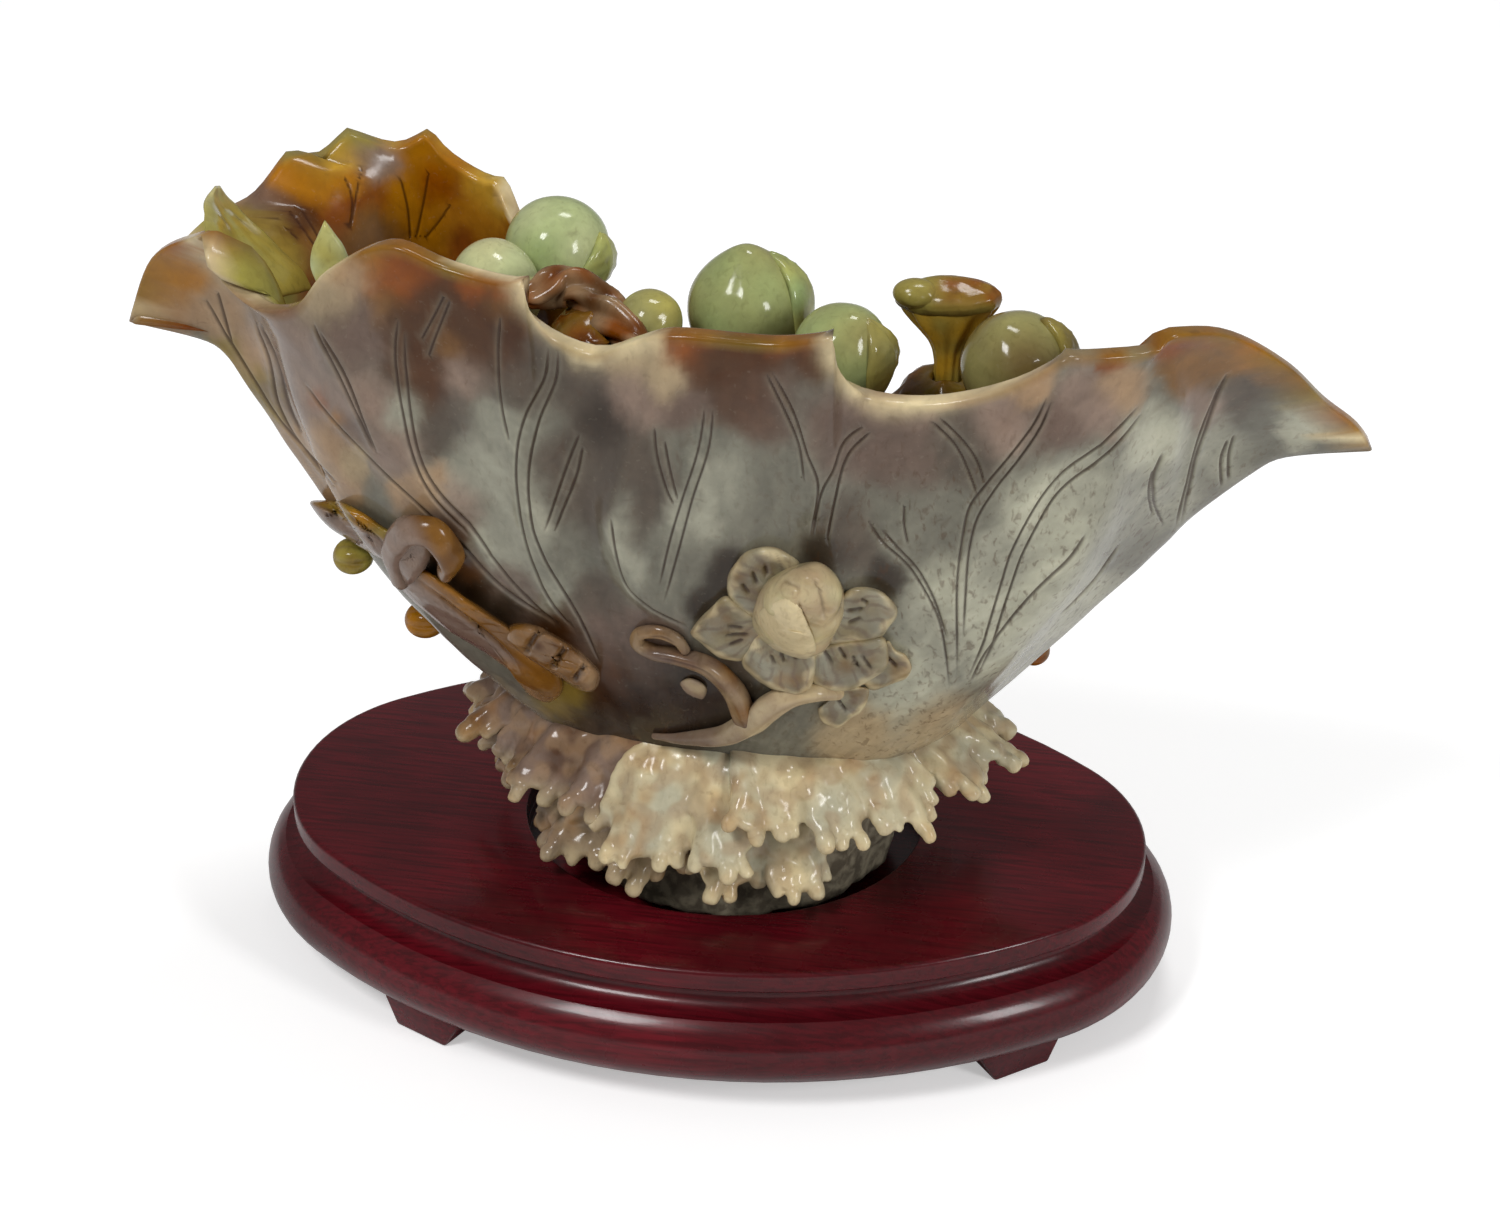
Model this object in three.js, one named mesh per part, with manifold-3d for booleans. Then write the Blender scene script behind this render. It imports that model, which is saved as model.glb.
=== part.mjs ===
import * as THREE from "three";
import Module from "manifold-3d";
import { mergeVertices } from "three/addons/utils/BufferGeometryUtils.js";

// A jade lotus-leaf vessel heaped with peaches, standing in the recess of an oval lacquered stand.
// Millimetres, +Z up, +X along the leaf. The origin lies under the leaf's middle, at the feet's underside.
const wasm = await Module();
wasm.setup();

// Clearances and overruns
const clearance = 0.35;
const glueLine = 0.3;
const cutOverrun = 4;

// Leaf vessel
const leafLength = 248;
const leafFrontReach = 54;
const leafRootHeight = 57;
const leafRise = 130;
const leafRootHalfLength = 41;
const leafRootHalfDepth = 25;
const leafWall = 4.2;
const leafFloorHeight = 92;

// Oval stand
const standLength = 195;
const standDepth = 126;
const standEndRadius = 44.5;
const standSetBack = 6;
const footHeight = 6;
const mouldingRadius = 8.9;
const arrisInset = 4.2;
const coveInset = 9.3;
const coveHeight = 5.2;
const topBoardInset = 6.3;
const topBoardThickness = 5;
const topBoardEdge = 0.8;
const recessLength = 84;
const recessDepth = 74;
const recessOffset = 2;
const pocketDepth = 2;

// Bracket feet of the stand
const footWidth = 13;
const footTopWidth = 19;
const footReach = 10;
const footTenon = 3.5;
const frontLeftFootShares = [-0.277, -0.365];
const frontRightFootShares = [0.364, -0.278];

// Rough stone foot
const rockLength = 66;
const rockDepth = 61;
const rockTopLength = 84;
const rockTopDepth = 50;
const rockOffset = 2;

// Frilled fronds round the stone foot
const frondThickness = 4;
const frondFingerLength = 5;
const frondCrimp = 1.6;
const frondCentreX = 0;
const frondCentreY = -3;
const frondRootHalfLength = 36;
const frondRootHalfDepth = 27;
const frondEdgeHalfLength = 54;
const frondEdgeHalfDepth = 34;
const frondRise = 33;

// Peaches: radius, height and the rise of the pointed tip
const peachSizes = {
  peach_back: { radius: 10.6, height: 20.6, tip: 0.6 },
  peach_left: { radius: 9.2, height: 17, tip: 0.5 },
  peach_middle: { radius: 11.8, height: 23, tip: 3.2 },
  peach_front: { radius: 9.6, height: 19, tip: 1.2 },
  peach_right: { radius: 10.8, height: 20.5, tip: 1 },
  peach_small: { radius: 6.4, height: 12.5, tip: 0.5 },
};
const peachLeafThickness = 5;
const boughEndGap = 7;
const boughSideGap = 7.5;
const boughCrownHeight = 138;
const boughSeatRadius = 12.5;
const boughSeatHeight = 30;
const boughSeatLap = 7;
const boughStemRadius = 6;

// Fungus and twisted branch among the fruit
const fungusCapLength = 21;
const fungusCapDepth = 14;
const fungusCapThickness = 7;
const fungusStemRadius = 3;
const branchRadius = 3.4;

// Lotus blossom on the front wall
const budRadius = 8.6;
const budHeight = 19;
const budLeafThickness = 3;
const petalThickness = 3;
const petalCup = 4.5;
const petalWidth = 14;
const petalRoot = 4;
const petalLengths = {
  upper: 15.5,
  left: 21.5,
  lower: 17,
  lower_right: 20.5,
  right: 19,
  outer_right: 25,
  outer_low: 23,
};
const petalLift = 3;
const outerPetalLift = 1;

// Stems and small leaves on the walls
const blossomStemRadius = 2.8;
const tendrilRadius = 2;
const smallLeafLength = 7;
const smallLeafWidth = 4.6;
const smallLeafThickness = 2.4;
const sideStemRadius = 3.4;
const sideLeafLength = 21;
const sideLeafWidth = 13;
const sideLeafThickness = 3.6;
const knobRadius = 6;
const knobWidth = 9.6;
const claspLength = 17;
const claspWidth = 8;
const claspThickness = 6;
const flowerletWidth = 8.4;
const flowerletHeight = 7.2;
const flowerletLift = 1.6;
const backKnobWidth = 6.4;
const backKnobLift = 1.5;

// Folded leaf that lines the left end
const liningThickness = 2.4;
const leafTipLength = 11;
const leafTipWidth = 8;
const leafTipThickness = 4;

// Counts of steps along the curved surfaces
const arcSteps = 10;
const mouldingSteps = 5;
const peachSides = 12;
const peachRings = 8;
const ellipsoidSides = 10;
const ellipsoidRings = 6;
const lumpSides = 8;
const lumpRings = 5;
const tubeSides = 6;
const fingerSteps = 3;
const frondRows = 3;
const petalSteps = 4;

const leafHalfLength = leafLength / 2;

// Finish of each material
const finishes = {
  lacquer: { color: 0x4a0d14, roughness: 0.28, metalness: 0 },
  celadon: { color: 0x8b9183, roughness: 0.22, metalness: 0 },
  pale: { color: 0xbdb293, roughness: 0.35, metalness: 0 },
  amber: { color: 0x9a6420, roughness: 0.25, metalness: 0 },
  green: { color: 0x7f9a5c, roughness: 0.18, metalness: 0 },
  rough: { color: 0x8d8a7c, roughness: 0.8, metalness: 0 },
};

function material(finish) {
  return new THREE.MeshStandardMaterial(finishes[finish]);
}

// Solids for joining and cutting

function toSolid(geometry) {
  const bare = geometry.clone();
  bare.deleteAttribute("normal");
  bare.deleteAttribute("uv");
  const merged = mergeVertices(bare);
  const vertProperties = new Float32Array(merged.attributes.position.array);
  const triVerts = new Uint32Array(merged.index.array);
  return new wasm.Manifold(new wasm.Mesh({ numProp: 3, vertProperties, triVerts }));
}

function toGeometry(solid) {
  const mesh = solid.getMesh();
  const geometry = new THREE.BufferGeometry();
  geometry.setAttribute("position", new THREE.BufferAttribute(mesh.vertProperties, 3));
  geometry.setIndex(new THREE.BufferAttribute(mesh.triVerts, 1));
  geometry.computeVertexNormals();
  return geometry;
}

// A copy of a closed geometry with its skin pushed out by the clearance
function grown(geometry) {
  const bare = geometry.clone();
  bare.deleteAttribute("normal");
  bare.deleteAttribute("uv");
  const merged = mergeVertices(bare);
  merged.computeVertexNormals();
  const places = merged.attributes.position;
  const normals = merged.attributes.normal;
  for (let i = 0; i < places.count; i += 1) {
    const place = new THREE.Vector3().fromBufferAttribute(places, i);
    const normal = new THREE.Vector3().fromBufferAttribute(normals, i);
    place.addScaledVector(normal, clearance);
    places.setXYZ(i, place.x, place.y, place.z);
  }
  return merged;
}

// The largest of the separate bodies that a cut leaves
function mainBody(solid) {
  const bodies = solid.decompose();
  bodies.sort((a, b) => b.volume() - a.volume());
  return bodies[0];
}

// A piece's geometry in its place, before anything was cut from it
function blank(piece) {
  piece.updateMatrixWorld(true);
  piece.userData.blank ??= piece.geometry.clone().applyMatrix4(piece.matrixWorld);
  return piece.userData.blank;
}

// Cuts a placed piece back from its placed neighbours, and leaves the clearance between them
function carve(piece, neighbours) {
  let solid = toSolid(blank(piece));
  for (const neighbour of neighbours) {
    solid = solid.subtract(toSolid(grown(blank(neighbour))));
  }
  const inverse = piece.matrixWorld.clone().invert();
  piece.geometry = toGeometry(mainBody(solid)).applyMatrix4(inverse);
  return piece;
}

// A closed skin over rings with equal point counts, from a lower cap to an upper cap
function loft(rings) {
  const count = rings[0].length;
  const positions = [];
  const index = [];
  for (const ring of rings) {
    for (const point of ring) positions.push(point.x, point.y, point.z);
  }
  for (let r = 0; r + 1 < rings.length; r += 1) {
    for (let i = 0; i < count; i += 1) {
      const next = (i + 1) % count;
      const a = r * count + i;
      const b = r * count + next;
      index.push(a, b, b + count, a, b + count, a + count);
    }
  }
  const capCentre = (ring) => ring.reduce((sum, p) => sum.add(p), new THREE.Vector3()).divideScalar(count);
  const low = capCentre(rings[0]);
  const high = capCentre(rings[rings.length - 1]);
  positions.push(low.x, low.y, low.z, high.x, high.y, high.z);
  const lowCentre = rings.length * count;
  const top = (rings.length - 1) * count;
  for (let i = 0; i < count; i += 1) {
    const next = (i + 1) % count;
    index.push(lowCentre, next, i, lowCentre + 1, top + i, top + next);
  }
  return indexed(positions, index);
}

// A closed sheet between a front and a back grid; pointAt takes shares along and across, and the side
function sheet(cols, rows, pointAt) {
  const positions = [];
  const index = [];
  for (const side of [0, 1]) {
    for (let r = 0; r <= rows; r += 1) {
      for (let c = 0; c <= cols; c += 1) {
        const point = pointAt(c / cols, r / rows, side);
        positions.push(point.x, point.y, point.z);
      }
    }
  }
  const stride = cols + 1;
  const back = stride * (rows + 1);
  for (let r = 0; r < rows; r += 1) {
    for (let c = 0; c < cols; c += 1) {
      const a = r * stride + c;
      index.push(a, a + 1, a + 1 + stride, a, a + 1 + stride, a + stride);
      const b = a + back;
      index.push(b, b + 1 + stride, b + 1, b, b + stride, b + 1 + stride);
    }
  }
  const edge = (from, to) => index.push(from, from + back, to + back, from, to + back, to);
  for (let c = 0; c < cols; c += 1) {
    edge(c, c + 1);
    edge(rows * stride + c + 1, rows * stride + c);
  }
  for (let r = 0; r < rows; r += 1) {
    edge((r + 1) * stride, r * stride);
    edge(r * stride + cols, (r + 1) * stride + cols);
  }
  return indexed(positions, index);
}

function indexed(positions, index) {
  const geometry = new THREE.BufferGeometry();
  geometry.setAttribute("position", new THREE.Float32BufferAttribute(positions, 3));
  geometry.setIndex(index);
  geometry.computeVertexNormals();
  return geometry;
}

function tube(points, radius, steps) {
  const shape = new THREE.Shape();
  shape.absarc(0, 0, radius, 0, Math.PI * 2);
  const path = new THREE.CatmullRomCurve3(points);
  const settings = { steps, curveSegments: tubeSides / 2, extrudePath: path, bevelEnabled: false };
  return new THREE.ExtrudeGeometry(shape, settings);
}

function named(name, geometry, finish) {
  const mesh = new THREE.Mesh(geometry, material(finish));
  mesh.name = name;
  return mesh;
}

const object = new THREE.Group();
const stand = new THREE.Group();
stand.position.x = -standSetBack;
const carving = new THREE.Group();
object.add(stand, carving);

// Stand

const underside = footHeight;
const mouldingCentre = underside + mouldingRadius;
const arrisAngle = Math.acos(1 - arrisInset / mouldingRadius);
const arrisHeight = mouldingCentre + mouldingRadius * Math.sin(arrisAngle);
const baseTop = arrisHeight + coveHeight;
const boardBottom = baseTop + glueLine;
const standTop = boardBottom + topBoardThickness;
const pocketFloor = baseTop - pocketDepth;

// The outline of the four-centre oval, drawn in by an inset
function ovalRing(inset, height) {
  const endOffset = standLength / 2 - standEndRadius;
  const rise = standDepth / 2 - standEndRadius;
  const sideOffset = (endOffset ** 2 - rise ** 2) / (2 * rise);
  const turn = Math.atan2(sideOffset, endOffset);
  const endRadius = standEndRadius - inset;
  const sideRadius = standDepth / 2 + sideOffset - inset;
  const arcs = [
    { x: endOffset, y: 0, radius: endRadius, from: -turn, to: turn },
    { x: 0, y: -sideOffset, radius: sideRadius, from: turn, to: Math.PI - turn },
    { x: -endOffset, y: 0, radius: endRadius, from: Math.PI - turn, to: Math.PI + turn },
    { x: 0, y: sideOffset, radius: sideRadius, from: Math.PI + turn, to: Math.PI * 2 - turn },
  ];
  const ring = [];
  for (const arc of arcs) {
    for (let i = 0; i < arcSteps; i += 1) {
      const angle = arc.from + ((arc.to - arc.from) * i) / arcSteps;
      const x = arc.x + arc.radius * Math.cos(angle);
      const y = arc.y + arc.radius * Math.sin(angle);
      ring.push(new THREE.Vector3(x, y, height));
    }
  }
  return ring;
}

function recessCutter(low, high) {
  const shape = new THREE.Shape();
  shape.absellipse(recessOffset, 0, recessLength / 2, recessDepth / 2, 0, Math.PI * 2, false, 0);
  const settings = { depth: high - low, curveSegments: arcSteps, bevelEnabled: false };
  return new THREE.ExtrudeGeometry(shape, settings).translate(0, 0, low);
}

// The cove's points, as shares of its depth and height above the arris
const coveShares = [[0.45, 0.06], [0.78, 0.3], [1, 0.62], [1, 1]];

function mouldingRings() {
  const rings = [];
  for (let i = 0; i <= mouldingSteps; i += 1) {
    const angle = -Math.PI / 2 + ((Math.PI / 2 + arrisAngle) * i) / mouldingSteps;
    const inset = mouldingRadius * (1 - Math.cos(angle));
    rings.push(ovalRing(inset, mouldingCentre + mouldingRadius * Math.sin(angle)));
  }
  for (const [insetShare, heightShare] of coveShares) {
    const inset = THREE.MathUtils.lerp(arrisInset, coveInset, insetShare);
    rings.push(ovalRing(inset, arrisHeight + coveHeight * heightShare));
  }
  return rings;
}

// A bracket foot widens upward to its tenon in the base board
function footGeometry() {
  const shape = new THREE.Shape();
  shape.moveTo(-footWidth / 2, 0);
  shape.lineTo(footWidth / 2, 0);
  shape.lineTo(footTopWidth / 2, footHeight);
  shape.lineTo(footTopWidth / 2, footHeight + footTenon);
  shape.lineTo(-footTopWidth / 2, footHeight + footTenon);
  shape.lineTo(-footTopWidth / 2, footHeight);
  shape.closePath();
  const geometry = new THREE.ExtrudeGeometry(shape, { depth: footReach, bevelEnabled: false });
  return geometry.rotateX(Math.PI / 2).translate(0, footReach, 0);
}

// A foot's place is given in shares of the stand's length and depth
function addFoot(name, [xShare, yShare], turn) {
  const foot = named(name, footGeometry(), "lacquer");
  const outward = Math.atan2(yShare * standLength, xShare * standDepth);
  foot.position.set(xShare * standLength, yShare * standDepth, 0);
  foot.rotation.z = outward + Math.PI / 2;
  const holder = new THREE.Group();
  holder.rotation.z = turn;
  holder.add(foot);
  stand.add(holder);
  return foot;
}

const feet = [
  addFoot("foot_front_left", frontLeftFootShares, 0),
  addFoot("foot_front_right", frontRightFootShares, 0),
  addFoot("foot_back_right", frontLeftFootShares, Math.PI),
  addFoot("foot_back_left", frontRightFootShares, Math.PI),
];

const baseBoard = named("stand_base_board", loft(mouldingRings()), "lacquer");
stand.add(baseBoard);
const pocket = toSolid(recessCutter(pocketFloor, baseTop + cutOverrun));
baseBoard.geometry = toGeometry(toSolid(baseBoard.geometry).subtract(pocket));
object.updateMatrixWorld(true);
carve(baseBoard, feet);

const topBoardRings = [
  ovalRing(topBoardInset + topBoardEdge, boardBottom),
  ovalRing(topBoardInset, boardBottom + topBoardEdge),
  ovalRing(topBoardInset, standTop - topBoardEdge),
  ovalRing(topBoardInset + topBoardEdge, standTop),
];
const recess = toSolid(recessCutter(boardBottom - cutOverrun, standTop + cutOverrun));
const topBoardSolid = toSolid(loft(topBoardRings)).subtract(recess);
const topBoard = named("stand_top_board", toGeometry(topBoardSolid), "lacquer");
stand.add(topBoard);

// Leaf vessel
// Each lobe of the rim runs from one sharp scallop point to the next, seen from above against the clock.
// Its points are shares of the half length, the front reach and the rise above the root.
const rimLobeShares = [
  [[-1, -0.15, 0.654], [-0.94, -0.22, 0.784], [-0.845, -0.37, 0.859], [-0.825, -0.41, 0.874]],
  [[-0.825, -0.41, 0.874], [-0.8, -0.46, 0.824], [-0.715, -0.61, 0.804], [-0.645, -0.685, 0.829],
    [-0.58, -0.76, 0.909], [-0.465, -0.85, 0.979], [-0.38, -0.87, 0.956], [-0.285, -0.925, 0.952],
    [-0.25, -0.96, 0.964]],
  [[-0.25, -0.96, 0.964], [-0.243, -0.92, 0.909], [-0.21, -0.89, 0.861], [-0.154, -0.89, 0.844],
    [-0.1, -0.925, 0.872], [-0.04, -0.96, 0.899], [0.127, -0.96, 0.902], [0.216, -1, 0.929]],
  [[0.216, -1, 0.929], [0.222, -0.93, 0.862], [0.26, -0.87, 0.809], [0.348, -0.85, 0.802],
    [0.465, -0.85, 0.839], [0.553, -0.87, 0.901]],
  [[0.553, -0.87, 0.901], [0.61, -0.78, 0.887], [0.685, -0.7, 0.888], [0.697, -0.685, 0.908]],
  [[0.697, -0.685, 0.908], [0.774, -0.555, 0.894], [0.876, -0.37, 0.834], [0.937, -0.22, 0.749],
    [0.987, -0.11, 0.684], [1, -0.04, 0.616]],
  [[1, -0.04, 0.616], [0.95, 0.1, 0.6], [0.85, 0.26, 0.6], [0.73, 0.44, 0.56], [0.57, 0.59, 0.48]],
  [[0.57, 0.59, 0.48], [0.37, 0.7, 0.42], [0.16, 0.76, 0.4], [-0.04, 0.79, 0.41]],
  [[-0.04, 0.79, 0.41], [-0.2, 0.79, 0.4], [-0.32, 0.79, 0.44], [-0.4, 0.8, 0.56], [-0.44, 0.79, 0.7],
    [-0.465, 0.81, 0.76]],
  [[-0.465, 0.81, 0.76], [-0.5, 0.85, 0.755], [-0.57, 0.88, 0.785], [-0.604, 0.89, 0.82]],
  [[-0.604, 0.89, 0.82], [-0.66, 0.87, 0.795], [-0.74, 0.815, 0.823]],
  [[-0.74, 0.815, 0.823], [-0.785, 0.74, 0.79], [-0.826, 0.67, 0.806]],
  [[-0.826, 0.67, 0.806], [-0.87, 0.53, 0.755], [-0.92, 0.32, 0.75], [-0.965, 0.08, 0.715],
    [-1, -0.15, 0.654]],
];
const outerLevelShares = [0, 0.08, 0.2, 0.38, 0.6, 0.82, 0.95, 1];
const innerLevelShares = [1, 0.92, 0.6, 0.3, 0];
const bellyPower = 2.4;
const leftEndPower = 1.8;
const rightEndPower = 1.15;
const flarePower = 28;
const leftFlareShare = 0.245;
const rightFlareShare = 0.215;
const endBlendShare = 0.5;
const lipPower = 6;
const levelStepShare = 0.02;
const leastLobeSteps = 3;

function rimStations() {
  const stations = [];
  for (const lobe of rimLobeShares) {
    const points = lobe.map(([x, y, z]) => new THREE.Vector3(
      x * leafHalfLength,
      y * leafFrontReach,
      leafRootHeight + z * leafRise,
    ));
    const curve = new THREE.CatmullRomCurve3(points, false, "centripetal");
    const steps = Math.max(leastLobeSteps, points.length - 1);
    for (let i = 0; i < steps; i += 1) stations.push(curve.getPoint(i / steps));
  }
  return stations;
}

const rim = rimStations();
const stationCount = rim.length;

function leafPoint(station, level) {
  const edge = rim[(station + stationCount) % stationCount];
  const turn = Math.atan2(edge.y / leafFrontReach, edge.x / leafHalfLength);
  const rootX = leafRootHalfLength * Math.cos(turn);
  const rootY = leafRootHalfDepth * Math.sin(turn);
  const belly = 1 - (1 - level) ** bellyPower;
  const endPower = edge.x < 0 ? leftEndPower : rightEndPower;
  const flareShare = edge.x < 0 ? leftFlareShare : rightFlareShare;
  const wing = (1 - flareShare) * (1 - (1 - level) ** endPower) + flareShare * level ** flarePower;
  const endWeight = THREE.MathUtils.smoothstep(Math.abs(edge.x) / leafHalfLength, endBlendShare, 1);
  return new THREE.Vector3(
    THREE.MathUtils.lerp(rootX, edge.x, THREE.MathUtils.lerp(belly, wing, endWeight)),
    THREE.MathUtils.lerp(rootY, edge.y, belly),
    THREE.MathUtils.lerp(leafRootHeight, edge.z, level),
  );
}

function leafNormal(station, level) {
  const along = leafPoint(station + 2, level).sub(leafPoint(station - 2, level));
  const high = Math.min(1, level + levelStepShare);
  const up = leafPoint(station, high).sub(leafPoint(station, high - 2 * levelStepShare));
  return along.cross(up).normalize();
}

function leafRing(level) {
  return rim.map((edge, station) => leafPoint(station, level));
}

// A point inside the wall, between the floor at share 0 and the rim at share 1, where the lip lies level
function hollowPoint(station, share, depth) {
  const edge = rim[(station + stationCount) % stationCount];
  const floorLevel = (leafFloorHeight - leafRootHeight) / (edge.z - leafRootHeight);
  const level = THREE.MathUtils.lerp(floorLevel, 1, share);
  const inward = leafNormal(station, level).negate();
  inward.z *= 1 - share ** lipPower;
  return leafPoint(station, level).addScaledVector(inward.normalize(), depth);
}

function leafGeometry() {
  const rings = outerLevelShares.map(leafRing);
  for (const share of innerLevelShares) {
    rings.push(rim.map((edge, station) => hollowPoint(station, share, leafWall)));
  }
  for (const point of rings[rings.length - 1]) point.z = leafFloorHeight;
  return loft(rings);
}

const leaf = named("leaf_vessel", leafGeometry(), "celadon");
carving.add(leaf);

// Stone foot

const rockRoughShares = [1, 0.95, 1.02, 0.97, 0.93, 1.01, 0.98, 1.03, 0.94, 1, 0.96, 1.02];
const rockLevelShares = [0, 0.2, 0.55, 1];
const rockRingShiftCount = 5;

function rockGeometry() {
  const sides = rockRoughShares.length * 2;
  const low = pocketFloor + glueLine;
  const high = leafRootHeight - clearance;
  const rings = rockLevelShares.map((level, r) => {
    const ring = [];
    for (let i = 0; i < sides; i += 1) {
      const angle = (Math.PI * 2 * i) / sides;
      const rough = rockRoughShares[(i + r * rockRingShiftCount) % rockRoughShares.length];
      const halfLength = (THREE.MathUtils.lerp(rockLength, rockTopLength, level) / 2) * rough;
      const halfDepth = (THREE.MathUtils.lerp(rockDepth, rockTopDepth, level) / 2) * rough;
      ring.push(new THREE.Vector3(
        rockOffset + halfLength * Math.cos(angle),
        halfDepth * Math.sin(angle) + frondCentreY * (1 - level),
        THREE.MathUtils.lerp(low, high, level),
      ));
    }
    return ring;
  });
  return loft(rings);
}

const rock = named("rough_stone_foot", rockGeometry(), "rough");
rock.position.x = -standSetBack + recessOffset;
carving.add(rock);

// Fronds
// Angles are degrees round the foot from +X; heights are shares of the frond band's rise.
const frondShares = [
  { name: "left_upper", from: 172, to: 204, root: 0.98, edge: 0.66, reach: 1, fingers: 5 },
  { name: "left_lower", from: 178, to: 205, root: 0.58, edge: 0.36, reach: 0.92, fingers: 5 },
  { name: "front_left_upper", from: 207, to: 246, root: 0.95, edge: 0.5, reach: 0.97, fingers: 6 },
  { name: "front_left_lower", from: 219, to: 262, root: 0.42, edge: 0.1, reach: 0.93, fingers: 7 },
  { name: "front_middle", from: 249, to: 276, root: 0.92, edge: 0.42, reach: 1.12, fingers: 5 },
  { name: "front_right_upper", from: 279, to: 318, root: 1, edge: 0.66, reach: 1.08, fingers: 7 },
  { name: "front_right_lower", from: 266, to: 297, root: 0.38, edge: 0.13, reach: 0.94, fingers: 5 },
  { name: "right_upper", from: 321, to: 372, root: 1, edge: 0.7, reach: 1, fingers: 8 },
  { name: "back_right", from: 16, to: 62, root: 0.95, edge: 0.5, reach: 0.96, fingers: 6 },
  { name: "back_middle", from: 66, to: 112, root: 0.9, edge: 0.4, reach: 0.98, fingers: 7 },
  { name: "back_left", from: 116, to: 168, root: 0.95, edge: 0.5, reach: 0.96, fingers: 6 },
];

const frondFoot = standTop + frondFingerLength;
const fingerPower = 0.7;
const fingerTipPower = 3;
const frondDropPower = 1.5;

function frondGeometry(frond) {
  const point = (across, down, side) => {
    const angle = THREE.MathUtils.degToRad(THREE.MathUtils.lerp(frond.from, frond.to, across));
    const finger = Math.abs(Math.sin(Math.PI * frond.fingers * across)) ** fingerPower;
    const flare = Math.sin((down * Math.PI) / 2);
    const crimp = frondCrimp * (finger - 0.5) * down;
    const tip = frondFingerLength * finger * down ** fingerTipPower;
    const depth = side * frondThickness;
    const length = THREE.MathUtils.lerp(frondRootHalfLength, frondEdgeHalfLength * frond.reach, flare);
    const width = THREE.MathUtils.lerp(frondRootHalfDepth, frondEdgeHalfDepth * frond.reach, flare);
    const drop = down ** frondDropPower;
    const height = frondFoot + frondRise * THREE.MathUtils.lerp(frond.root, frond.edge, drop);
    return new THREE.Vector3(
      frondCentreX + (length + crimp - depth) * Math.cos(angle),
      frondCentreY + (width + crimp - depth) * Math.sin(angle),
      height - tip - depth / 2,
    );
  };
  return sheet(frond.fingers * fingerSteps, frondRows, (across, up, side) => point(across, 1 - up, side));
}

const fronds = frondShares.map((frond) => {
  const finish = frond.name.includes("left") ? "amber" : "pale";
  return named(`frond_${frond.name}`, frondGeometry(frond), finish);
});
const frondsPlaced = [];
for (const frond of fronds) {
  carving.add(frond);
  carve(frond, [leaf, rock, ...frondsPlaced]);
  frondsPlaced.push(frond);
}

// Peaches, placed as shares of the leaf's half length, front reach and rise

function leafPlace([x, y, z]) {
  return new THREE.Vector3(x * leafHalfLength, y * leafFrontReach, leafRootHeight + z * leafRise);
}

function peachGeometry({ radius, height, tip }) {
  const profile = [];
  for (let i = 0; i <= peachRings; i += 1) {
    const angle = -Math.PI / 2 + (Math.PI * i) / peachRings;
    const rise = tip * Math.max(0, Math.sin(angle)) ** peachTipPower;
    const half = radius * Math.max(0, Math.cos(angle));
    profile.push(new THREE.Vector2(half, (height / 2) * Math.sin(angle) + rise));
  }
  profile[0].x = 0;
  profile[peachRings].x = 0;
  return new THREE.LatheGeometry(profile, peachSides).rotateX(Math.PI / 2);
}

const peachTipPower = 6;

const peachPlaceShares = {
  peach_back: [-0.327, 0.278, 0.754],
  peach_left: [-0.398, -0.037, 0.751],
  peach_middle: [0.002, 0.056, 0.728],
  peach_front: [0.177, -0.26, 0.738],
  peach_right: [0.443, -0.148, 0.717],
  peach_small: [-0.126, -0.26, 0.761],
};
// Turns about X and then Y, in radians
const peachTilts = {
  peach_back: [0.2, 0.5],
  peach_left: [0.3, 1.1],
  peach_middle: [0.05, 0],
  peach_front: [0.25, 0.4],
  peach_right: [0.35, -0.3],
  peach_small: [0.2, 0.8],
};
const peaches = {};
for (const [name, size] of Object.entries(peachSizes)) {
  const peach = named(name, peachGeometry(size), "green");
  peach.position.copy(leafPlace(peachPlaceShares[name]));
  peach.rotation.set(peachTilts[name][0], peachTilts[name][1], 0);
  peaches[name] = peach;
  carving.add(peach);
}
const peachList = Object.values(peaches);
const peachesPlaced = [];
for (const peach of peachList) {
  carve(peach, [leaf, ...peachesPlaced]);
  peachesPlaced.push(peach);
}

// Leaves that hug the peaches; each leans off its peach along a direction, in shares of the peach's radius

function ellipsoid(length, depth, height, sides = ellipsoidSides, rings = ellipsoidRings) {
  const ball = new THREE.SphereGeometry(1, sides, rings).rotateX(Math.PI / 2);
  return ball.scale(length / 2, depth / 2, height / 2);
}

const peachLeafShares = {
  peach_back_leaf: { peach: "peach_back", towards: [0.85, -0.1, -0.35], size: [0.9, 1.3, 1.3] },
  peach_left_leaf: { peach: "peach_left", towards: [0.8, -0.45, -0.3], size: [0.9, 1.1, 1.2] },
  peach_middle_leaf: { peach: "peach_middle", towards: [0.7, 0.45, 0.05], size: [1, 1.4, 1.6] },
  peach_front_leaf: { peach: "peach_front", towards: [0.75, -0.15, -0.25], size: [1, 1.3, 1.5] },
  peach_right_leaf: { peach: "peach_right", towards: [0.8, 0.25, 0], size: [0.9, 1.2, 1.3] },
};
const peachLeaves = [];
for (const [name, shares] of Object.entries(peachLeafShares)) {
  const peach = peaches[shares.peach];
  const { radius } = peachSizes[shares.peach];
  const [length, depth, height] = shares.size.map((share) => share * radius);
  const cupLeaf = named(name, ellipsoid(length + peachLeafThickness, depth, height), "green");
  const [x, y, z] = shares.towards.map((share) => share * radius);
  cupLeaf.position.copy(peach.position).add(new THREE.Vector3(x, y, z));
  carving.add(cupLeaf);
  carve(cupLeaf, [leaf, ...peachList, ...peachLeaves]);
  peachLeaves.push(cupLeaf);
}

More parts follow.
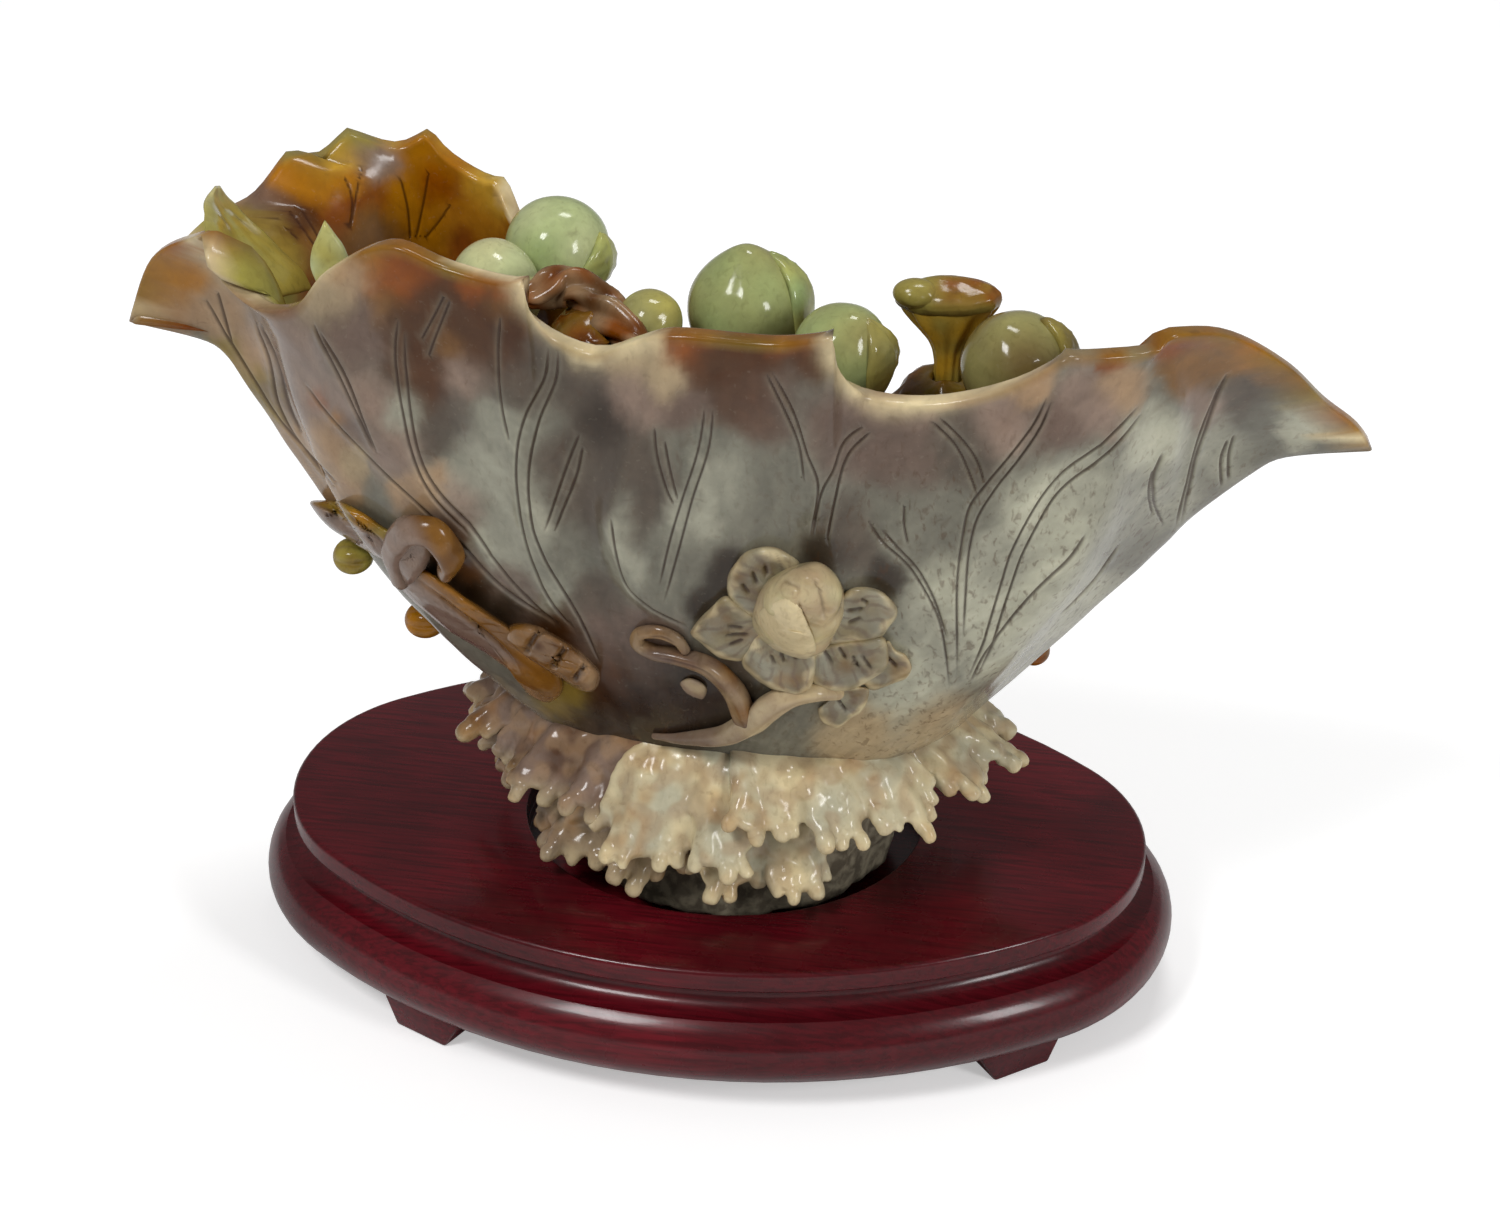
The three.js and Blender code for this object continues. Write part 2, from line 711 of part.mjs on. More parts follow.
// Fungus and twisted branch

const fungusCapShare = [0.322, 0.11, 0.765];
const fungusStemShares = [[0.31, 0.11, 0.735], [0.318, 0.1, 0.665], [0.33, 0.07, 0.6]];
const branchShares = [[-0.3, -0.3, 0.8], [-0.25, -0.2, 0.79], [-0.2, -0.28, 0.765], [-0.13, -0.44, 0.75]];
const fungusCapTilt = 0.15;
const fungusStemSteps = 5;
const branchSteps = 8;

const fungusCapShape = ellipsoid(fungusCapLength, fungusCapDepth, fungusCapThickness);
const fungusCap = named("fungus_cap", fungusCapShape, "amber");
fungusCap.position.copy(leafPlace(fungusCapShare));
fungusCap.rotation.y = fungusCapTilt;
carving.add(fungusCap);
const fungusStemShape = tube(fungusStemShares.map(leafPlace), fungusStemRadius, fungusStemSteps);
const fungusStem = named("fungus_stem", fungusStemShape, "green");
carving.add(fungusStem);
carve(fungusCap, [leaf, ...peachList, ...peachLeaves]);
carve(fungusStem, [leaf, fungusCap, ...peachList, ...peachLeaves]);

const branchShape = tube(branchShares.map(leafPlace), branchRadius, branchSteps);
const branch = named("twisted_branch", branchShape, "amber");
carving.add(branch);
carve(branch, [leaf, ...peachList, ...peachLeaves]);

// Folded leaf that lines the left end, and a small leaf tip at the front rim
const liningStationShares = { from: 0.9, to: 1.07 };
const liningLevelShares = innerLevelShares.slice(1, -1).reverse();

function liningGeometry() {
  const from = Math.round(stationCount * liningStationShares.from);
  const to = Math.round(stationCount * liningStationShares.to);
  const rows = liningLevelShares.length - 1;
  return sheet(to - from, rows, (across, up, side) => {
    const column = Math.round(THREE.MathUtils.lerp(from, to, across)) % stationCount;
    const share = liningLevelShares[Math.round(up * rows)];
    return hollowPoint(column, share, leafWall + clearance * 2 + side * liningThickness);
  });
}

const lining = named("folded_inner_leaf", liningGeometry(), "green");
carving.add(lining);
carve(lining, [leaf, ...peachList]);

const leafTipShare = [-0.585, -0.65, 0.925];
const leafTipTilt = -0.35;
const leafTip = named("small_leaf_tip", ellipsoid(leafTipThickness, leafTipWidth, leafTipLength), "green");
leafTip.position.copy(leafPlace(leafTipShare));
leafTip.rotation.y = leafTipTilt;
carving.add(leafTip);
carve(leafTip, [leaf, lining]);

// Fruiting bough that fills the hollow and carries the fruit

const hollowFloor = new THREE.Box3().setFromPoints(rim.map((edge, station) => hollowPoint(station, 0, leafWall)));

function boughSolid() {
  const room = hollowFloor.getSize(new THREE.Vector3());
  const middle = hollowFloor.getCenter(new THREE.Vector3());
  const heap = ellipsoid(
    room.x - boughEndGap * 2,
    room.y - boughSideGap * 2,
    (boughCrownHeight - leafFloorHeight) * 2,
  );
  let solid = toSolid(heap.translate(middle.x, middle.y, leafFloorHeight));
  for (const seat of [...peachList, fungusStem, branch]) {
    const box = new THREE.Box3().setFromObject(seat);
    const centre = box.getCenter(new THREE.Vector3());
    const lump = ellipsoid(boughSeatRadius * 2, boughSeatRadius * 2, boughSeatHeight, lumpSides, lumpRings);
    const lumpHeight = box.min.z + boughSeatLap - boughSeatHeight / 2;
    solid = solid.add(toSolid(lump.translate(centre.x, centre.y, lumpHeight)));
    const stemHeight = (lumpHeight - leafFloorHeight) * 2;
    const stem = ellipsoid(boughStemRadius * 2, boughStemRadius * 2, stemHeight, lumpSides, lumpRings);
    solid = solid.add(toSolid(stem.translate(centre.x, centre.y, leafFloorHeight)));
  }
  return solid;
}

function trimmedAbove(solid, height) {
  const size = leafLength + cutOverrun;
  const block = new THREE.BoxGeometry(size, size, size).translate(0, 0, height + size / 2);
  return solid.intersect(toSolid(block));
}

const boughFoot = leafFloorHeight + clearance;
const bough = named("fruiting_bough", toGeometry(trimmedAbove(boughSolid(), boughFoot)), "amber");
carving.add(bough);
carve(bough, [fungusStem, branch, ...peachList, ...peachLeaves]);

// Pieces carved on the outer walls are seated by a ray through the leaf's own skin

const seeker = new THREE.Raycaster();
leaf.updateMatrixWorld(true);

// The wall's point and normal that a ray meets from outside
function wallMet(origin, direction, lift) {
  seeker.set(origin, direction);
  const hit = seeker.intersectObject(leaf)[0];
  const normal = hit.face.normal.clone();
  return { point: hit.point.clone().addScaledVector(normal, lift), normal };
}

// The front wall at a place in shares of the half length and the rise
function frontWall([x, z], lift) {
  const origin = leafPlace([x, 0, z]);
  origin.y = -leafLength;
  return wallMet(origin, new THREE.Vector3(0, 1, 0), lift);
}

// The wall of an end, left at side -1 and right at side 1, in shares of the front reach and the rise
function endWall([y, z], side, lift) {
  const origin = leafPlace([0, y, z]);
  origin.x = side * leafLength;
  return wallMet(origin, new THREE.Vector3(-side, 0, 0), lift);
}

function alongWall(shares, lift) {
  return shares.map((share) => frontWall(share, lift).point);
}

// Turns a piece so that its own Z follows the wall's normal and its own X lies level along the wall
function seat(piece, share, lift, spin) {
  const { point, normal } = frontWall(share, lift);
  const across = new THREE.Vector3(0, 0, 1).cross(normal).normalize();
  const up = normal.clone().cross(across);
  const basis = new THREE.Matrix4().makeBasis(across, up, normal);
  piece.quaternion.setFromRotationMatrix(basis);
  piece.rotateZ(spin);
  piece.position.copy(point);
  return piece;
}

// Lotus blossom
const blossomShare = [0.165, 0.445];
const budLeafDropShare = 0.035;
const budThicknessShare = 1.7;
const budLeafShares = [0.675, 0.62];
const budSeatShare = 0.45;
const budLeafSeatShare = 1.25;
const budLeafSpin = 0.1;

const bud = named("lotus_bud", ellipsoid(budRadius * 2, budHeight, budRadius * budThicknessShare), "pale");
seat(bud, blossomShare, budRadius * budSeatShare, 0);
carving.add(bud);
const budLeafShape = ellipsoid(
  budRadius * 2 * budLeafShares[0],
  budHeight * budLeafShares[1],
  budLeafThickness * 2,
);
const budLeaf = named("lotus_bud_leaf", budLeafShape, "pale");
const budLeafShare = [blossomShare[0], blossomShare[1] - budLeafDropShare];
seat(budLeaf, budLeafShare, budRadius * budLeafSeatShare, budLeafSpin);
carving.add(budLeaf);
carve(bud, [leaf]);
carve(budLeaf, [leaf, bud]);

// A petal starts at its root beside the bud, widens, and ends in a point; it dishes upward like a spoon
const petalEndShares = [0.12, 0.98];
const petalWidthPower = 0.75;
const petalDishShares = [0.5, 0.6];

function petalGeometry(length) {
  return sheet(petalSteps, petalSteps, (across, along, side) => {
    const swell = Math.sin(Math.PI * THREE.MathUtils.lerp(petalEndShares[0], petalEndShares[1], along));
    const half = (petalWidth / 2) * swell ** petalWidthPower;
    const x = (across - 0.5) * 2;
    const dish = petalCup * (x * x * petalDishShares[0] + along * along * petalDishShares[1]);
    return new THREE.Vector3(
      x * half,
      THREE.MathUtils.lerp(petalRoot, length, along),
      dish - side * petalThickness,
    );
  });
}

// Turns are degrees from straight up along the wall, against the clock
const petalTurns = {
  upper: 32,
  left: 106,
  lower: 174,
  lower_right: 232,
  right: 274,
  outer_right: 252,
  outer_low: 208,
};
const petals = [];
for (const [name, turn] of Object.entries(petalTurns)) {
  const petal = named(`lotus_petal_${name}`, petalGeometry(petalLengths[name]), "pale");
  const lift = name.startsWith("outer") ? outerPetalLift : petalLift;
  seat(petal, blossomShare, lift, THREE.MathUtils.degToRad(turn));
  carving.add(petal);
  carve(petal, [leaf, bud, budLeaf, ...petals]);
  petals.push(petal);
}

// Stem, tendril and small leaf under the blossom, as shares of the half length and the rise
const blossomStemShares = [[-0.107, 0.12], [-0.04, 0.12], [0.03, 0.15], [0.087, 0.205], [0.143, 0.258]];
const tendrilShares = [
  [0.047, 0.2],
  [0.035, 0.25],
  [0.005, 0.305],
  [-0.035, 0.335],
  [-0.085, 0.343],
  [-0.104, 0.32],
  [-0.075, 0.3],
];
const smallLeafShare = [-0.04, 0.235];
const stemSteps = 8;
const tendrilSteps = 12;
const wallPieceSpin = -0.6;

// A round stem that follows the wall, half sunk towards it
function wallTube(shares, radius, steps) {
  return tube(alongWall(shares, radius / 2), radius, steps);
}

const blossomStemShape = wallTube(blossomStemShares, blossomStemRadius, stemSteps);
const blossomStem = named("blossom_stem", blossomStemShape, "pale");
carving.add(blossomStem);
carve(blossomStem, [leaf, bud, ...petals, ...fronds]);
const tendril = named("curling_tendril", wallTube(tendrilShares, tendrilRadius, tendrilSteps), "amber");
carving.add(tendril);
carve(tendril, [leaf, blossomStem, ...petals]);
const smallLeafShape = ellipsoid(smallLeafLength, smallLeafWidth, smallLeafThickness);
const smallLeaf = named("small_wall_leaf", smallLeafShape, "pale");
seat(smallLeaf, smallLeafShare, 0, wallPieceSpin);
carving.add(smallLeaf);
carve(smallLeaf, [leaf, blossomStem, tendril]);

// Amber stem, leaf, knob and clasp on the left of the front wall
const sideStemShares = [[-0.5, 0.36], [-0.45, 0.3], [-0.385, 0.245], [-0.32, 0.185], [-0.285, 0.14]];
const sideLeafShare = [-0.605, 0.4];
const knobShare = [-0.48, 0.42];
const claspShare = [-0.26, 0.262];

const sideStem = named("side_stem", wallTube(sideStemShares, sideStemRadius, stemSteps), "amber");
carving.add(sideStem);
carve(sideStem, [leaf, rock, ...fronds]);
const sideLeaf = named("side_leaf", ellipsoid(sideLeafLength, sideLeafWidth, sideLeafThickness * 2), "amber");
seat(sideLeaf, sideLeafShare, 0, wallPieceSpin);
carving.add(sideLeaf);
carve(sideLeaf, [leaf, sideStem]);
const knob = named("side_knob", ellipsoid(knobRadius * 2, knobWidth, knobWidth), "amber");
seat(knob, knobShare, knobRadius / 3, wallPieceSpin);
carving.add(knob);
carve(knob, [leaf, sideStem, sideLeaf]);
const clasp = named("side_clasp", ellipsoid(claspLength, claspWidth, claspThickness * 2), "amber");
seat(clasp, claspShare, claspThickness / 4, wallPieceSpin);
carving.add(clasp);
carve(clasp, [leaf, sideStem, ...fronds]);

// Two small flowers behind the side stem, and an amber knob on the right end
const flowerletPlaceShares = {
  side_flower_upper: [-0.12, 0.27],
  side_flower_lower: [-0.12, 0.17],
};
for (const [name, shares] of Object.entries(flowerletPlaceShares)) {
  const flowerlet = named(name, ellipsoid(flowerletWidth, flowerletWidth, flowerletHeight), "amber");
  flowerlet.position.copy(endWall(shares, -1, flowerletLift).point);
  carving.add(flowerlet);
  carve(flowerlet, [leaf, sideStem, sideLeaf]);
}
const backKnobShare = [0.15, 0.15];
const backKnob = named("back_knob", ellipsoid(backKnobWidth, backKnobWidth, backKnobWidth), "amber");
backKnob.position.copy(endWall(backKnobShare, 1, backKnobLift).point);
carving.add(backKnob);
carve(backKnob, [leaf, ...fronds]);

export default object;
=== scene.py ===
"""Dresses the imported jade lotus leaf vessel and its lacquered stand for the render.

Sizes are millimetres in the part's frame and become metres when a mesh is made.
"""

import logging
import math
from collections.abc import Callable
from dataclasses import dataclass, field
from enum import Enum

import bmesh
import bpy
import numpy as np
from mathutils import Matrix, Vector, noise
from mathutils.bvhtree import BVHTree


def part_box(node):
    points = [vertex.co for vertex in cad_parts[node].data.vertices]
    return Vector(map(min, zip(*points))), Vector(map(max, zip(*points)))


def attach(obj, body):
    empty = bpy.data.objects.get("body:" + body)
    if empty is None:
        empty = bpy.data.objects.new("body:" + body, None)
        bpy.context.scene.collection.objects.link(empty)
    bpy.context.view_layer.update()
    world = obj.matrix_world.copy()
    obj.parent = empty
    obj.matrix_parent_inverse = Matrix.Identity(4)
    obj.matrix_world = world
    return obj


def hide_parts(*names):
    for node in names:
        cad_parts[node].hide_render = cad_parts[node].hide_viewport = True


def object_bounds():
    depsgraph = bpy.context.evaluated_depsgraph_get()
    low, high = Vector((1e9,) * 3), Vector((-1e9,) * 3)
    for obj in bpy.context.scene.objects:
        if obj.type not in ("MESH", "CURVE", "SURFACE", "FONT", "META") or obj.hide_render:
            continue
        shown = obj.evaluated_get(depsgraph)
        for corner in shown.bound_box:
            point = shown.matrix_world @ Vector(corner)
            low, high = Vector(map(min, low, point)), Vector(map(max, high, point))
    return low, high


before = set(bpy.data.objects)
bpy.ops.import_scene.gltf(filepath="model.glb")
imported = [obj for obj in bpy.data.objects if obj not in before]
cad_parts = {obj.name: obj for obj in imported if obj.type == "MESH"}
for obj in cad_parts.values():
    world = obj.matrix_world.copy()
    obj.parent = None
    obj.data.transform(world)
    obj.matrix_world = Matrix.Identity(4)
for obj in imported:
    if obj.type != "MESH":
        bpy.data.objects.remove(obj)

MM = 0.001
# Blender takes its noise's seed from the clock unless one is set.
NOISE_SEED = 7
noise.seed_set(NOISE_SEED)
log = logging.getLogger("jade_vessel")
cad_box = [list(map(float, corner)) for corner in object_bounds()]


class Body(Enum):
    """The bodies that a piece can ride on."""

    STAND = "stand"
    CARVING = "carving"


class Slot(Enum):
    """The material slots."""

    LACQUER = "lacquer"
    CELADON = "celadon"
    PALE = "pale"
    AMBER = "amber"
    GREEN = "green"
    ROUGH = "rough"


def linear(code: str) -> tuple[float, float, float]:
    """Turns a display colour into the linear colour that a shader takes.

    Args:
        code: The colour as six hexadecimal digits.

    Returns:
        Red, green and blue in linear light.
    """
    parts = [int(code[i : i + 2], 16) / 255 for i in (0, 2, 4)]
    return tuple(p / 12.92 if p <= 0.04045 else ((p + 0.055) / 1.055) ** 2.4 for p in parts)


def smooth_step(value: np.ndarray, low: float, high: float) -> np.ndarray:
    """Eases from 0 at low to 1 at high."""
    t = np.clip((value - low) / (high - low), 0, 1)
    return t * t * (3 - 2 * t)


def lerp(low: float, high: float, share: float) -> float:
    """Mixes two values by a share."""
    return low + (high - low) * share


def unit(vectors: np.ndarray) -> np.ndarray:
    """Scales rows of vectors to length 1."""
    lengths = np.linalg.norm(vectors, axis=-1, keepdims=True)
    return vectors / np.maximum(lengths, 1e-9)


def flowing_line(points: list, steps: int) -> np.ndarray:
    """Runs a centripetal Catmull-Rom curve through points.

    Args:
        points: The places that the curve passes.
        steps: How many stretches the curve is cut into.

    Returns:
        One row for each of the steps + 1 places on the curve.
    """
    knots = np.array(points, float)
    last = len(knots) - 1
    first_ghost = 2 * knots[0] - knots[1]
    last_ghost = 2 * knots[last] - knots[last - 1]
    padded = np.vstack([first_ghost, knots, last_ghost])
    places = np.linspace(0, last, steps + 1)
    index = np.minimum(places.astype(int), last - 1)
    share = (places - index)[:, None]
    p0, p1, p2, p3 = (padded[index + k] for k in range(4))
    d0, d1, d2 = (
        np.maximum(np.sum((a - b) ** 2, axis=1, keepdims=True) ** 0.25, 1e-4)
        for a, b in ((p0, p1), (p1, p2), (p2, p3))
    )
    t1 = ((p1 - p0) / d0 - (p2 - p0) / (d0 + d1) + (p2 - p1) / d1) * d1
    t2 = ((p2 - p1) / d1 - (p3 - p1) / (d1 + d2) + (p3 - p2) / d2) * d1
    bend = (-3 * p1 + 3 * p2 - 2 * t1 - t2) * share**2
    return p1 + t1 * share + bend + (2 * p1 - 2 * p2 + t1 + t2) * share**3


def drift(points: np.ndarray, scale: float, seed: float = 0) -> np.ndarray:
    """Reads a smooth noise vector at each point.

    Args:
        points: Places in millimetres.
        scale: The size of one swell in millimetres.
        seed: Shifts the noise to another part of the field.

    Returns:
        Rows of vectors between about -1 and 1.
    """
    shifted = points / scale + seed
    return np.array([noise.noise_vector(Vector(p)) for p in shifted])


class Mesher:
    """Turns grids of points into closed mesh objects."""

    @staticmethod
    def from_faces(name: str, points: np.ndarray, faces: list) -> bpy.types.Object:
        """Makes an object from points in millimetres and faces that look outwards.

        Args:
            name: The object's name.
            points: The points in millimetres.
            faces: The point numbers of each face.

        Returns:
            The new object, shaded smooth.
        """
        mesh = bpy.data.meshes.new(name)
        mesh.from_pydata((points * MM).tolist(), [], [list(map(int, f)) for f in faces])
        mesh.update()
        mesh.shade_smooth()
        made = bpy.data.objects.new(name, mesh)
        bpy.context.scene.collection.objects.link(made)
        return made

    @classmethod
    def rings(cls, name: str, rings: np.ndarray) -> bpy.types.Object:
        """Skins rings of equal count, and closes both ends with a pole.

        Args:
            name: The object's name.
            rings: Points by ring, by side and by axis.

        Returns:
            The closed object.
        """
        count, sides, _ = rings.shape
        points = np.vstack([rings.reshape(-1, 3), rings[0].mean(0), rings[-1].mean(0)])
        faces = []
        for r in range(count - 1):
            for i in range(sides):
                a = r * sides + i
                b = r * sides + (i + 1) % sides
                faces.append((a, b, b + sides, a + sides))
        low, high = count * sides, count * sides + 1
        top = (count - 1) * sides
        for i in range(sides):
            after = (i + 1) % sides
            faces.append((low, after, i))
            faces.append((high, top + i, top + after))
        made = cls.from_faces(name, points, faces)
        cls.face_outward(made)
        return made

    @classmethod
    def pillow(cls, name: str, front: np.ndarray, back: np.ndarray) -> bpy.types.Object:
        """Closes a front and a back grid that share their border points.

        Args:
            name: The object's name.
            front: Front points by row, by column and by axis.
            back: Back points in the same order.

        Returns:
            The closed object.
        """
        rows, cols, _ = front.shape
        points = np.vstack([front.reshape(-1, 3), back.reshape(-1, 3)])
        faces = []
        shift = rows * cols
        for r in range(rows - 1):
            for c in range(cols - 1):
                a = r * cols + c
                faces.append((a, a + 1, a + 1 + cols, a + cols))
                faces.append((a + shift, a + cols + shift, a + 1 + cols + shift, a + 1 + shift))
        made = cls.from_faces(name, points, faces)
        cls.weld(made, 1e-6)
        cls.face_outward(made)
        return made

    @staticmethod
    def weld(piece: bpy.types.Object, distance: float) -> None:
        """Merges points that lie closer than a distance in metres.

        Args:
            piece: The piece to work on.
            distance: The greatest gap that closes, in metres.
        """
        work = bmesh.new()
        work.from_mesh(piece.data)
        bmesh.ops.remove_doubles(work, verts=work.verts, dist=distance)
        work.to_mesh(piece.data)
        work.free()

    @staticmethod
    def face_outward(piece: bpy.types.Object) -> None:
        """Turns all faces outwards.

        Args:
            piece: The piece to work on.
        """
        work = bmesh.new()
        work.from_mesh(piece.data)
        bmesh.ops.recalc_face_normals(work, faces=work.faces)
        work.to_mesh(piece.data)
        work.free()


def points_of(piece: bpy.types.Object) -> np.ndarray:
    """Reads a piece's points in millimetres.

    Args:
        piece: The piece to read.

    Returns:
        One row for each point.
    """
    flat = np.zeros(len(piece.data.vertices) * 3, np.float32)
    piece.data.vertices.foreach_get("co", flat)
    return flat.reshape(-1, 3).astype(float) / MM


def place_points(piece: bpy.types.Object, points: np.ndarray) -> None:
    """Writes a piece's points, given in millimetres."""
    piece.data.vertices.foreach_set("co", (points * MM).astype(np.float32).ravel())
    piece.data.update()


def normals_of(piece: bpy.types.Object) -> np.ndarray:
    """Reads a piece's point normals.

    Args:
        piece: The piece to read.

    Returns:
        One row for each point.
    """
    flat = np.zeros(len(piece.data.vertices) * 3, np.float32)
    piece.data.vertex_normals.foreach_get("vector", flat)
    return flat.reshape(-1, 3).astype(float)


def only(piece: bpy.types.Object) -> None:
    """Makes one piece the only selected and active object.

    Args:
        piece: The piece to select.
    """
    bpy.ops.object.select_all(action="DESELECT")
    piece.select_set(True)
    bpy.context.view_layer.objects.active = piece


def apply_modifier(piece: bpy.types.Object, kind: str, **settings: object) -> None:
    """Adds a modifier with its settings and applies it.

    Args:
        piece: The piece to work on.
        kind: The modifier's type.
        settings: The modifier's fields.
    """
    only(piece)
    modifier = piece.modifiers.new(kind.lower(), kind)
    for key, value in settings.items():
        setattr(modifier, key, value)
    bpy.ops.object.modifier_apply(modifier=modifier.name)


def store(piece: bpy.types.Object, name: str, values: np.ndarray) -> None:
    """Keeps one number for each point of a piece, for its material to read."""
    layer = piece.data.attributes.new(name, "FLOAT", "POINT")
    layer.data.foreach_set("value", values.astype(np.float32))


def store_colour(piece: bpy.types.Object, name: str, colours: np.ndarray) -> None:
    """Keeps one linear colour for each point of a piece.

    Args:
        piece: The piece to work on.
        name: The attribute's name.
        colours: One linear colour for each point.
    """
    layer = piece.data.attributes.new(name, "FLOAT_COLOR", "POINT")
    full = np.hstack([colours, np.ones((len(colours), 1))])
    layer.data.foreach_set("color", full.astype(np.float32).ravel())


def hand_over(
    piece: bpy.types.Object,
    body: Body,
    material: bpy.types.Material,
    nodes: list[str],
) -> None:
    """Dresses a finished piece and says what it rides on and stands for.

    Args:
        piece: The finished piece.
        body: The body that it rides on.
        material: The material that it wears.
        nodes: The CAD nodes that it stands for.
    """
    piece.data.materials.clear()
    piece.data.materials.append(material)
    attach(piece, body.value)
    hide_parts(*nodes)
    log.info("%s: %d faces on %s", piece.name, len(piece.data.polygons), body.value)


def carved_copy(node: str, name: str, levels: int, swell: float) -> bpy.types.Object:
    """Copies a CAD node, merges it, rounds it as worn stone and swells it a little.

    Args:
        node: The CAD node's name.
        name: The new piece's name.
        levels: Subdivision levels.
        swell: How far the skin moves out, in millimetres.

    Returns:
        The new piece.
    """
    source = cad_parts[node]
    mesh = source.data.copy()
    mesh.name = name
    mesh.materials.clear()
    for key in [k for k in mesh.attributes.keys() if mesh.attributes[k].data_type == "FLOAT2"]:
        mesh.attributes.remove(mesh.attributes[key])
    made = bpy.data.objects.new(name, mesh)
    bpy.context.scene.collection.objects.link(made)
    Mesher.weld(made, 1e-5)
    only(made)
    bpy.ops.object.mode_set(mode="EDIT")
    bpy.ops.mesh.select_all(action="SELECT")
    bpy.ops.mesh.customdata_custom_splitnormals_clear()
    bpy.ops.mesh.tris_convert_to_quads(face_threshold=0.7, shape_threshold=0.7)
    bpy.ops.object.mode_set(mode="OBJECT")
    if levels:
        apply_modifier(made, "SUBSURF", levels=levels, render_levels=levels)
    made.data.shade_smooth()
    if swell:
        place_points(made, points_of(made) + normals_of(made) * swell)
    return made


# Materials


class Nodes:
    """Adds and joins the shader nodes of one material."""

    def __init__(self, name: str) -> None:
        """Starts an empty material with its output and one Principled shader.

        Args:
            name: The material's name.
        """
        self.material = bpy.data.materials.new(name)
        self.material.use_nodes = True
        self.tree = self.material.node_tree
        self.tree.nodes.clear()
        self.output = self.tree.nodes.new("ShaderNodeOutputMaterial")
        self.shader = self.tree.nodes.new("ShaderNodeBsdfPrincipled")
        self.join(self.shader.outputs[0], self.output.inputs["Surface"])

    def join(self, source: object, target: object) -> None:
        """Links an output to an input."""
        self.tree.links.new(source, target)

    def set(self, name: str, value: object) -> None:
        """Sets an input of the Principled shader."""
        self.shader.inputs[name].default_value = value

    def node(self, kind: str, **settings: object) -> bpy.types.Node:
        """Adds a node and sets its fields.

        Args:
            kind: The node's type.
            settings: The node's fields.

        Returns:
            The new node.
        """
        made = self.tree.nodes.new(kind)
        for key, value in settings.items():
            setattr(made, key, value)
        return made

    def coordinates(self, stretch: tuple = (1, 1, 1)) -> object:
        """Gives Object coordinates in millimetres, stretched along the axes.

        Args:
            stretch: How much closer the pattern lies along each axis.

        Returns:
            The output of the coordinates.
        """
        source = self.node("ShaderNodeTexCoord")
        mapping = self.node("ShaderNodeMapping")
        mapping.inputs["Scale"].default_value = [s / MM for s in stretch]
        self.join(source.outputs["Object"], mapping.inputs["Vector"])
        return mapping.outputs["Vector"]

    def noise(self, vector: object, size: float, detail: float = 3, distortion: float = 0) -> object:
        """Adds noise whose swells are size millimetres wide.

        Args:
            vector: The coordinates.
            size: The width of a swell in millimetres.
            detail: How many finer layers it has.
            distortion: How much it is warped.

        Returns:
            The noise, from 0 to 1.
        """
        made = self.node("ShaderNodeTexNoise")
        made.inputs["Scale"].default_value = 1 / size
        made.inputs["Detail"].default_value = detail
        made.inputs["Distortion"].default_value = distortion
        self.join(vector, made.inputs["Vector"])
        return made.outputs["Fac"]

    def ease(self, value: object, low: float, high: float) -> object:
        """Maps a value from the range low to high onto 0 to 1, smoothly.

        Args:
            value: The value to map.
            low: What becomes 0.
            high: What becomes 1.

        Returns:
            The mapped value.
        """
        made = self.node("ShaderNodeMapRange", interpolation_type="SMOOTHSTEP")
        made.inputs["From Min"].default_value = low
        made.inputs["From Max"].default_value = high
        self.join(value, made.inputs["Value"])
        return made.outputs["Result"]

    def span(self, value: object, low: float, high: float) -> object:
        """Maps a value from 0 to 1 onto the range low to high.

        Args:
            value: The value to map.
            low: What 0 becomes.
            high: What 1 becomes.

        Returns:
            The mapped value.
        """
        made = self.node("ShaderNodeMapRange")
        made.inputs["To Min"].default_value = low
        made.inputs["To Max"].default_value = high
        self.join(value, made.inputs["Value"])
        return made.outputs["Result"]

    def times(self, first: object, second: object) -> object:
        """Multiplies two values; a plain number may be the second.

        Args:
            first: A value.
            second: A value or a plain number.

        Returns:
            The product.
        """
        made = self.node("ShaderNodeMath", operation="MULTIPLY")
        self.join(first, made.inputs[0])
        if isinstance(second, (int, float)):
            made.inputs[1].default_value = second
        else:
            self.join(second, made.inputs[1])
        return made.outputs["Value"]

    def blend(self, share: object, first: object, second: object, mode: str = "MIX") -> object:
        """Mixes two colours by a share; a colour is a socket or a linear triple.

        Args:
            share: How much of the second colour shows.
            first: The colour at share 0.
            second: The colour at share 1.
            mode: The way of mixing.

        Returns:
            The mixed colour.
        """
        made = self.node("ShaderNodeMix", data_type="RGBA", blend_type=mode, clamp_factor=True)
        if isinstance(share, (int, float)):
            made.inputs["Factor"].default_value = share
        else:
            self.join(share, made.inputs["Factor"])
        for colour, socket in ((first, made.inputs["A"]), (second, made.inputs["B"])):
            if isinstance(colour, tuple):
                socket.default_value = (*colour, 1)
            else:
                self.join(colour, socket)
        return made.outputs["Result"]

    def attribute(self, name: str, output: str = "Fac") -> object:
        """Reads a number or colour that the mesh keeps at its points."""
        made = self.node("ShaderNodeAttribute", attribute_name=name)
        return made.outputs[output]

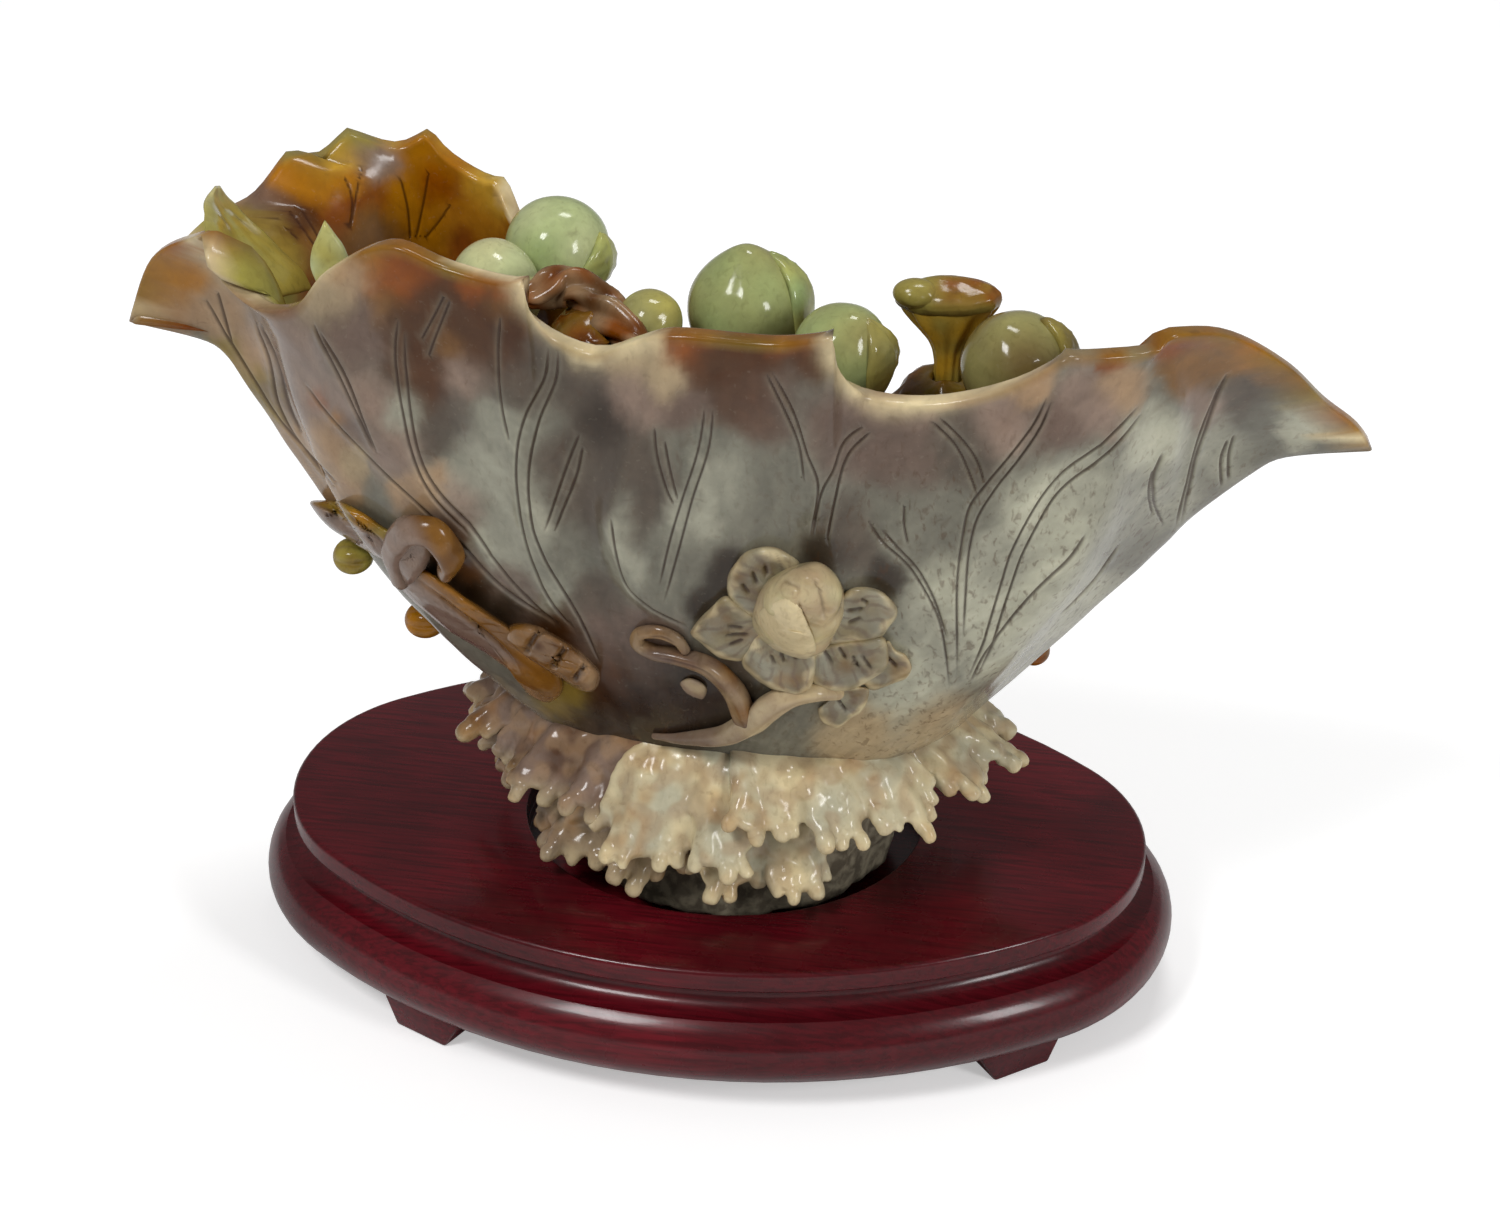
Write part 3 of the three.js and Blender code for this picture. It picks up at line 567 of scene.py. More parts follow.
    def bump(self, height: object, distance: float, strength: float, under: object = None) -> object:
        """Adds a bump of a height in millimetres, over another bump if one is given.

        Args:
            height: The height, from 0 to 1.
            distance: What a height of 1 stands for, in millimetres.
            strength: How strongly it shows.
            under: The bump below this one.

        Returns:
            The bumped normal.
        """
        made = self.node("ShaderNodeBump")
        made.inputs["Strength"].default_value = strength
        made.inputs["Distance"].default_value = distance * MM
        self.join(height, made.inputs["Height"])
        if under is not None:
            self.join(under, made.inputs["Normal"])
        return made.outputs["Normal"]


@dataclass(frozen=True)
class JadeFinish:
    """One polished jade, whose main colour is kept at the mesh's points.

    Attributes:
        name: The material's name.
        cloud: The colour of its broad clouds.
        stain: The colour of its stains.
        cloud_size: The width of a cloud in millimetres.
        stain_size: The width of a stain in millimetres.
        stain_amount: How much of the surface the stains take, 0 to 1.
        cream: The colour of its fine pale flecks.
        roughness: The least and most roughness.
        glow: How strongly light passes under the skin.
        shares: How strongly the clouds, stains, flecks and streaky spots show.
        grain: The least and most brightness of the stone's grain.
        groove: The colour that darkens the cut lines and creases, brown in the incised lines and painted
            shade in the creases, and how strongly it shows.
        spread: How far light spreads under the skin for red, green and blue, times the reach in metres.
        reach: How far light reaches under the skin, in metres.
        ior: How strongly the polish mirrors.
    """

    name: str
    cloud: str
    stain: str
    cloud_size: float = 14
    stain_size: float = 6
    stain_amount: float = 0.35
    cream: str = "c9c3ab"
    roughness: tuple[float, float] = (0.13, 0.23)
    glow: float = 0.06
    shares: tuple[float, float, float, float] = (0.03, 0.3, 0.05, 0.5)
    grain: tuple[float, float] = (0.78, 1.2)
    groove: tuple[str, float] = ("331706", 0.72)
    spread: tuple[float, float, float] = (1.0, 0.85, 0.6)
    reach: float = 0.003
    ior: float = 1.37

    def material(self) -> bpy.types.Material:
        """Builds the finish's node material.

        Returns:
            The material.
        """
        n = Nodes(self.name)
        place = n.coordinates()
        cloud = n.ease(n.noise(place, self.cloud_size, 4, 0.8), 0.42, 0.62)
        clouds, stains, flecks, streaks = self.shares
        colour = n.blend(n.times(cloud, clouds), n.attribute("paint", "Color"), linear(self.cloud))
        low = 0.66 - 0.22 * self.stain_amount
        stain = n.ease(n.noise(place, self.stain_size, 5, 1.2), low, low + 0.16)
        colour = n.blend(n.times(stain, stains), colour, linear(self.stain))
        fleck = n.ease(n.noise(place, 1.1, 2, 0.4), 0.62, 0.76)
        colour = n.blend(n.times(fleck, flecks), colour, linear(self.cream))
        streaky = n.coordinates((1, 1, 0.55))
        spots = n.ease(n.noise(streaky, 1.3, 5, 0.6), 0.52, 0.72)
        amount = n.times(spots, n.attribute("fleck"))
        colour = n.blend(n.times(amount, streaks), colour, linear(self.stain))
        grain = n.span(n.noise(place, 2.6, 5, 0.5), *self.grain)
        grey = n.node("ShaderNodeCombineColor")
        for channel in ("Red", "Green", "Blue"):
            n.join(grain, grey.inputs[channel])
        colour = n.blend(1.0, colour, grey.outputs["Color"], "MULTIPLY")
        # Darkens the cut lines and creases: brown in the incised lines, painted shade in the creases.
        line = n.ease(n.attribute("groove"), 0.12, 0.9)
        brown_and_shade, strength = self.groove
        colour = n.blend(n.times(line, strength), colour, linear(brown_and_shade))
        n.join(colour, n.shader.inputs["Base Color"])
        shine = n.span(n.noise(place, 5, 4), *self.roughness)
        n.join(shine, n.shader.inputs["Roughness"])
        swells = n.bump(n.noise(place, 4.5, 2), 0.12, 0.35)
        skin = n.bump(n.noise(place, 0.7, 3), 0.02, 0.35, swells)
        n.join(skin, n.shader.inputs["Normal"])
        n.set("Subsurface Weight", self.glow)
        n.set("Subsurface Radius", self.spread)
        n.set("Subsurface Scale", self.reach)
        n.set("IOR", self.ior)
        return n.material


@dataclass(frozen=True)
class LacquerFinish:
    """Deep red lacquer over straight-grained wood."""

    name: str = "oxblood_lacquer"
    dark: str = "30070b"
    red: str = "66101b"
    streak_share: float = 0.7
    cloud_share: float = 0.55
    roughness: tuple[float, float] = (0.2, 0.36)
    coat: float = 0.25
    coat_roughness: float = 0.12
    ior: float = 1.3

    def material(self) -> bpy.types.Material:
        """Builds the lacquer's node material.

        Returns:
            The material.
        """
        n = Nodes(self.name)
        grained = n.coordinates((0.06, 1, 1))
        plain = n.coordinates()
        streaks = n.ease(n.noise(grained, 0.8, 5, 0.5), 0.34, 0.7)
        colour = n.blend(n.times(streaks, self.streak_share), linear(self.red), linear(self.dark))
        wide = n.ease(n.noise(plain, 45, 2), 0.36, 0.64)
        colour = n.blend(n.times(wide, self.cloud_share), colour, linear(self.dark))
        n.join(colour, n.shader.inputs["Base Color"])
        rubbed = n.span(n.noise(plain, 7, 4), *self.roughness)
        n.join(rubbed, n.shader.inputs["Roughness"])
        pores = n.bump(n.noise(grained, 0.6, 3), 0.03, 0.5)
        ripple = n.bump(n.noise(plain, 12, 2), 0.15, 0.3, pores)
        n.join(ripple, n.shader.inputs["Normal"])
        n.set("Coat Weight", self.coat)
        n.set("IOR", self.ior)
        n.set("Coat Roughness", self.coat_roughness)
        return n.material


@dataclass(frozen=True)
class RoughFinish:
    """Sawn, unpolished grey stone."""

    name: str = "sawn_stone"
    pale: str = "837a66"
    dark: str = "544b3c"
    roughness: float = 0.85

    def material(self) -> bpy.types.Material:
        """Builds the stone's node material.

        Returns:
            The material.
        """
        n = Nodes(self.name)
        place = n.coordinates()
        mix = n.ease(n.noise(place, 3, 6, 0.4), 0.36, 0.62)
        colour = n.blend(mix, linear(self.pale), linear(self.dark))
        n.join(colour, n.shader.inputs["Base Color"])
        n.set("Roughness", self.roughness)
        grit = n.bump(n.noise(place, 1.2, 6), 0.3, 0.8)
        n.join(grit, n.shader.inputs["Normal"])
        return n.material


CELADON = JadeFinish("celadon_jade", "8d8f7d", "4a2e16", stain_amount=0.25)
PALE = JadeFinish("pale_jade", "a99a78", "6f4c28", stain_amount=0.3)
AMBER = JadeFinish("amber_jade", "9a7440", "3a200c", stain_amount=0.45)
GREEN = JadeFinish("green_jade", "a09a60", "4c3a14", stain_amount=0.1, roughness=(0.08, 0.16))
LACQUER = LacquerFinish()
ROUGH = RoughFinish()


# The photograph's camera


@dataclass(frozen=True)
class PhotoCamera:
    """The photograph's view, and its pixels on a 1500 by 1206 image."""

    place: tuple = (127.9, -682.42, 518.93)
    target: tuple = (1.18, 1.33, 84.4)
    lens: float = 96
    sensor: float = 36
    image: tuple = (1500, 1206)

    def axes(self) -> tuple[np.ndarray, np.ndarray, np.ndarray]:
        """Gives the view's right, up and forward directions.

        Returns:
            The three directions, each 1 long.
        """
        forward = unit(np.array(self.target) - np.array(self.place))
        right = unit(np.cross(forward, [0, 0, 1]))
        return right, np.cross(right, forward), forward

    def pixels(self, points: np.ndarray) -> np.ndarray:
        """Finds the photograph's pixel of each point in millimetres.

        Args:
            points: Places in millimetres.

        Returns:
            One pixel for each place.
        """
        right, up, forward = self.axes()
        away = points - np.array(self.place)
        scale = self.lens / self.sensor * self.image[0] / (away @ forward)
        half = np.array(self.image) / 2
        return np.stack([half[0] + scale * (away @ right), half[1] - scale * (away @ up)], 1)

    def ray(self, pixel: tuple) -> np.ndarray:
        """Finds the direction in which the camera sees a pixel.

        Args:
            pixel: The photograph's pixel.

        Returns:
            The direction, 1 long along the view's middle.
        """
        right, up, forward = self.axes()
        scale = self.sensor / self.lens / self.image[0]
        x = (pixel[0] - self.image[0] / 2) * scale
        y = (self.image[1] / 2 - pixel[1]) * scale
        return forward + right * x + up * y

    def on_plane(self, pixel: tuple, depth: float) -> np.ndarray:
        """Finds the place in millimetres that shows at a pixel and lies at a depth along Y."""
        ray = self.ray(pixel)
        return np.array(self.place) + ray * (depth - self.place[1]) / ray[1]

    def build(self) -> None:
        """Adds the camera and makes it the scene's own."""
        data = bpy.data.cameras.new("photo_camera")
        data.lens = self.lens
        data.sensor_width = self.sensor
        data.clip_end = 10
        made = bpy.data.objects.new("photo_camera", data)
        bpy.context.scene.collection.objects.link(made)
        right, up, forward = self.axes()
        turn = Matrix(np.stack([right, up, -forward], 1).tolist()).to_4x4()
        made.matrix_world = Matrix.Translation(Vector(self.place) * MM) @ turn
        bpy.context.scene.camera = made


PHOTO = PhotoCamera()


@dataclass
class Studio:
    """The pale floor, the soft boxes and the even sky."""

    floor_size: float = 6000
    floor_colour: tuple = (0.86, 0.86, 0.86)
    floor_glow: float = 0.4
    floor_roughness: float = 0.9
    sky_level: float = 0.3
    aim: tuple = (0, 0, 100)
    lamps: tuple = (
        ("key_box", (-420, -760, 1150), (320, 340), 8.5),
        ("fill_box", (900, -600, 600), (220, 380), 5),
        ("top_box", (100, 300, 1300), (360, 240), 4.5),
    )

    def soft_box(self, name: str, place: tuple, size: tuple, power: float) -> None:
        """Adds an area lamp that looks at the carving's middle.

        Args:
            name: The lamp's name.
            place: Its place in millimetres.
            size: Its width and height in millimetres.
            power: Its power in watts.
        """
        data = bpy.data.lights.new(name, "AREA")
        data.shape = "RECTANGLE"
        data.size, data.size_y = size[0] * MM, size[1] * MM
        data.energy = power
        lamp = bpy.data.objects.new(name, data)
        bpy.context.scene.collection.objects.link(lamp)
        lamp.location = Vector(place) * MM
        towards = Vector(self.aim) * MM - lamp.location
        lamp.rotation_euler = towards.to_track_quat("-Z", "Y").to_euler()

    def floor(self) -> None:
        """Lays the floor, which shows white to the camera and keeps the shadow."""
        bpy.ops.mesh.primitive_plane_add(size=self.floor_size * MM, location=(0, 0, 0))
        made = bpy.context.active_object
        made.name = "studio_floor"
        n = Nodes("studio_floor")
        n.set("Base Color", (*self.floor_colour, 1))
        n.set("Roughness", self.floor_roughness)
        n.set("Specular IOR Level", 0)
        path = n.node("ShaderNodeLightPath")
        n.set("Emission Color", (1, 1, 1, 1))
        n.join(n.times(path.outputs["Is Camera Ray"], self.floor_glow), n.shader.inputs["Emission Strength"])
        made.data.materials.append(n.material)

    def sky(self) -> None:
        """Lights evenly from all round, and shows as white behind the object."""
        world = bpy.data.worlds.new("studio")
        bpy.context.scene.world = world
        world.use_nodes = True
        tree = world.node_tree
        tree.nodes.clear()
        output = tree.nodes.new("ShaderNodeOutputWorld")
        background = tree.nodes.new("ShaderNodeBackground")
        tree.links.new(background.outputs[0], output.inputs["Surface"])
        path = tree.nodes.new("ShaderNodeLightPath")
        seen = tree.nodes.new("ShaderNodeMath")
        seen.operation = "MAXIMUM"
        tree.links.new(path.outputs["Is Camera Ray"], seen.inputs[0])
        tree.links.new(path.outputs["Is Transmission Ray"], seen.inputs[1])
        level = tree.nodes.new("ShaderNodeMapRange")
        level.inputs["To Min"].default_value = self.sky_level
        level.inputs["To Max"].default_value = 1
        tree.links.new(seen.outputs[0], level.inputs["Value"])
        tree.links.new(level.outputs["Result"], background.inputs["Strength"])

    def build(self) -> None:
        """Sets the stage."""
        bpy.context.scene.view_settings.view_transform = "Standard"
        self.floor()
        self.sky()
        for name, place, size, power in self.lamps:
            self.soft_box(name, place, size, power)


# The leaf vessel

# Each lobe of the rim runs from one sharp scallop point to the next, seen from above against the clock.
# Its points are shares of the half length, the front reach and the rise above the root.
RIM_LOBE_SHARES = [
    [[-1, -0.15, 0.654], [-0.94, -0.22, 0.784], [-0.845, -0.37, 0.859], [-0.825, -0.41, 0.874]],
    [[-0.825, -0.41, 0.874], [-0.8, -0.46, 0.824], [-0.715, -0.61, 0.804], [-0.645, -0.685, 0.829],
     [-0.58, -0.76, 0.909], [-0.465, -0.85, 0.979], [-0.38, -0.87, 0.956], [-0.285, -0.925, 0.952],
     [-0.25, -0.96, 0.964]],
    [[-0.25, -0.96, 0.964], [-0.243, -0.92, 0.909], [-0.21, -0.89, 0.861], [-0.154, -0.89, 0.844],
     [-0.1, -0.925, 0.872], [-0.04, -0.96, 0.899], [0.127, -0.96, 0.902], [0.216, -1, 0.929]],
    [[0.216, -1, 0.929], [0.222, -0.93, 0.862], [0.26, -0.87, 0.809], [0.348, -0.85, 0.802],
     [0.465, -0.85, 0.839], [0.553, -0.87, 0.901]],
    [[0.553, -0.87, 0.901], [0.61, -0.78, 0.887], [0.685, -0.7, 0.888], [0.697, -0.685, 0.908]],
    [[0.697, -0.685, 0.908], [0.774, -0.555, 0.885], [0.866, -0.37, 0.8], [0.925, -0.22, 0.712],
     [0.975, -0.11, 0.65], [1, -0.04, 0.6]],
    [[1, -0.04, 0.6], [0.95, 0.1, 0.59], [0.85, 0.26, 0.6], [0.73, 0.44, 0.56], [0.57, 0.59, 0.48]],
    [[0.57, 0.59, 0.48], [0.37, 0.7, 0.42], [0.16, 0.76, 0.4], [-0.04, 0.79, 0.41]],
    [[-0.04, 0.79, 0.41], [-0.2, 0.79, 0.4], [-0.32, 0.79, 0.44], [-0.4, 0.8, 0.56], [-0.44, 0.79, 0.7],
     [-0.465, 0.81, 0.76]],
    [[-0.465, 0.81, 0.76], [-0.5, 0.85, 0.755], [-0.57, 0.88, 0.785], [-0.604, 0.89, 0.82]],
    [[-0.604, 0.89, 0.82], [-0.66, 0.87, 0.795], [-0.74, 0.815, 0.823]],
    [[-0.74, 0.815, 0.823], [-0.785, 0.74, 0.79], [-0.826, 0.67, 0.806]],
    [[-0.826, 0.67, 0.806], [-0.87, 0.53, 0.755], [-0.92, 0.32, 0.75], [-0.965, 0.08, 0.715],
     [-1, -0.15, 0.654]],
]


@dataclass
class LeafForm:
    """The leaf's skin as a formula of the place along the rim and the level on the wall.

    A place on the rim is the number of the lobe plus the share along it.
    """

    half_length: float = 124
    front_reach: float = 54
    root_height: float = 57
    rise: float = 130
    root_half_length: float = 41
    root_half_depth: float = 25
    wall: float = 4.2
    floor_height: float = 92
    belly_power: float = 2.4
    end_powers: tuple[float, float] = (1.8, 1.15)
    flare_shares: tuple[float, float] = (0.245, 0.215)
    flare_power: float = 28
    lip_power: float = 6
    steps_per_lobe: int = 160
    fade_width: float = 9
    near_width: float = 3
    rim: np.ndarray = field(init=False)
    soft_rim: np.ndarray = field(init=False)
    near_rim: np.ndarray = field(init=False)
    travelled: np.ndarray = field(init=False)

    def __post_init__(self) -> None:
        """Samples the rim, its length and a smoothed rim without scallops."""
        parts = []
        for lobe in RIM_LOBE_SHARES:
            parts.append(flowing_line(self.place(lobe), self.steps_per_lobe)[:-1])
        self.rim = np.vstack(parts)
        gaps = np.linalg.norm(np.roll(self.rim, -1, 0) - self.rim, axis=1)
        self.travelled = np.concatenate([[0], np.cumsum(gaps)])
        even = np.linspace(0, self.travelled[-1], len(self.rim), endpoint=False)
        ring = self.at_length(even, self.rim)
        self.soft_rim = self.softened(ring, even, self.fade_width)
        self.near_rim = self.softened(ring, even, self.near_width)

    def softened(self, ring: np.ndarray, even: np.ndarray, width: float) -> np.ndarray:
        """Smooths the rim over a width in millimetres.

        Args:
            ring: Rim points spread evenly along the rim.
            even: Their lengths along the rim.
            width: How wide the smoothing is.

        Returns:
            The smoothed points at the rim's own places.
        """
        reach = int(3 * width / even[1])
        window = np.exp(-((np.arange(-reach, reach + 1) * even[1] / width) ** 2) / 2)
        window /= window.sum()
        soft = np.zeros_like(ring)
        for shift, weight in zip(range(-reach, reach + 1), window):
            soft += np.roll(ring, -shift, 0) * weight
        for axis in range(3):
            places = np.append(even, self.travelled[-1])
            values = np.append(soft[:, axis], soft[0, axis])
            soft[:, axis] = np.interp(self.travelled[:-1], places, values)
        return soft

    def at_length(self, lengths: np.ndarray, ring: np.ndarray) -> np.ndarray:
        """Reads a ring of rim samples at lengths along the rim.

        Args:
            lengths: Lengths along the rim in millimetres.
            ring: The rim's points.

        Returns:
            One row for each length.
        """
        lengths = np.mod(lengths, self.travelled[-1])
        closed = np.vstack([ring, ring[:1]])
        return np.stack([np.interp(lengths, self.travelled, closed[:, a]) for a in range(3)], 1)

    def place(self, shares: tuple) -> np.ndarray:
        """Turns shares of the half length, the front reach and the rise into places in millimetres."""
        size = np.array([self.half_length, self.front_reach, self.rise])
        return np.array(shares) * size + np.array([0, 0, self.root_height])

    def length_at(self, place: float) -> float:
        """Turns a lobe place into a length along the rim."""
        return float(np.interp(place * self.steps_per_lobe, np.arange(len(self.travelled)), self.travelled))

    def outer(self, lengths: np.ndarray, levels: np.ndarray) -> np.ndarray:
        """Finds points on the outer wall.

        Args:
            lengths: Lengths along the rim in millimetres.
            levels: Shares from the root at 0 to the rim at 1.

        Returns:
            One row for each point.
        """
        levels = np.asarray(levels, float)
        smooth = self.at_length(lengths, self.soft_rim)
        behind = smooth_step(smooth[:, 1], 0, 30)
        sharp = smooth_step(levels, 0.93 + 0.045 * behind, 1)[:, None]
        near = smooth_step(levels, 0.68 + 0.17 * behind, 0.93 + 0.05 * behind)[:, None]
        edge = lerp(smooth, self.at_length(lengths, self.near_rim), near)
        edge = lerp(edge, self.at_length(lengths, self.rim), sharp)
        x, y, z = edge.T
        turn = np.arctan2(y / self.front_reach, x / self.half_length)
        root_x = self.root_half_length * np.cos(turn)
        root_y = self.root_half_depth * np.sin(turn)
        rest = 1 - levels
        belly = 1 - rest**self.belly_power
        side = (smooth_step(x, -20, 20), 1 - smooth_step(x, -20, 20))
        power = self.end_powers[1] * side[0] + self.end_powers[0] * side[1]
        flare = self.flare_shares[1] * side[0] + self.flare_shares[0] * side[1]
        wing = (1 - flare) * (1 - rest**power) + flare * levels**self.flare_power
        weight = smooth_step(np.abs(x) / self.half_length, 0.5, 1)
        across = belly + (wing - belly) * weight
        return np.stack([
            root_x + (x - root_x) * across,
            root_y + (y - root_y) * belly,
            self.root_height + (z - self.root_height) * levels,
        ], 1)

    def normal(self, lengths: np.ndarray, levels: np.ndarray) -> np.ndarray:
        """Finds the outward normals of the outer wall.

        Args:
            lengths: Lengths along the rim in millimetres.
            levels: Shares from the root at 0 to the rim at 1.

        Returns:
            One direction for each point.
        """
        along = self.outer(lengths + 2.5, levels) - self.outer(lengths - 2.5, levels)
        high = np.minimum(1, levels + 0.02)
        up = self.outer(lengths, high) - self.outer(lengths, high - 0.04)
        return unit(np.cross(along, up))

    def hollow(self, lengths: np.ndarray, shares: np.ndarray, depth: float) -> np.ndarray:
        """Finds points inside the wall, from the floor at share 0 to the rim at share 1.

        Args:
            lengths: Lengths along the rim in millimetres.
            shares: Shares from the floor to the rim.
            depth: The wall's thickness in millimetres.

        Returns:
            One row for each point.
        """
        shares = np.asarray(shares, float)
        edge = self.at_length(lengths, self.rim)
        floor_level = (self.floor_height - self.root_height) / (edge[:, 2] - self.root_height)
        levels = floor_level + (1 - floor_level) * shares
        inward = -self.normal(lengths, levels)
        inward[:, 2] *= 1 - shares**self.lip_power
        return self.outer(lengths, levels) + unit(inward) * depth


@dataclass(frozen=True)
class Line:
    """A line drawn over the photograph, in its pixels.

    Attributes:
        points: The pixels that it passes.
        width: Half its width in pixels.
        height: How far it stands proud, or is sunk if less than 0, in millimetres.
    """

    points: tuple
    width: float
    height: float

    def weights(self, pixels: np.ndarray, taper: float = 0.1) -> np.ndarray:
        """Finds how strongly the line shapes each pixel, 0 to 1.

        Args:
            pixels: The pixels to weigh.
            taper: The share of the line over which each end fades.

        Returns:
            One weight for each pixel.
        """
        line = flowing_line(self.points, 8 * (len(self.points) - 1))
        result = np.zeros(len(pixels))
        reach = 3 * self.width
        near = np.all((pixels > line.min(0) - reach) & (pixels < line.max(0) + reach), axis=1)
        spots = pixels[near]
        best = np.full(len(spots), 1e9)
        share = np.zeros(len(spots))
        count = len(line) - 1
        for k in range(count):
            start, run = line[k], line[k + 1] - line[k]
            t = np.clip((spots - start) @ run / max(run @ run, 1e-9), 0, 1)
            gap = np.linalg.norm(spots - start - t[:, None] * run, axis=1)
            closer = gap < best
            best[closer] = gap[closer]
            share[closer] = (k + t[closer]) / count
        ends = np.clip(share / taper, 0, 1) * np.clip((1 - share) / taper, 0, 1)
        ends = np.where(share <= 0, 0, np.where(share >= 1, 0, ends))
        result[near] = np.exp(-((best / self.width) ** 2)) * np.sqrt(ends)
        return result


class Tone(Enum):
    """A display colour of six hexadecimal digits."""

    def light(self) -> np.ndarray:
        """Gives the colour in linear light."""
        return np.array(linear(self.value))


class Hue(Tone):
    """The stone's own colours; the wall's patches also use some of them as painted shade and painted
    highlight.
    """

    CELADON = "b0ae99"
    SEA = "959382"
    GREY = "706d60"
    SMOKE = "54493e"
    MAUVE = "655247"
    LILAC = "857062"
    ROSE = "a08262"
    TOBACCO = "482606"
    UMBER = "2b1e14"
    RUSSET = "7e3f00"
    HONEY = "a36a08"
    GOLD = "c0952c"
    OLIVE = "87702a"
    CREAM = "d6c49a"
    BONE = "ab9674"
    SYRUP = "7a5322"
    MOSS = "8f8442"
    KHAKI = "8a7d5c"
    LEEK = "a39a48"


@dataclass(frozen=True)
class Patch:
    """A soft patch of one hue, placed over the photograph in its pixels."""

    hue: Hue
    x: float
    y: float
    reach: float
    tall: float = 1.0
    strength: float = 1.0


def patches(hue: Hue, *spots: tuple) -> list[Patch]:
    """Lists the soft patches of one hue, each with its pixel and its reach."""
    return [Patch(hue, *spot) for spot in spots]


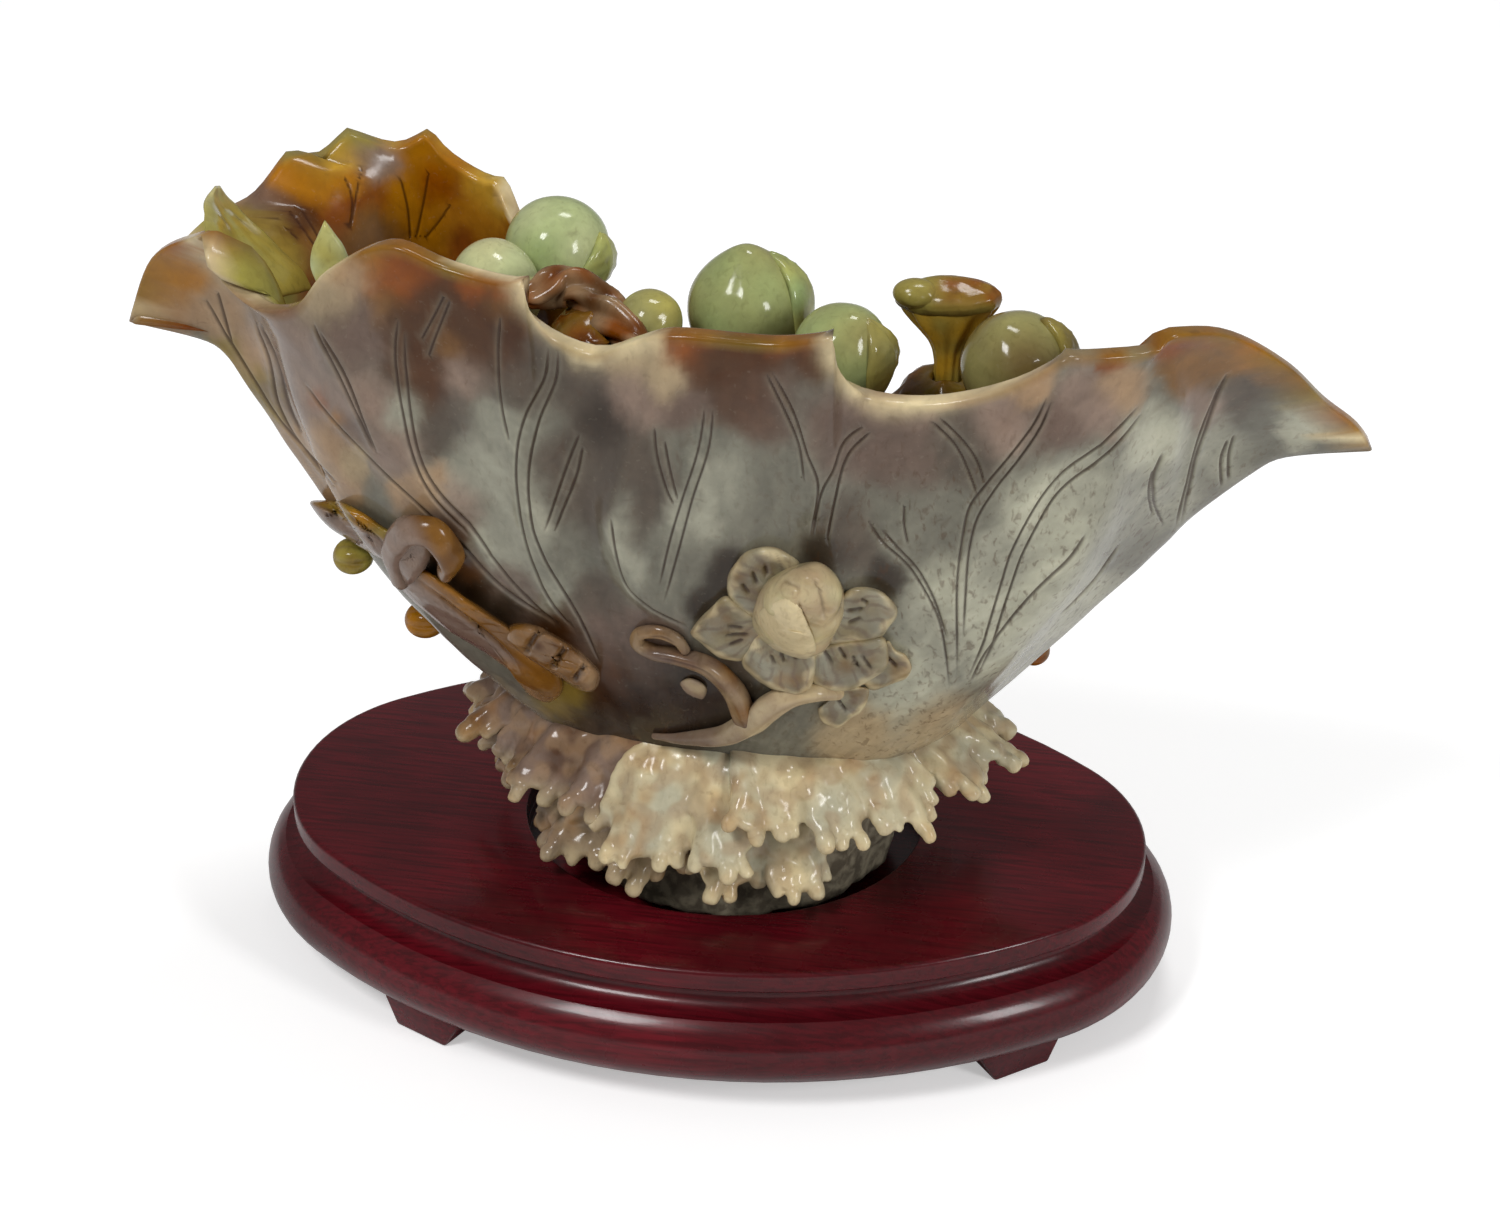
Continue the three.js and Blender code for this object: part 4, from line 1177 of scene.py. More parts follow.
@dataclass
class LeafLook:
    """The wall's incised veins, its folds and its patches of colour, some of them painted shade and painted
    highlight, all placed by photograph pixels.
    """

    vein_width: float = 1.45
    vein_depth: float = 0.45
    inner_width: float = 1.4
    inner_depth: float = 0.22
    root_pixel: tuple = (720, 800)
    outer_veins: tuple = (
        ((202, 293), (228, 338), (255, 380), (275, 412), (310, 455), (338, 487)),
        ((217, 290), (225, 318), (232, 343)),
        ((254, 318), (268, 360), (278, 400), (292, 430), (335, 490)),
        ((260, 322), (276, 365), (286, 400), (302, 435)),
        ((300, 385), (330, 420), (385, 475), (420, 505), (460, 545), (500, 585), (560, 625)),
        ((313, 322), (330, 350), (348, 385), (362, 415), (375, 450)),
        ((322, 330), (345, 368), (362, 405), (378, 455)),
        ((398, 318), (395, 350), (399, 395), (413, 450), (430, 490), (470, 540)),
        ((404, 330), (406, 380), (413, 430), (430, 478), (470, 530), (520, 590), (560, 628)),
        ((446, 292), (436, 312), (420, 342)),
        ((450, 300), (438, 330), (427, 360)),
        ((500, 316), (498, 350), (502, 395), (512, 440)),
        ((549, 345), (545, 378), (527, 412), (519, 450), (520, 500), (530, 550), (550, 600), (575, 632)),
        ((558, 348), (556, 380), (538, 425), (530, 470), (534, 520), (548, 560), (575, 612), (600, 665)),
        ((578, 437), (566, 470), (545, 530)),
        ((581, 450), (575, 480), (553, 535)),
        ((613, 512), (618, 545), (628, 585), (645, 600), (690, 625)),
        ((655, 425), (657, 455), (667, 490), (674, 505)),
        ((664, 440), (670, 470), (678, 500)),
        ((705, 405), (698, 450), (682, 500), (670, 540), (660, 585)),
        ((713, 408), (708, 450), (692, 500), (680, 545), (665, 600)),
        ((765, 372), (785, 412), (800, 445), (805, 480)),
        ((770, 370), (795, 415), (808, 450), (818, 482), (810, 540)),
        ((866, 425), (845, 442), (834, 470), (822, 490), (812, 540)),
        ((872, 432), (850, 455), (836, 500), (826, 545)),
        ((930, 420), (955, 445), (968, 470), (978, 492)),
        ((938, 417), (962, 440), (978, 462), (985, 480)),
        ((1048, 395), (1035, 422), (1012, 452), (988, 480), (970, 505), (963, 535), (958, 575), (957, 620),
         (957, 680)),
        ((1052, 400), (1040, 428), (1018, 460), (995, 488), (978, 515), (970, 545), (966, 590), (963, 640)),
        ((1140, 405), (1120, 427), (1090, 455), (1060, 480), (1035, 510), (1012, 552), (1000, 590),
         (985, 640), (967, 682)),
        ((1143, 412), (1125, 436), (1097, 464), (1068, 490), (1046, 516), (1024, 556), (1010, 596),
         (995, 640), (975, 682)),
        ((868, 523), (880, 540), (905, 562), (925, 590), (940, 622), (950, 690)),
        ((880, 530), (900, 550), (918, 570), (935, 600), (948, 640)),
        ((904, 505), (904, 525), (908, 545)),
        ((1085, 530), (1070, 555), (1040, 590), (1010, 625), (985, 655), (970, 685)),
        ((1120, 545), (1095, 580), (1060, 615)),
        ((1160, 450), (1152, 480), (1155, 505), (1164, 526)),
        ((1152, 470), (1149, 490), (1153, 515)),
        ((1228, 372), (1215, 400), (1205, 430), (1195, 460), (1180, 525)),
        ((1220, 385), (1208, 412), (1198, 440), (1187, 480), (1175, 528)),
        ((1228, 440), (1221, 460), (1221, 486)),
        ((1234, 436), (1229, 455), (1228, 480)),
    )
    inner_veins: tuple = (
        ((337, 166), (350, 190), (352, 212), (348, 236)),
        ((364, 158), (358, 185), (350, 236)),
        ((400, 176), (408, 210), (411, 246)),
        ((456, 196), (440, 220), (424, 240)),
        ((290, 192), (305, 215), (322, 243)),
        ((279, 198), (298, 222), (318, 250)),
        ((248, 190), (268, 208), (300, 242)),
        ((430, 165), (424, 200), (416, 240)),
    )
    folds: tuple = (
        Line(((660, 395), (628, 465), (612, 520), (640, 580), (700, 630)), 15, 1.2),
        Line(((590, 380), (577, 470), (585, 560), (620, 640)), 24, -1.1),
        Line(((523, 330), (515, 420), (535, 520), (575, 620)), 17, 0.8),
        Line(((430, 360), (450, 450), (500, 550)), 24, -0.8),
        Line(((822, 345), (815, 430), (812, 520)), 15, 0.8),
        Line(((885, 430), (862, 540)), 30, -0.8),
        Line(((1038, 365), (1000, 450), (965, 560), (950, 660)), 17, 0.9),
        Line(((1090, 440), (1040, 540), (990, 640)), 20, -0.9),
        Line(((1168, 350), (1172, 420), (1160, 500)), 12, 0.9),
        Line(((310, 300), (340, 370), (400, 450), (460, 530)), 17, 0.7),
        Line(((270, 330), (320, 420), (380, 490)), 14, -0.6),
        Line(((740, 400), (735, 470), (720, 540)), 28, -0.7),
        Line(((1120, 470), (1090, 540), (1050, 610)), 16, 0.6),
    )
    # Patches of the stone's colours; some of them are painted shadow, shade or highlight, as said above their
    # lines.
    outer_patches: tuple = (
        *patches(Hue.CREAM, (128, 306, 11), (592, 352, 15), (615, 350, 10)),
        *patches(Hue.HONEY, (148, 280, 26, 1, 4), (190, 252, 22, 1, 4), (176, 284, 16, 1, 1.5),
            (338, 420, 9), (336, 262, 14), (372, 256, 18), (1268, 356, 18, 1, 2), (1342, 404, 14),
            (1362, 426, 10)),
        *patches(Hue.OLIVE, (160, 258, 15), (226, 350, 13), (244, 385, 14, 1.6), (270, 415, 12, 1.5),
            (566, 692, 18), (1300, 382, 17, 1, 3)),
        # The rose patch at (1122, 386) is a painted highlight on the right wing.
        *patches(Hue.ROSE, (186, 306, 16), (222, 304, 18), (252, 352, 18), (318, 448, 22), (300, 440, 12),
            (335, 492, 16), (350, 280, 18), (420, 490, 16), (1030, 385, 14), (1122, 386, 15),
            (1330, 404, 12, 1, 2)),
        *patches(Hue.LILAC, (285, 345, 26), (300, 400, 26), (462, 374, 18), (360, 400, 20),
            (395, 445, 20), (455, 515, 20), (640, 402, 20), (1002, 418, 22), (862, 402, 13),
            (920, 415, 12), (1092, 402, 22), (1202, 402, 14)),
        *patches(Hue.BONE, (350, 468, 10), (328, 302, 20), (640, 356, 22), (668, 378, 15), (860, 738, 24),
            (930, 725, 22)),
        *patches(Hue.RUSSET, (318, 398, 9), (402, 268, 24, 1, 4), (474, 284, 13, 0.8, 4),
            (508, 286, 11, 0.8, 4), (690, 346, 17, 1, 2), (780, 342, 20, 0.6, 3), (1112, 358, 9),
            (1176, 340, 14, 1, 2), (1204, 336, 10)),
        *patches(Hue.MAUVE, (352, 330, 26), (345, 425, 16), (500, 585, 16), (528, 605, 16),
            (592, 640, 22), (690, 404, 20), (756, 400, 24), (645, 636, 22), (652, 668, 17),
            (850, 430, 28), (902, 448, 30), (1060, 424, 18)),
        *patches(Hue.SYRUP, (386, 304, 14), (502, 304, 13, 1, 2), (452, 346, 12, 1, 2),
            (1190, 364, 17, 1, 3), (1222, 358, 16, 1, 2)),
        # The tobacco patches at (446, 530) and (470, 566) are painted shadow in the dark gap beside the side
        # stem.
        *patches(Hue.TOBACCO, (440, 300, 22, 1, 4), (430, 330, 22, 1, 4), (420, 362, 20, 1.3, 3),
            (405, 320, 16, 1.3, 2), (495, 322, 22, 1.2, 4), (474, 326, 24, 1, 4), (500, 340, 18, 1, 3),
            (432, 398, 16), (446, 530, 15, 1, 5), (470, 566, 12, 1, 5), (548, 640, 17, 1, 4),
            (605, 680, 22), (712, 360, 20, 0.8, 3), (742, 356, 20, 0.7, 4), (766, 366, 14),
            (806, 362, 14), (748, 398, 22, 1, 2)),
        # The tall sea patches at (530, 520), (621, 525) and (634, 575) are painted highlight along the fold
        # ridges.
        *patches(Hue.SEA, (405, 410, 14), (482, 468, 24, 1.6), (500, 418, 16), (502, 540, 26),
            (530, 520, 16, 2), (548, 592, 16), (722, 486, 22), (621, 525, 10, 3), (634, 575, 11, 1.6),
            (690, 520, 18), (1002, 562, 26), (1100, 500, 28), (1160, 490, 20), (1220, 442, 20),
            (950, 652, 22), (925, 620, 18)),
        # The smoke patch at (640, 476) is painted shade.
        *patches(Hue.SMOKE, (450, 425, 22, 1.2), (520, 372, 24), (562, 470, 24, 1.5), (572, 392, 26),
            (640, 476, 18, 1.8, 1.5), (598, 480, 20, 2), (600, 602, 20), (745, 655, 16), (960, 448, 24),
            (850, 538, 24), (1240, 400, 22)),
        *patches(Hue.GREY, (545, 425, 16), (565, 558, 24), (702, 450, 20), (762, 502, 26), (662, 590, 18),
            (684, 556, 20), (900, 520, 26), (952, 520, 22), (1260, 420, 15)),
        # More umber: painted shade round the blossom, at (722, 572), (704, 600), (826, 552) and (886, 574),
        # and at the bottom of the wall, at (662, 704), (604, 722) and (722, 700).
        # Umber patches: painted shadow in the gap beside the side stem, at (448, 572), (480, 594) and (506,
        # 612).
        *patches(Hue.UMBER, (602, 425, 24), (448, 572, 10, 1, 5), (480, 594, 11, 1, 5),
            (506, 612, 11, 1, 5), (722, 572, 15, 1, 1.4), (704, 600, 12), (662, 704, 34, 1, 3),
            (604, 722, 28), (722, 700, 24), (826, 552, 13, 1, 1.5), (886, 574, 13, 1, 1.2)),
        *patches(Hue.CELADON, (1050, 520, 30), (1150, 440, 20), (1302, 424, 14), (1002, 640, 30),
            (952, 600, 24), (902, 690, 28), (1062, 600, 30)),
    )
    inner_patches: tuple = (
        *patches(Hue.HONEY, (300, 166, 16), (325, 180, 16), (400, 196, 20), (420, 152, 17),
            (452, 160, 18), (486, 222, 14), (430, 230, 18), (410, 124, 9), (284, 180, 14), (470, 206, 14),
            (444, 214, 14), (352, 178, 12)),
        *patches(Hue.OLIVE, (320, 156, 12), (262, 240, 22), (930, 390, 40), (286, 262, 16), (250, 222, 13)),
        *patches(Hue.GOLD, (345, 150, 14), (484, 184, 18), (392, 130, 12, 1, 2), (452, 142, 11),
            (500, 204, 12)),
        *patches(Hue.LILAC, (375, 162, 17), (240, 192, 9)),
        *patches(Hue.RUSSET, (440, 190, 20), (460, 238, 12), (340, 210, 16), (376, 198, 12)),
        *patches(Hue.CREAM, (508, 196, 8)),
        *patches(Hue.SYRUP, (372, 232, 20), (318, 250, 14)),
        *patches(Hue.TOBACCO, (300, 224, 18), (600, 320, 60)),
        *patches(Hue.MAUVE, (262, 196, 15)),
        *patches(Hue.UMBER, (800, 360, 90)),
        *patches(Hue.MOSS, (264, 142, 12, 1, 4), (292, 138, 12, 1, 4), (322, 134, 12, 1, 4),
            (344, 120, 13, 1, 4), (366, 128, 12, 1, 4), (428, 116, 11, 1, 3), (474, 150, 11, 1, 3),
            (494, 164, 12, 1, 3), (510, 174, 11, 1, 3), (276, 276, 12, 1, 2)),
        *patches(Hue.LEEK, (212, 240, 14, 1, 3), (222, 262, 16, 1, 3), (240, 282, 16, 1, 3),
            (262, 296, 16, 1, 3), (204, 222, 10, 1, 3)),
        *patches(Hue.ROSE, (236, 188, 8)),
    )
    lips: tuple = (
        Line(((182, 224), (192, 238), (210, 262), (235, 284), (265, 293), (300, 287), (328, 266),
            (352, 246)), 9, 0),
        Line(((518, 278), (524, 296), (540, 316), (565, 333), (600, 344), (636, 344), (662, 334)), 13, 0),
        Line(((826, 332), (830, 356), (846, 384), (880, 405), (930, 402), (985, 385), (1046, 357)), 12, 0),
        Line(((440, 252), (480, 268), (520, 279)), 6, 0),
        Line(((497, 182), (516, 194), (512, 216), (504, 244)), 8, 0),
        Line(((112, 309), (126, 308), (142, 309)), 5, 0),
        Line(((1310, 436), (1340, 436), (1368, 440)), 4, 0),
    )

    def paint(self, pixels: np.ndarray, patches: tuple, rest: Hue) -> np.ndarray:
        """Mixes the patches' hues at each pixel.

        Args:
            pixels: The photograph pixels of the points.
            patches: The soft patches.
            rest: The hue where no patch reaches.

        Returns:
            One linear colour for each pixel.
        """
        total = np.full(len(pixels), 0.03)
        colour = rest.light()[None] * total[:, None]
        for patch in patches:
            gap = ((pixels[:, 0] - patch.x) / patch.reach) ** 2
            gap += ((pixels[:, 1] - patch.y) / (patch.reach * patch.tall)) ** 2
            weight = patch.strength * np.exp(-(gap**1.1))
            total += weight
            colour += weight[:, None] * patch.hue.light()
        return colour / total[:, None]

    def veins(self, outer: bool) -> list[Line]:
        """Gives the incised veins of the outer or the inner wall.

        Args:
            outer: Whether the outer wall's veins are meant.

        Returns:
            The veins as sunk lines.
        """
        if outer:
            return [Line(points, self.vein_width, -self.vein_depth) for points in self.outer_veins]
        return [Line(points, self.inner_width, -self.inner_depth) for points in self.inner_veins]


@dataclass
class LeafVessel:
    """The leaf: a fine outer wall, a rounded lip, and the hollow inside."""

    form: LeafForm
    look: LeafLook = field(default_factory=LeafLook)
    fine_step: float = 1.3
    coarse_step: float = 2.6
    rows: int = 74
    inner_rows: int = 34
    lip_radius: float = 1.2
    seam_place: float = 8.2
    fine_places: tuple[float, float] = (8.3, 6.6)
    outer_crowding: float = 1.2
    outer_top: float = 0.985
    inner_top: float = 0.96
    vein_reaches: tuple[float, float] = (11, 5.5)
    shoulder_width: float = 3.2
    shoulder_height: float = 0.36
    fold_gain: float = 1.5
    box_margin: float = 0.02

    def columns(self) -> np.ndarray:
        """Spaces the columns along the rim, closer where the camera sees; the seam is at the back.

        Returns:
            The lengths along the rim of an even number of columns.
        """
        form = self.form
        seam = form.length_at(self.seam_place)
        total = form.travelled[-1]
        fine_start = form.length_at(self.fine_places[0]) - seam
        fine_end = form.length_at(self.fine_places[1]) + total - seam
        first = np.arange(0, fine_start, self.coarse_step)
        fine = np.arange(fine_start, fine_end, self.fine_step)
        rest = np.arange(fine_end, total, self.coarse_step)[:-1]
        columns = np.concatenate([first, fine, rest])
        if len(columns) % 2:
            columns = np.delete(columns, -1)
        return columns + seam

    def corner(self, start: np.ndarray, bend: np.ndarray, end: np.ndarray, steps: int) -> list:
        """Rounds a corner with a quadratic curve, and leaves both ends out.

        Args:
            start: Where the curve starts.
            bend: The corner that it cuts.
            end: Where it ends.
            steps: How many stretches it has.

        Returns:
            The rings between both ends.
        """
        rings = []
        for k in range(1, steps):
            t = k / steps
            rings.append(start * (1 - t) ** 2 + bend * 2 * t * (1 - t) + end * t**2)
        return rings

    def build(self) -> bpy.types.Object:
        """Builds the leaf's closed mesh with its veins, folds and colours.

        Returns:
            The leaf.
        """
        form = self.form
        columns = self.columns()
        count = len(columns)
        half = columns[::2]
        levels = 1 - (1 - np.linspace(0, 1, self.rows)) ** self.outer_crowding
        levels = levels[levels < self.outer_top]
        outer = [form.outer(columns, np.full(count, level)) for level in levels]
        lip_outer = form.outer(half, np.ones(len(half)))
        lip_inner = form.hollow(half, np.ones(len(half)), form.wall)
        below = form.outer(half, np.full(len(half), levels[-2]))
        drop = unit(below - lip_outer)
        across = unit(lip_inner - lip_outer)
        radius = self.lip_radius
        start, end = lip_outer + drop * radius * 0.8, lip_outer + across * radius
        lip = [start, *self.corner(start, lip_outer, end, 4), end]
        start = lip_inner - across * radius
        inner_drop = unit(form.hollow(half, np.full(len(half), 0.94), form.wall) - lip_inner)
        end = lip_inner + inner_drop * radius
        lip += [start, *self.corner(start, lip_inner, end, 4), end]
        shares = np.linspace(self.inner_top, 0, self.inner_rows)
        inner = [form.hollow(half, np.full(len(half), share), form.wall) for share in shares]
        inner[-1][:, 2] = form.floor_height
        made = self.skin(outer, lip + inner)
        along = np.concatenate([np.tile(columns, len(levels)), np.tile(half, len(lip) + len(shares)), [0, 0]])
        level = np.concatenate([np.repeat(levels, count), np.full(len(lip) * len(half), 1.0)])
        level = np.concatenate([level, np.repeat(shares, len(half)), [0, 0]])
        zone = np.concatenate([np.full(len(levels) * count, 1.0), np.full(len(lip) * len(half), 0.0)])
        zone = np.concatenate([zone, np.full(len(shares) * len(half), -1.0), [0, 0]])
        zone[(zone < 0) & (level <= 0)] = 0
        for name, values in (("along", along), ("level", level), ("zone", zone)):
            store(made, name, values)
        for reach in self.vein_reaches:
            self.refine(made, reach)
        self.carve(made)
        return made

    def refine(self, piece: bpy.types.Object, reach: float) -> None:
        """Splits the faces that a vein passes within a reach in pixels.

        Args:
            piece: The leaf.
            reach: The reach in pixels of the photograph.
        """
        points = points_of(piece)
        pixels = PHOTO.pixels(points)
        zone = read(piece, "zone")
        normals = normals_of(piece)
        seen = np.einsum("ij,ij->i", normals, np.array(PHOTO.place) - points) > 0
        near = np.zeros(len(points), bool)
        for side in (1, -1):
            chosen = np.where((np.sign(zone) == side) & (np.abs(zone) > 0.5) & seen)[0]
            for vein in self.look.veins(side > 0):
                wide = Line(vein.points, reach, 0)
                near[chosen[wide.weights(pixels[chosen], 0.001) > math.exp(-1)]] = True
        work = bmesh.new()
        work.from_mesh(piece.data)
        work.verts.ensure_lookup_table()
        edges = set()
        for face in work.faces:
            if all(near[v.index] for v in face.verts):
                edges.update(face.edges)
        bmesh.ops.subdivide_edges(work, edges=list(edges), cuts=1, use_grid_fill=True)
        work.to_mesh(piece.data)
        work.free()
        self.settle(piece)

    def settle(self, piece: bpy.types.Object) -> None:
        """Puts every wall point back on the leaf's formula after a split.

        Args:
            piece: The leaf.
        """
        along, level, zone = (read(piece, name) for name in ("along", "level", "zone"))
        points = points_of(piece)
        out = zone > 0.99
        points[out] = self.form.outer(along[out], level[out])
        inner = zone < -0.99
        points[inner] = self.form.hollow(along[inner], level[inner], self.form.wall)
        place_points(piece, points)

    def carve(self, piece: bpy.types.Object) -> None:
        """Sinks the veins and raises the folds, and then colours the skin.

        Args:
            piece: The leaf.
        """
        points = points_of(piece)
        normals = normals_of(piece)
        level, zone = read(piece, "level"), read(piece, "zone")
        pixels = PHOTO.pixels(points)
        seen = np.einsum("ij,ij->i", unit(normals), unit(np.array(PHOTO.place) - points)) > 0.02
        out = (zone > 0.99) & seen
        lift = np.zeros(len(points))
        groove = np.zeros(len(points))
        fade = 1 - smooth_step(level, 0.9, 0.98)
        for side, chosen in ((True, out), (False, (zone < -0.5) & seen)):
            index = np.where(chosen)[0]
            for vein in self.look.veins(side):
                weight = vein.weights(pixels[index])
                shoulder = Line(vein.points, vein.width * self.shoulder_width, 0).weights(pixels[index])
                groove[index] = np.maximum(groove[index], weight)
                lift[index] -= self.shoulder_height * vein.height * shoulder
                lift[index] = np.minimum(lift[index], lift[index] * (1 - weight) + weight * vein.height)
        index = np.where(out)[0]
        for fold in self.look.folds:
            lift[index] += self.fold_gain * fold.height * fold.weights(pixels[index], 0.3) * fade[index]
        swell = drift(points, 16)[:, 0] * 0.45 + drift(points, 6, 40)[:, 1] * 0.12
        lift += swell * (zone != 0) * fade
        worked = points + normals * lift[:, None]
        worked[:, 2] = np.minimum(worked[:, 2], cad_box[1][2] / MM - self.box_margin)
        place_points(piece, worked)
        store(piece, "groove", groove)
        self.colour(piece, points, pixels, out)

    def colour(
        self, piece: bpy.types.Object, points: np.ndarray, pixels: np.ndarray, out: np.ndarray,
    ) -> None:
        """Keeps the leaf's colours and its flecks at the points.

        Args:
            piece: The leaf.
            points: Its points before the veins were cut.
            pixels: The photograph's pixel of each point.
            out: Which points lie on the outside that the camera sees.
        """
        level, zone = read(piece, "level"), read(piece, "zone")
        warped = points + drift(points, 14, 7) * 1.8 + drift(points, 4.5, 90) * 1.2
        warped += drift(points, 1.8, 50) * 0.7
        look = PHOTO.pixels(warped)
        colour = self.look.paint(look, self.look.outer_patches, Hue.GREY)
        inside = self.look.paint(look, self.look.inner_patches, Hue.RUSSET)
        back = (points[:, 1:2] > 8) & (zone[:, None] > 0)
        mix = smooth_step(points[:, 1], 0, 22)[:, None]
        floor = (zone < 0.5) & (level < 0.5) & (points[:, 2] > self.form.floor_height - 6)
        within = (zone < -0.01) | floor | ((zone < 0.5) & (points[:, 1] > 12))
        outside = np.where(back, lerp(colour, self.back_colour(warped), mix), colour)
        colour = np.where(within[:, None], inside, outside)
        # Painted highlight: the shoulders beside the outer veins are lightened towards celadon.
        shoulder = np.zeros(len(points))
        index = np.where(out)[0]
        for vein in self.look.veins(True):
            wide = Line(vein.points, vein.width * 3, 0)
            shoulder[index] = np.maximum(shoulder[index], wide.weights(pixels[index]))
        colour = lerp(colour, Hue.CELADON.light(), (0.16 * shoulder)[:, None])
        colour = self.rim_colour(colour, points, pixels, level, zone)
        colour *= self.streaks(look)[:, None]
        store_colour(piece, "paint", np.clip(colour, 0, 1))
        fleck = smooth_step(pixels[:, 0], 700, 1000) * smooth_step(pixels[:, 1], 400, 520)
        store(piece, "fleck", np.clip(0.25 + fleck, 0, 1) * (np.abs(zone) > 0.5))

    def rim_colour(
        self, colour: np.ndarray, points: np.ndarray, pixels: np.ndarray, level: np.ndarray, zone: np.ndarray,
    ) -> np.ndarray:
        """Browns the lip, and turns it cream where the photograph shows it pale.

        Args:
            colour: The colour of each point so far.
            points: The leaf's points in millimetres.
            pixels: The photograph's pixel of each point.
            level: The level of each point, 1 at the rim.
            zone: 1 outside, 0 on the lip and -1 inside, for each point.

        Returns:
            The new colours.
        """
        on_lip = np.clip(1 - np.abs(zone), 0, 1) * (level > 0.9)
        browns = lerp(Hue.OLIVE.light(), Hue.RUSSET.light(),
            np.clip(drift(points, 11, 33)[:, 0:1] + 0.5, 0, 1))
        colour = lerp(colour, browns, (on_lip * np.where(points[:, 1] > 12, 0.12, 0.5))[:, None])
        cream = np.zeros(len(points))
        high = np.where((level > 0.8) & (np.abs(points[:, 1]) + points[:, 1] < 120))[0]
        for lip in self.look.lips:
            cream[high] = np.maximum(cream[high], lip.weights(pixels[high], 0.05))
        cream *= np.maximum(on_lip, 0.85 * smooth_step(level, 0.9, 0.985) * (zone > 0))
        share = np.clip(drift(points, 6, 61)[:, 0:1] * 0.8 + 0.2, 0, 0.7)
        return lerp(colour, lerp(Hue.CREAM.light(), Hue.BONE.light(), share), cream[:, None])

    def streaks(self, look: np.ndarray) -> np.ndarray:
        """Gives light and dark streaks that run from the leaf's root to its rim.

        Args:
            look: The photograph's pixel of each point.

        Returns:
            A factor of about 1 for each point.
        """
        offset = look - np.array(self.look.root_pixel)
        turn, reach = np.arctan2(offset[:, 1], offset[:, 0]), np.hypot(offset[:, 0], offset[:, 1])
        flat = np.zeros(len(look))
        broad = drift(np.stack([turn * 22, reach / 60, flat], 1), 1, 30)[:, 0]
        fine = drift(np.stack([turn * 75, reach / 30, flat], 1), 1, 77)[:, 0]
        return 1 + 0.22 * broad + 0.14 * fine

    def back_colour(self, points: np.ndarray) -> np.ndarray:
        """Colours the back in broad clouds of the front's hues, russet towards the left end.

        Args:
            points: Places in millimetres.

        Returns:
            One linear colour for each place.
        """
        share = smooth_step(points[:, 0], -110, 90)[:, None]
        high = smooth_step(points[:, 2], 110, 175)[:, None]
        cloud = drift(points, 30, 5)[:, 0:1] * 0.5 + 0.5
        base = lerp(Hue.ROSE.light(), Hue.CELADON.light(), share)
        return lerp(base, Hue.RUSSET.light(), np.clip(high * (1 - share) * 0.7 + cloud * 0.3 - 0.1, 0, 1))

    def skin(self, outer: list, inner: list) -> bpy.types.Object:
        """Joins the outer rings and the inner rings, which have half as many columns.

        Args:
            outer: Rings of points outside, from the root up.
            inner: Rings over the lip and down to the floor.

        Returns:
            The closed leaf.
        """
        count = len(outer[0])
        half = count // 2
        points = np.vstack(outer + inner)
        faces = []
        for r in range(len(outer) - 1):
            for i in range(count):
                a, b = r * count + i, r * count + (i + 1) % count
                faces.append((a, b, b + count, a + count))
        top = (len(outer) - 1) * count
        first = len(outer) * count
        for i in range(half):
            a, m, b = top + 2 * i, top + 2 * i + 1, top + (2 * i + 2) % count
            c, d = first + i, first + (i + 1) % half
            faces += [(a, m, c), (m, d, c), (m, b, d)]
        for r in range(len(inner) - 1):
            row = first + r * half
            for i in range(half):
                a, b = row + i, row + (i + 1) % half
                faces.append((a, b, b + half, a + half))
        last = first + (len(inner) - 1) * half
        low = len(points)
        points = np.vstack([points, outer[0].mean(0), inner[-1].mean(0)])
        for i in range(count):
            faces.append((low, (i + 1) % count, i))
        for i in range(half):
            faces.append((low + 1, last + i, last + (i + 1) % half))
        return Mesher.from_faces("lotus_leaf_wall", points, faces)


# The stand


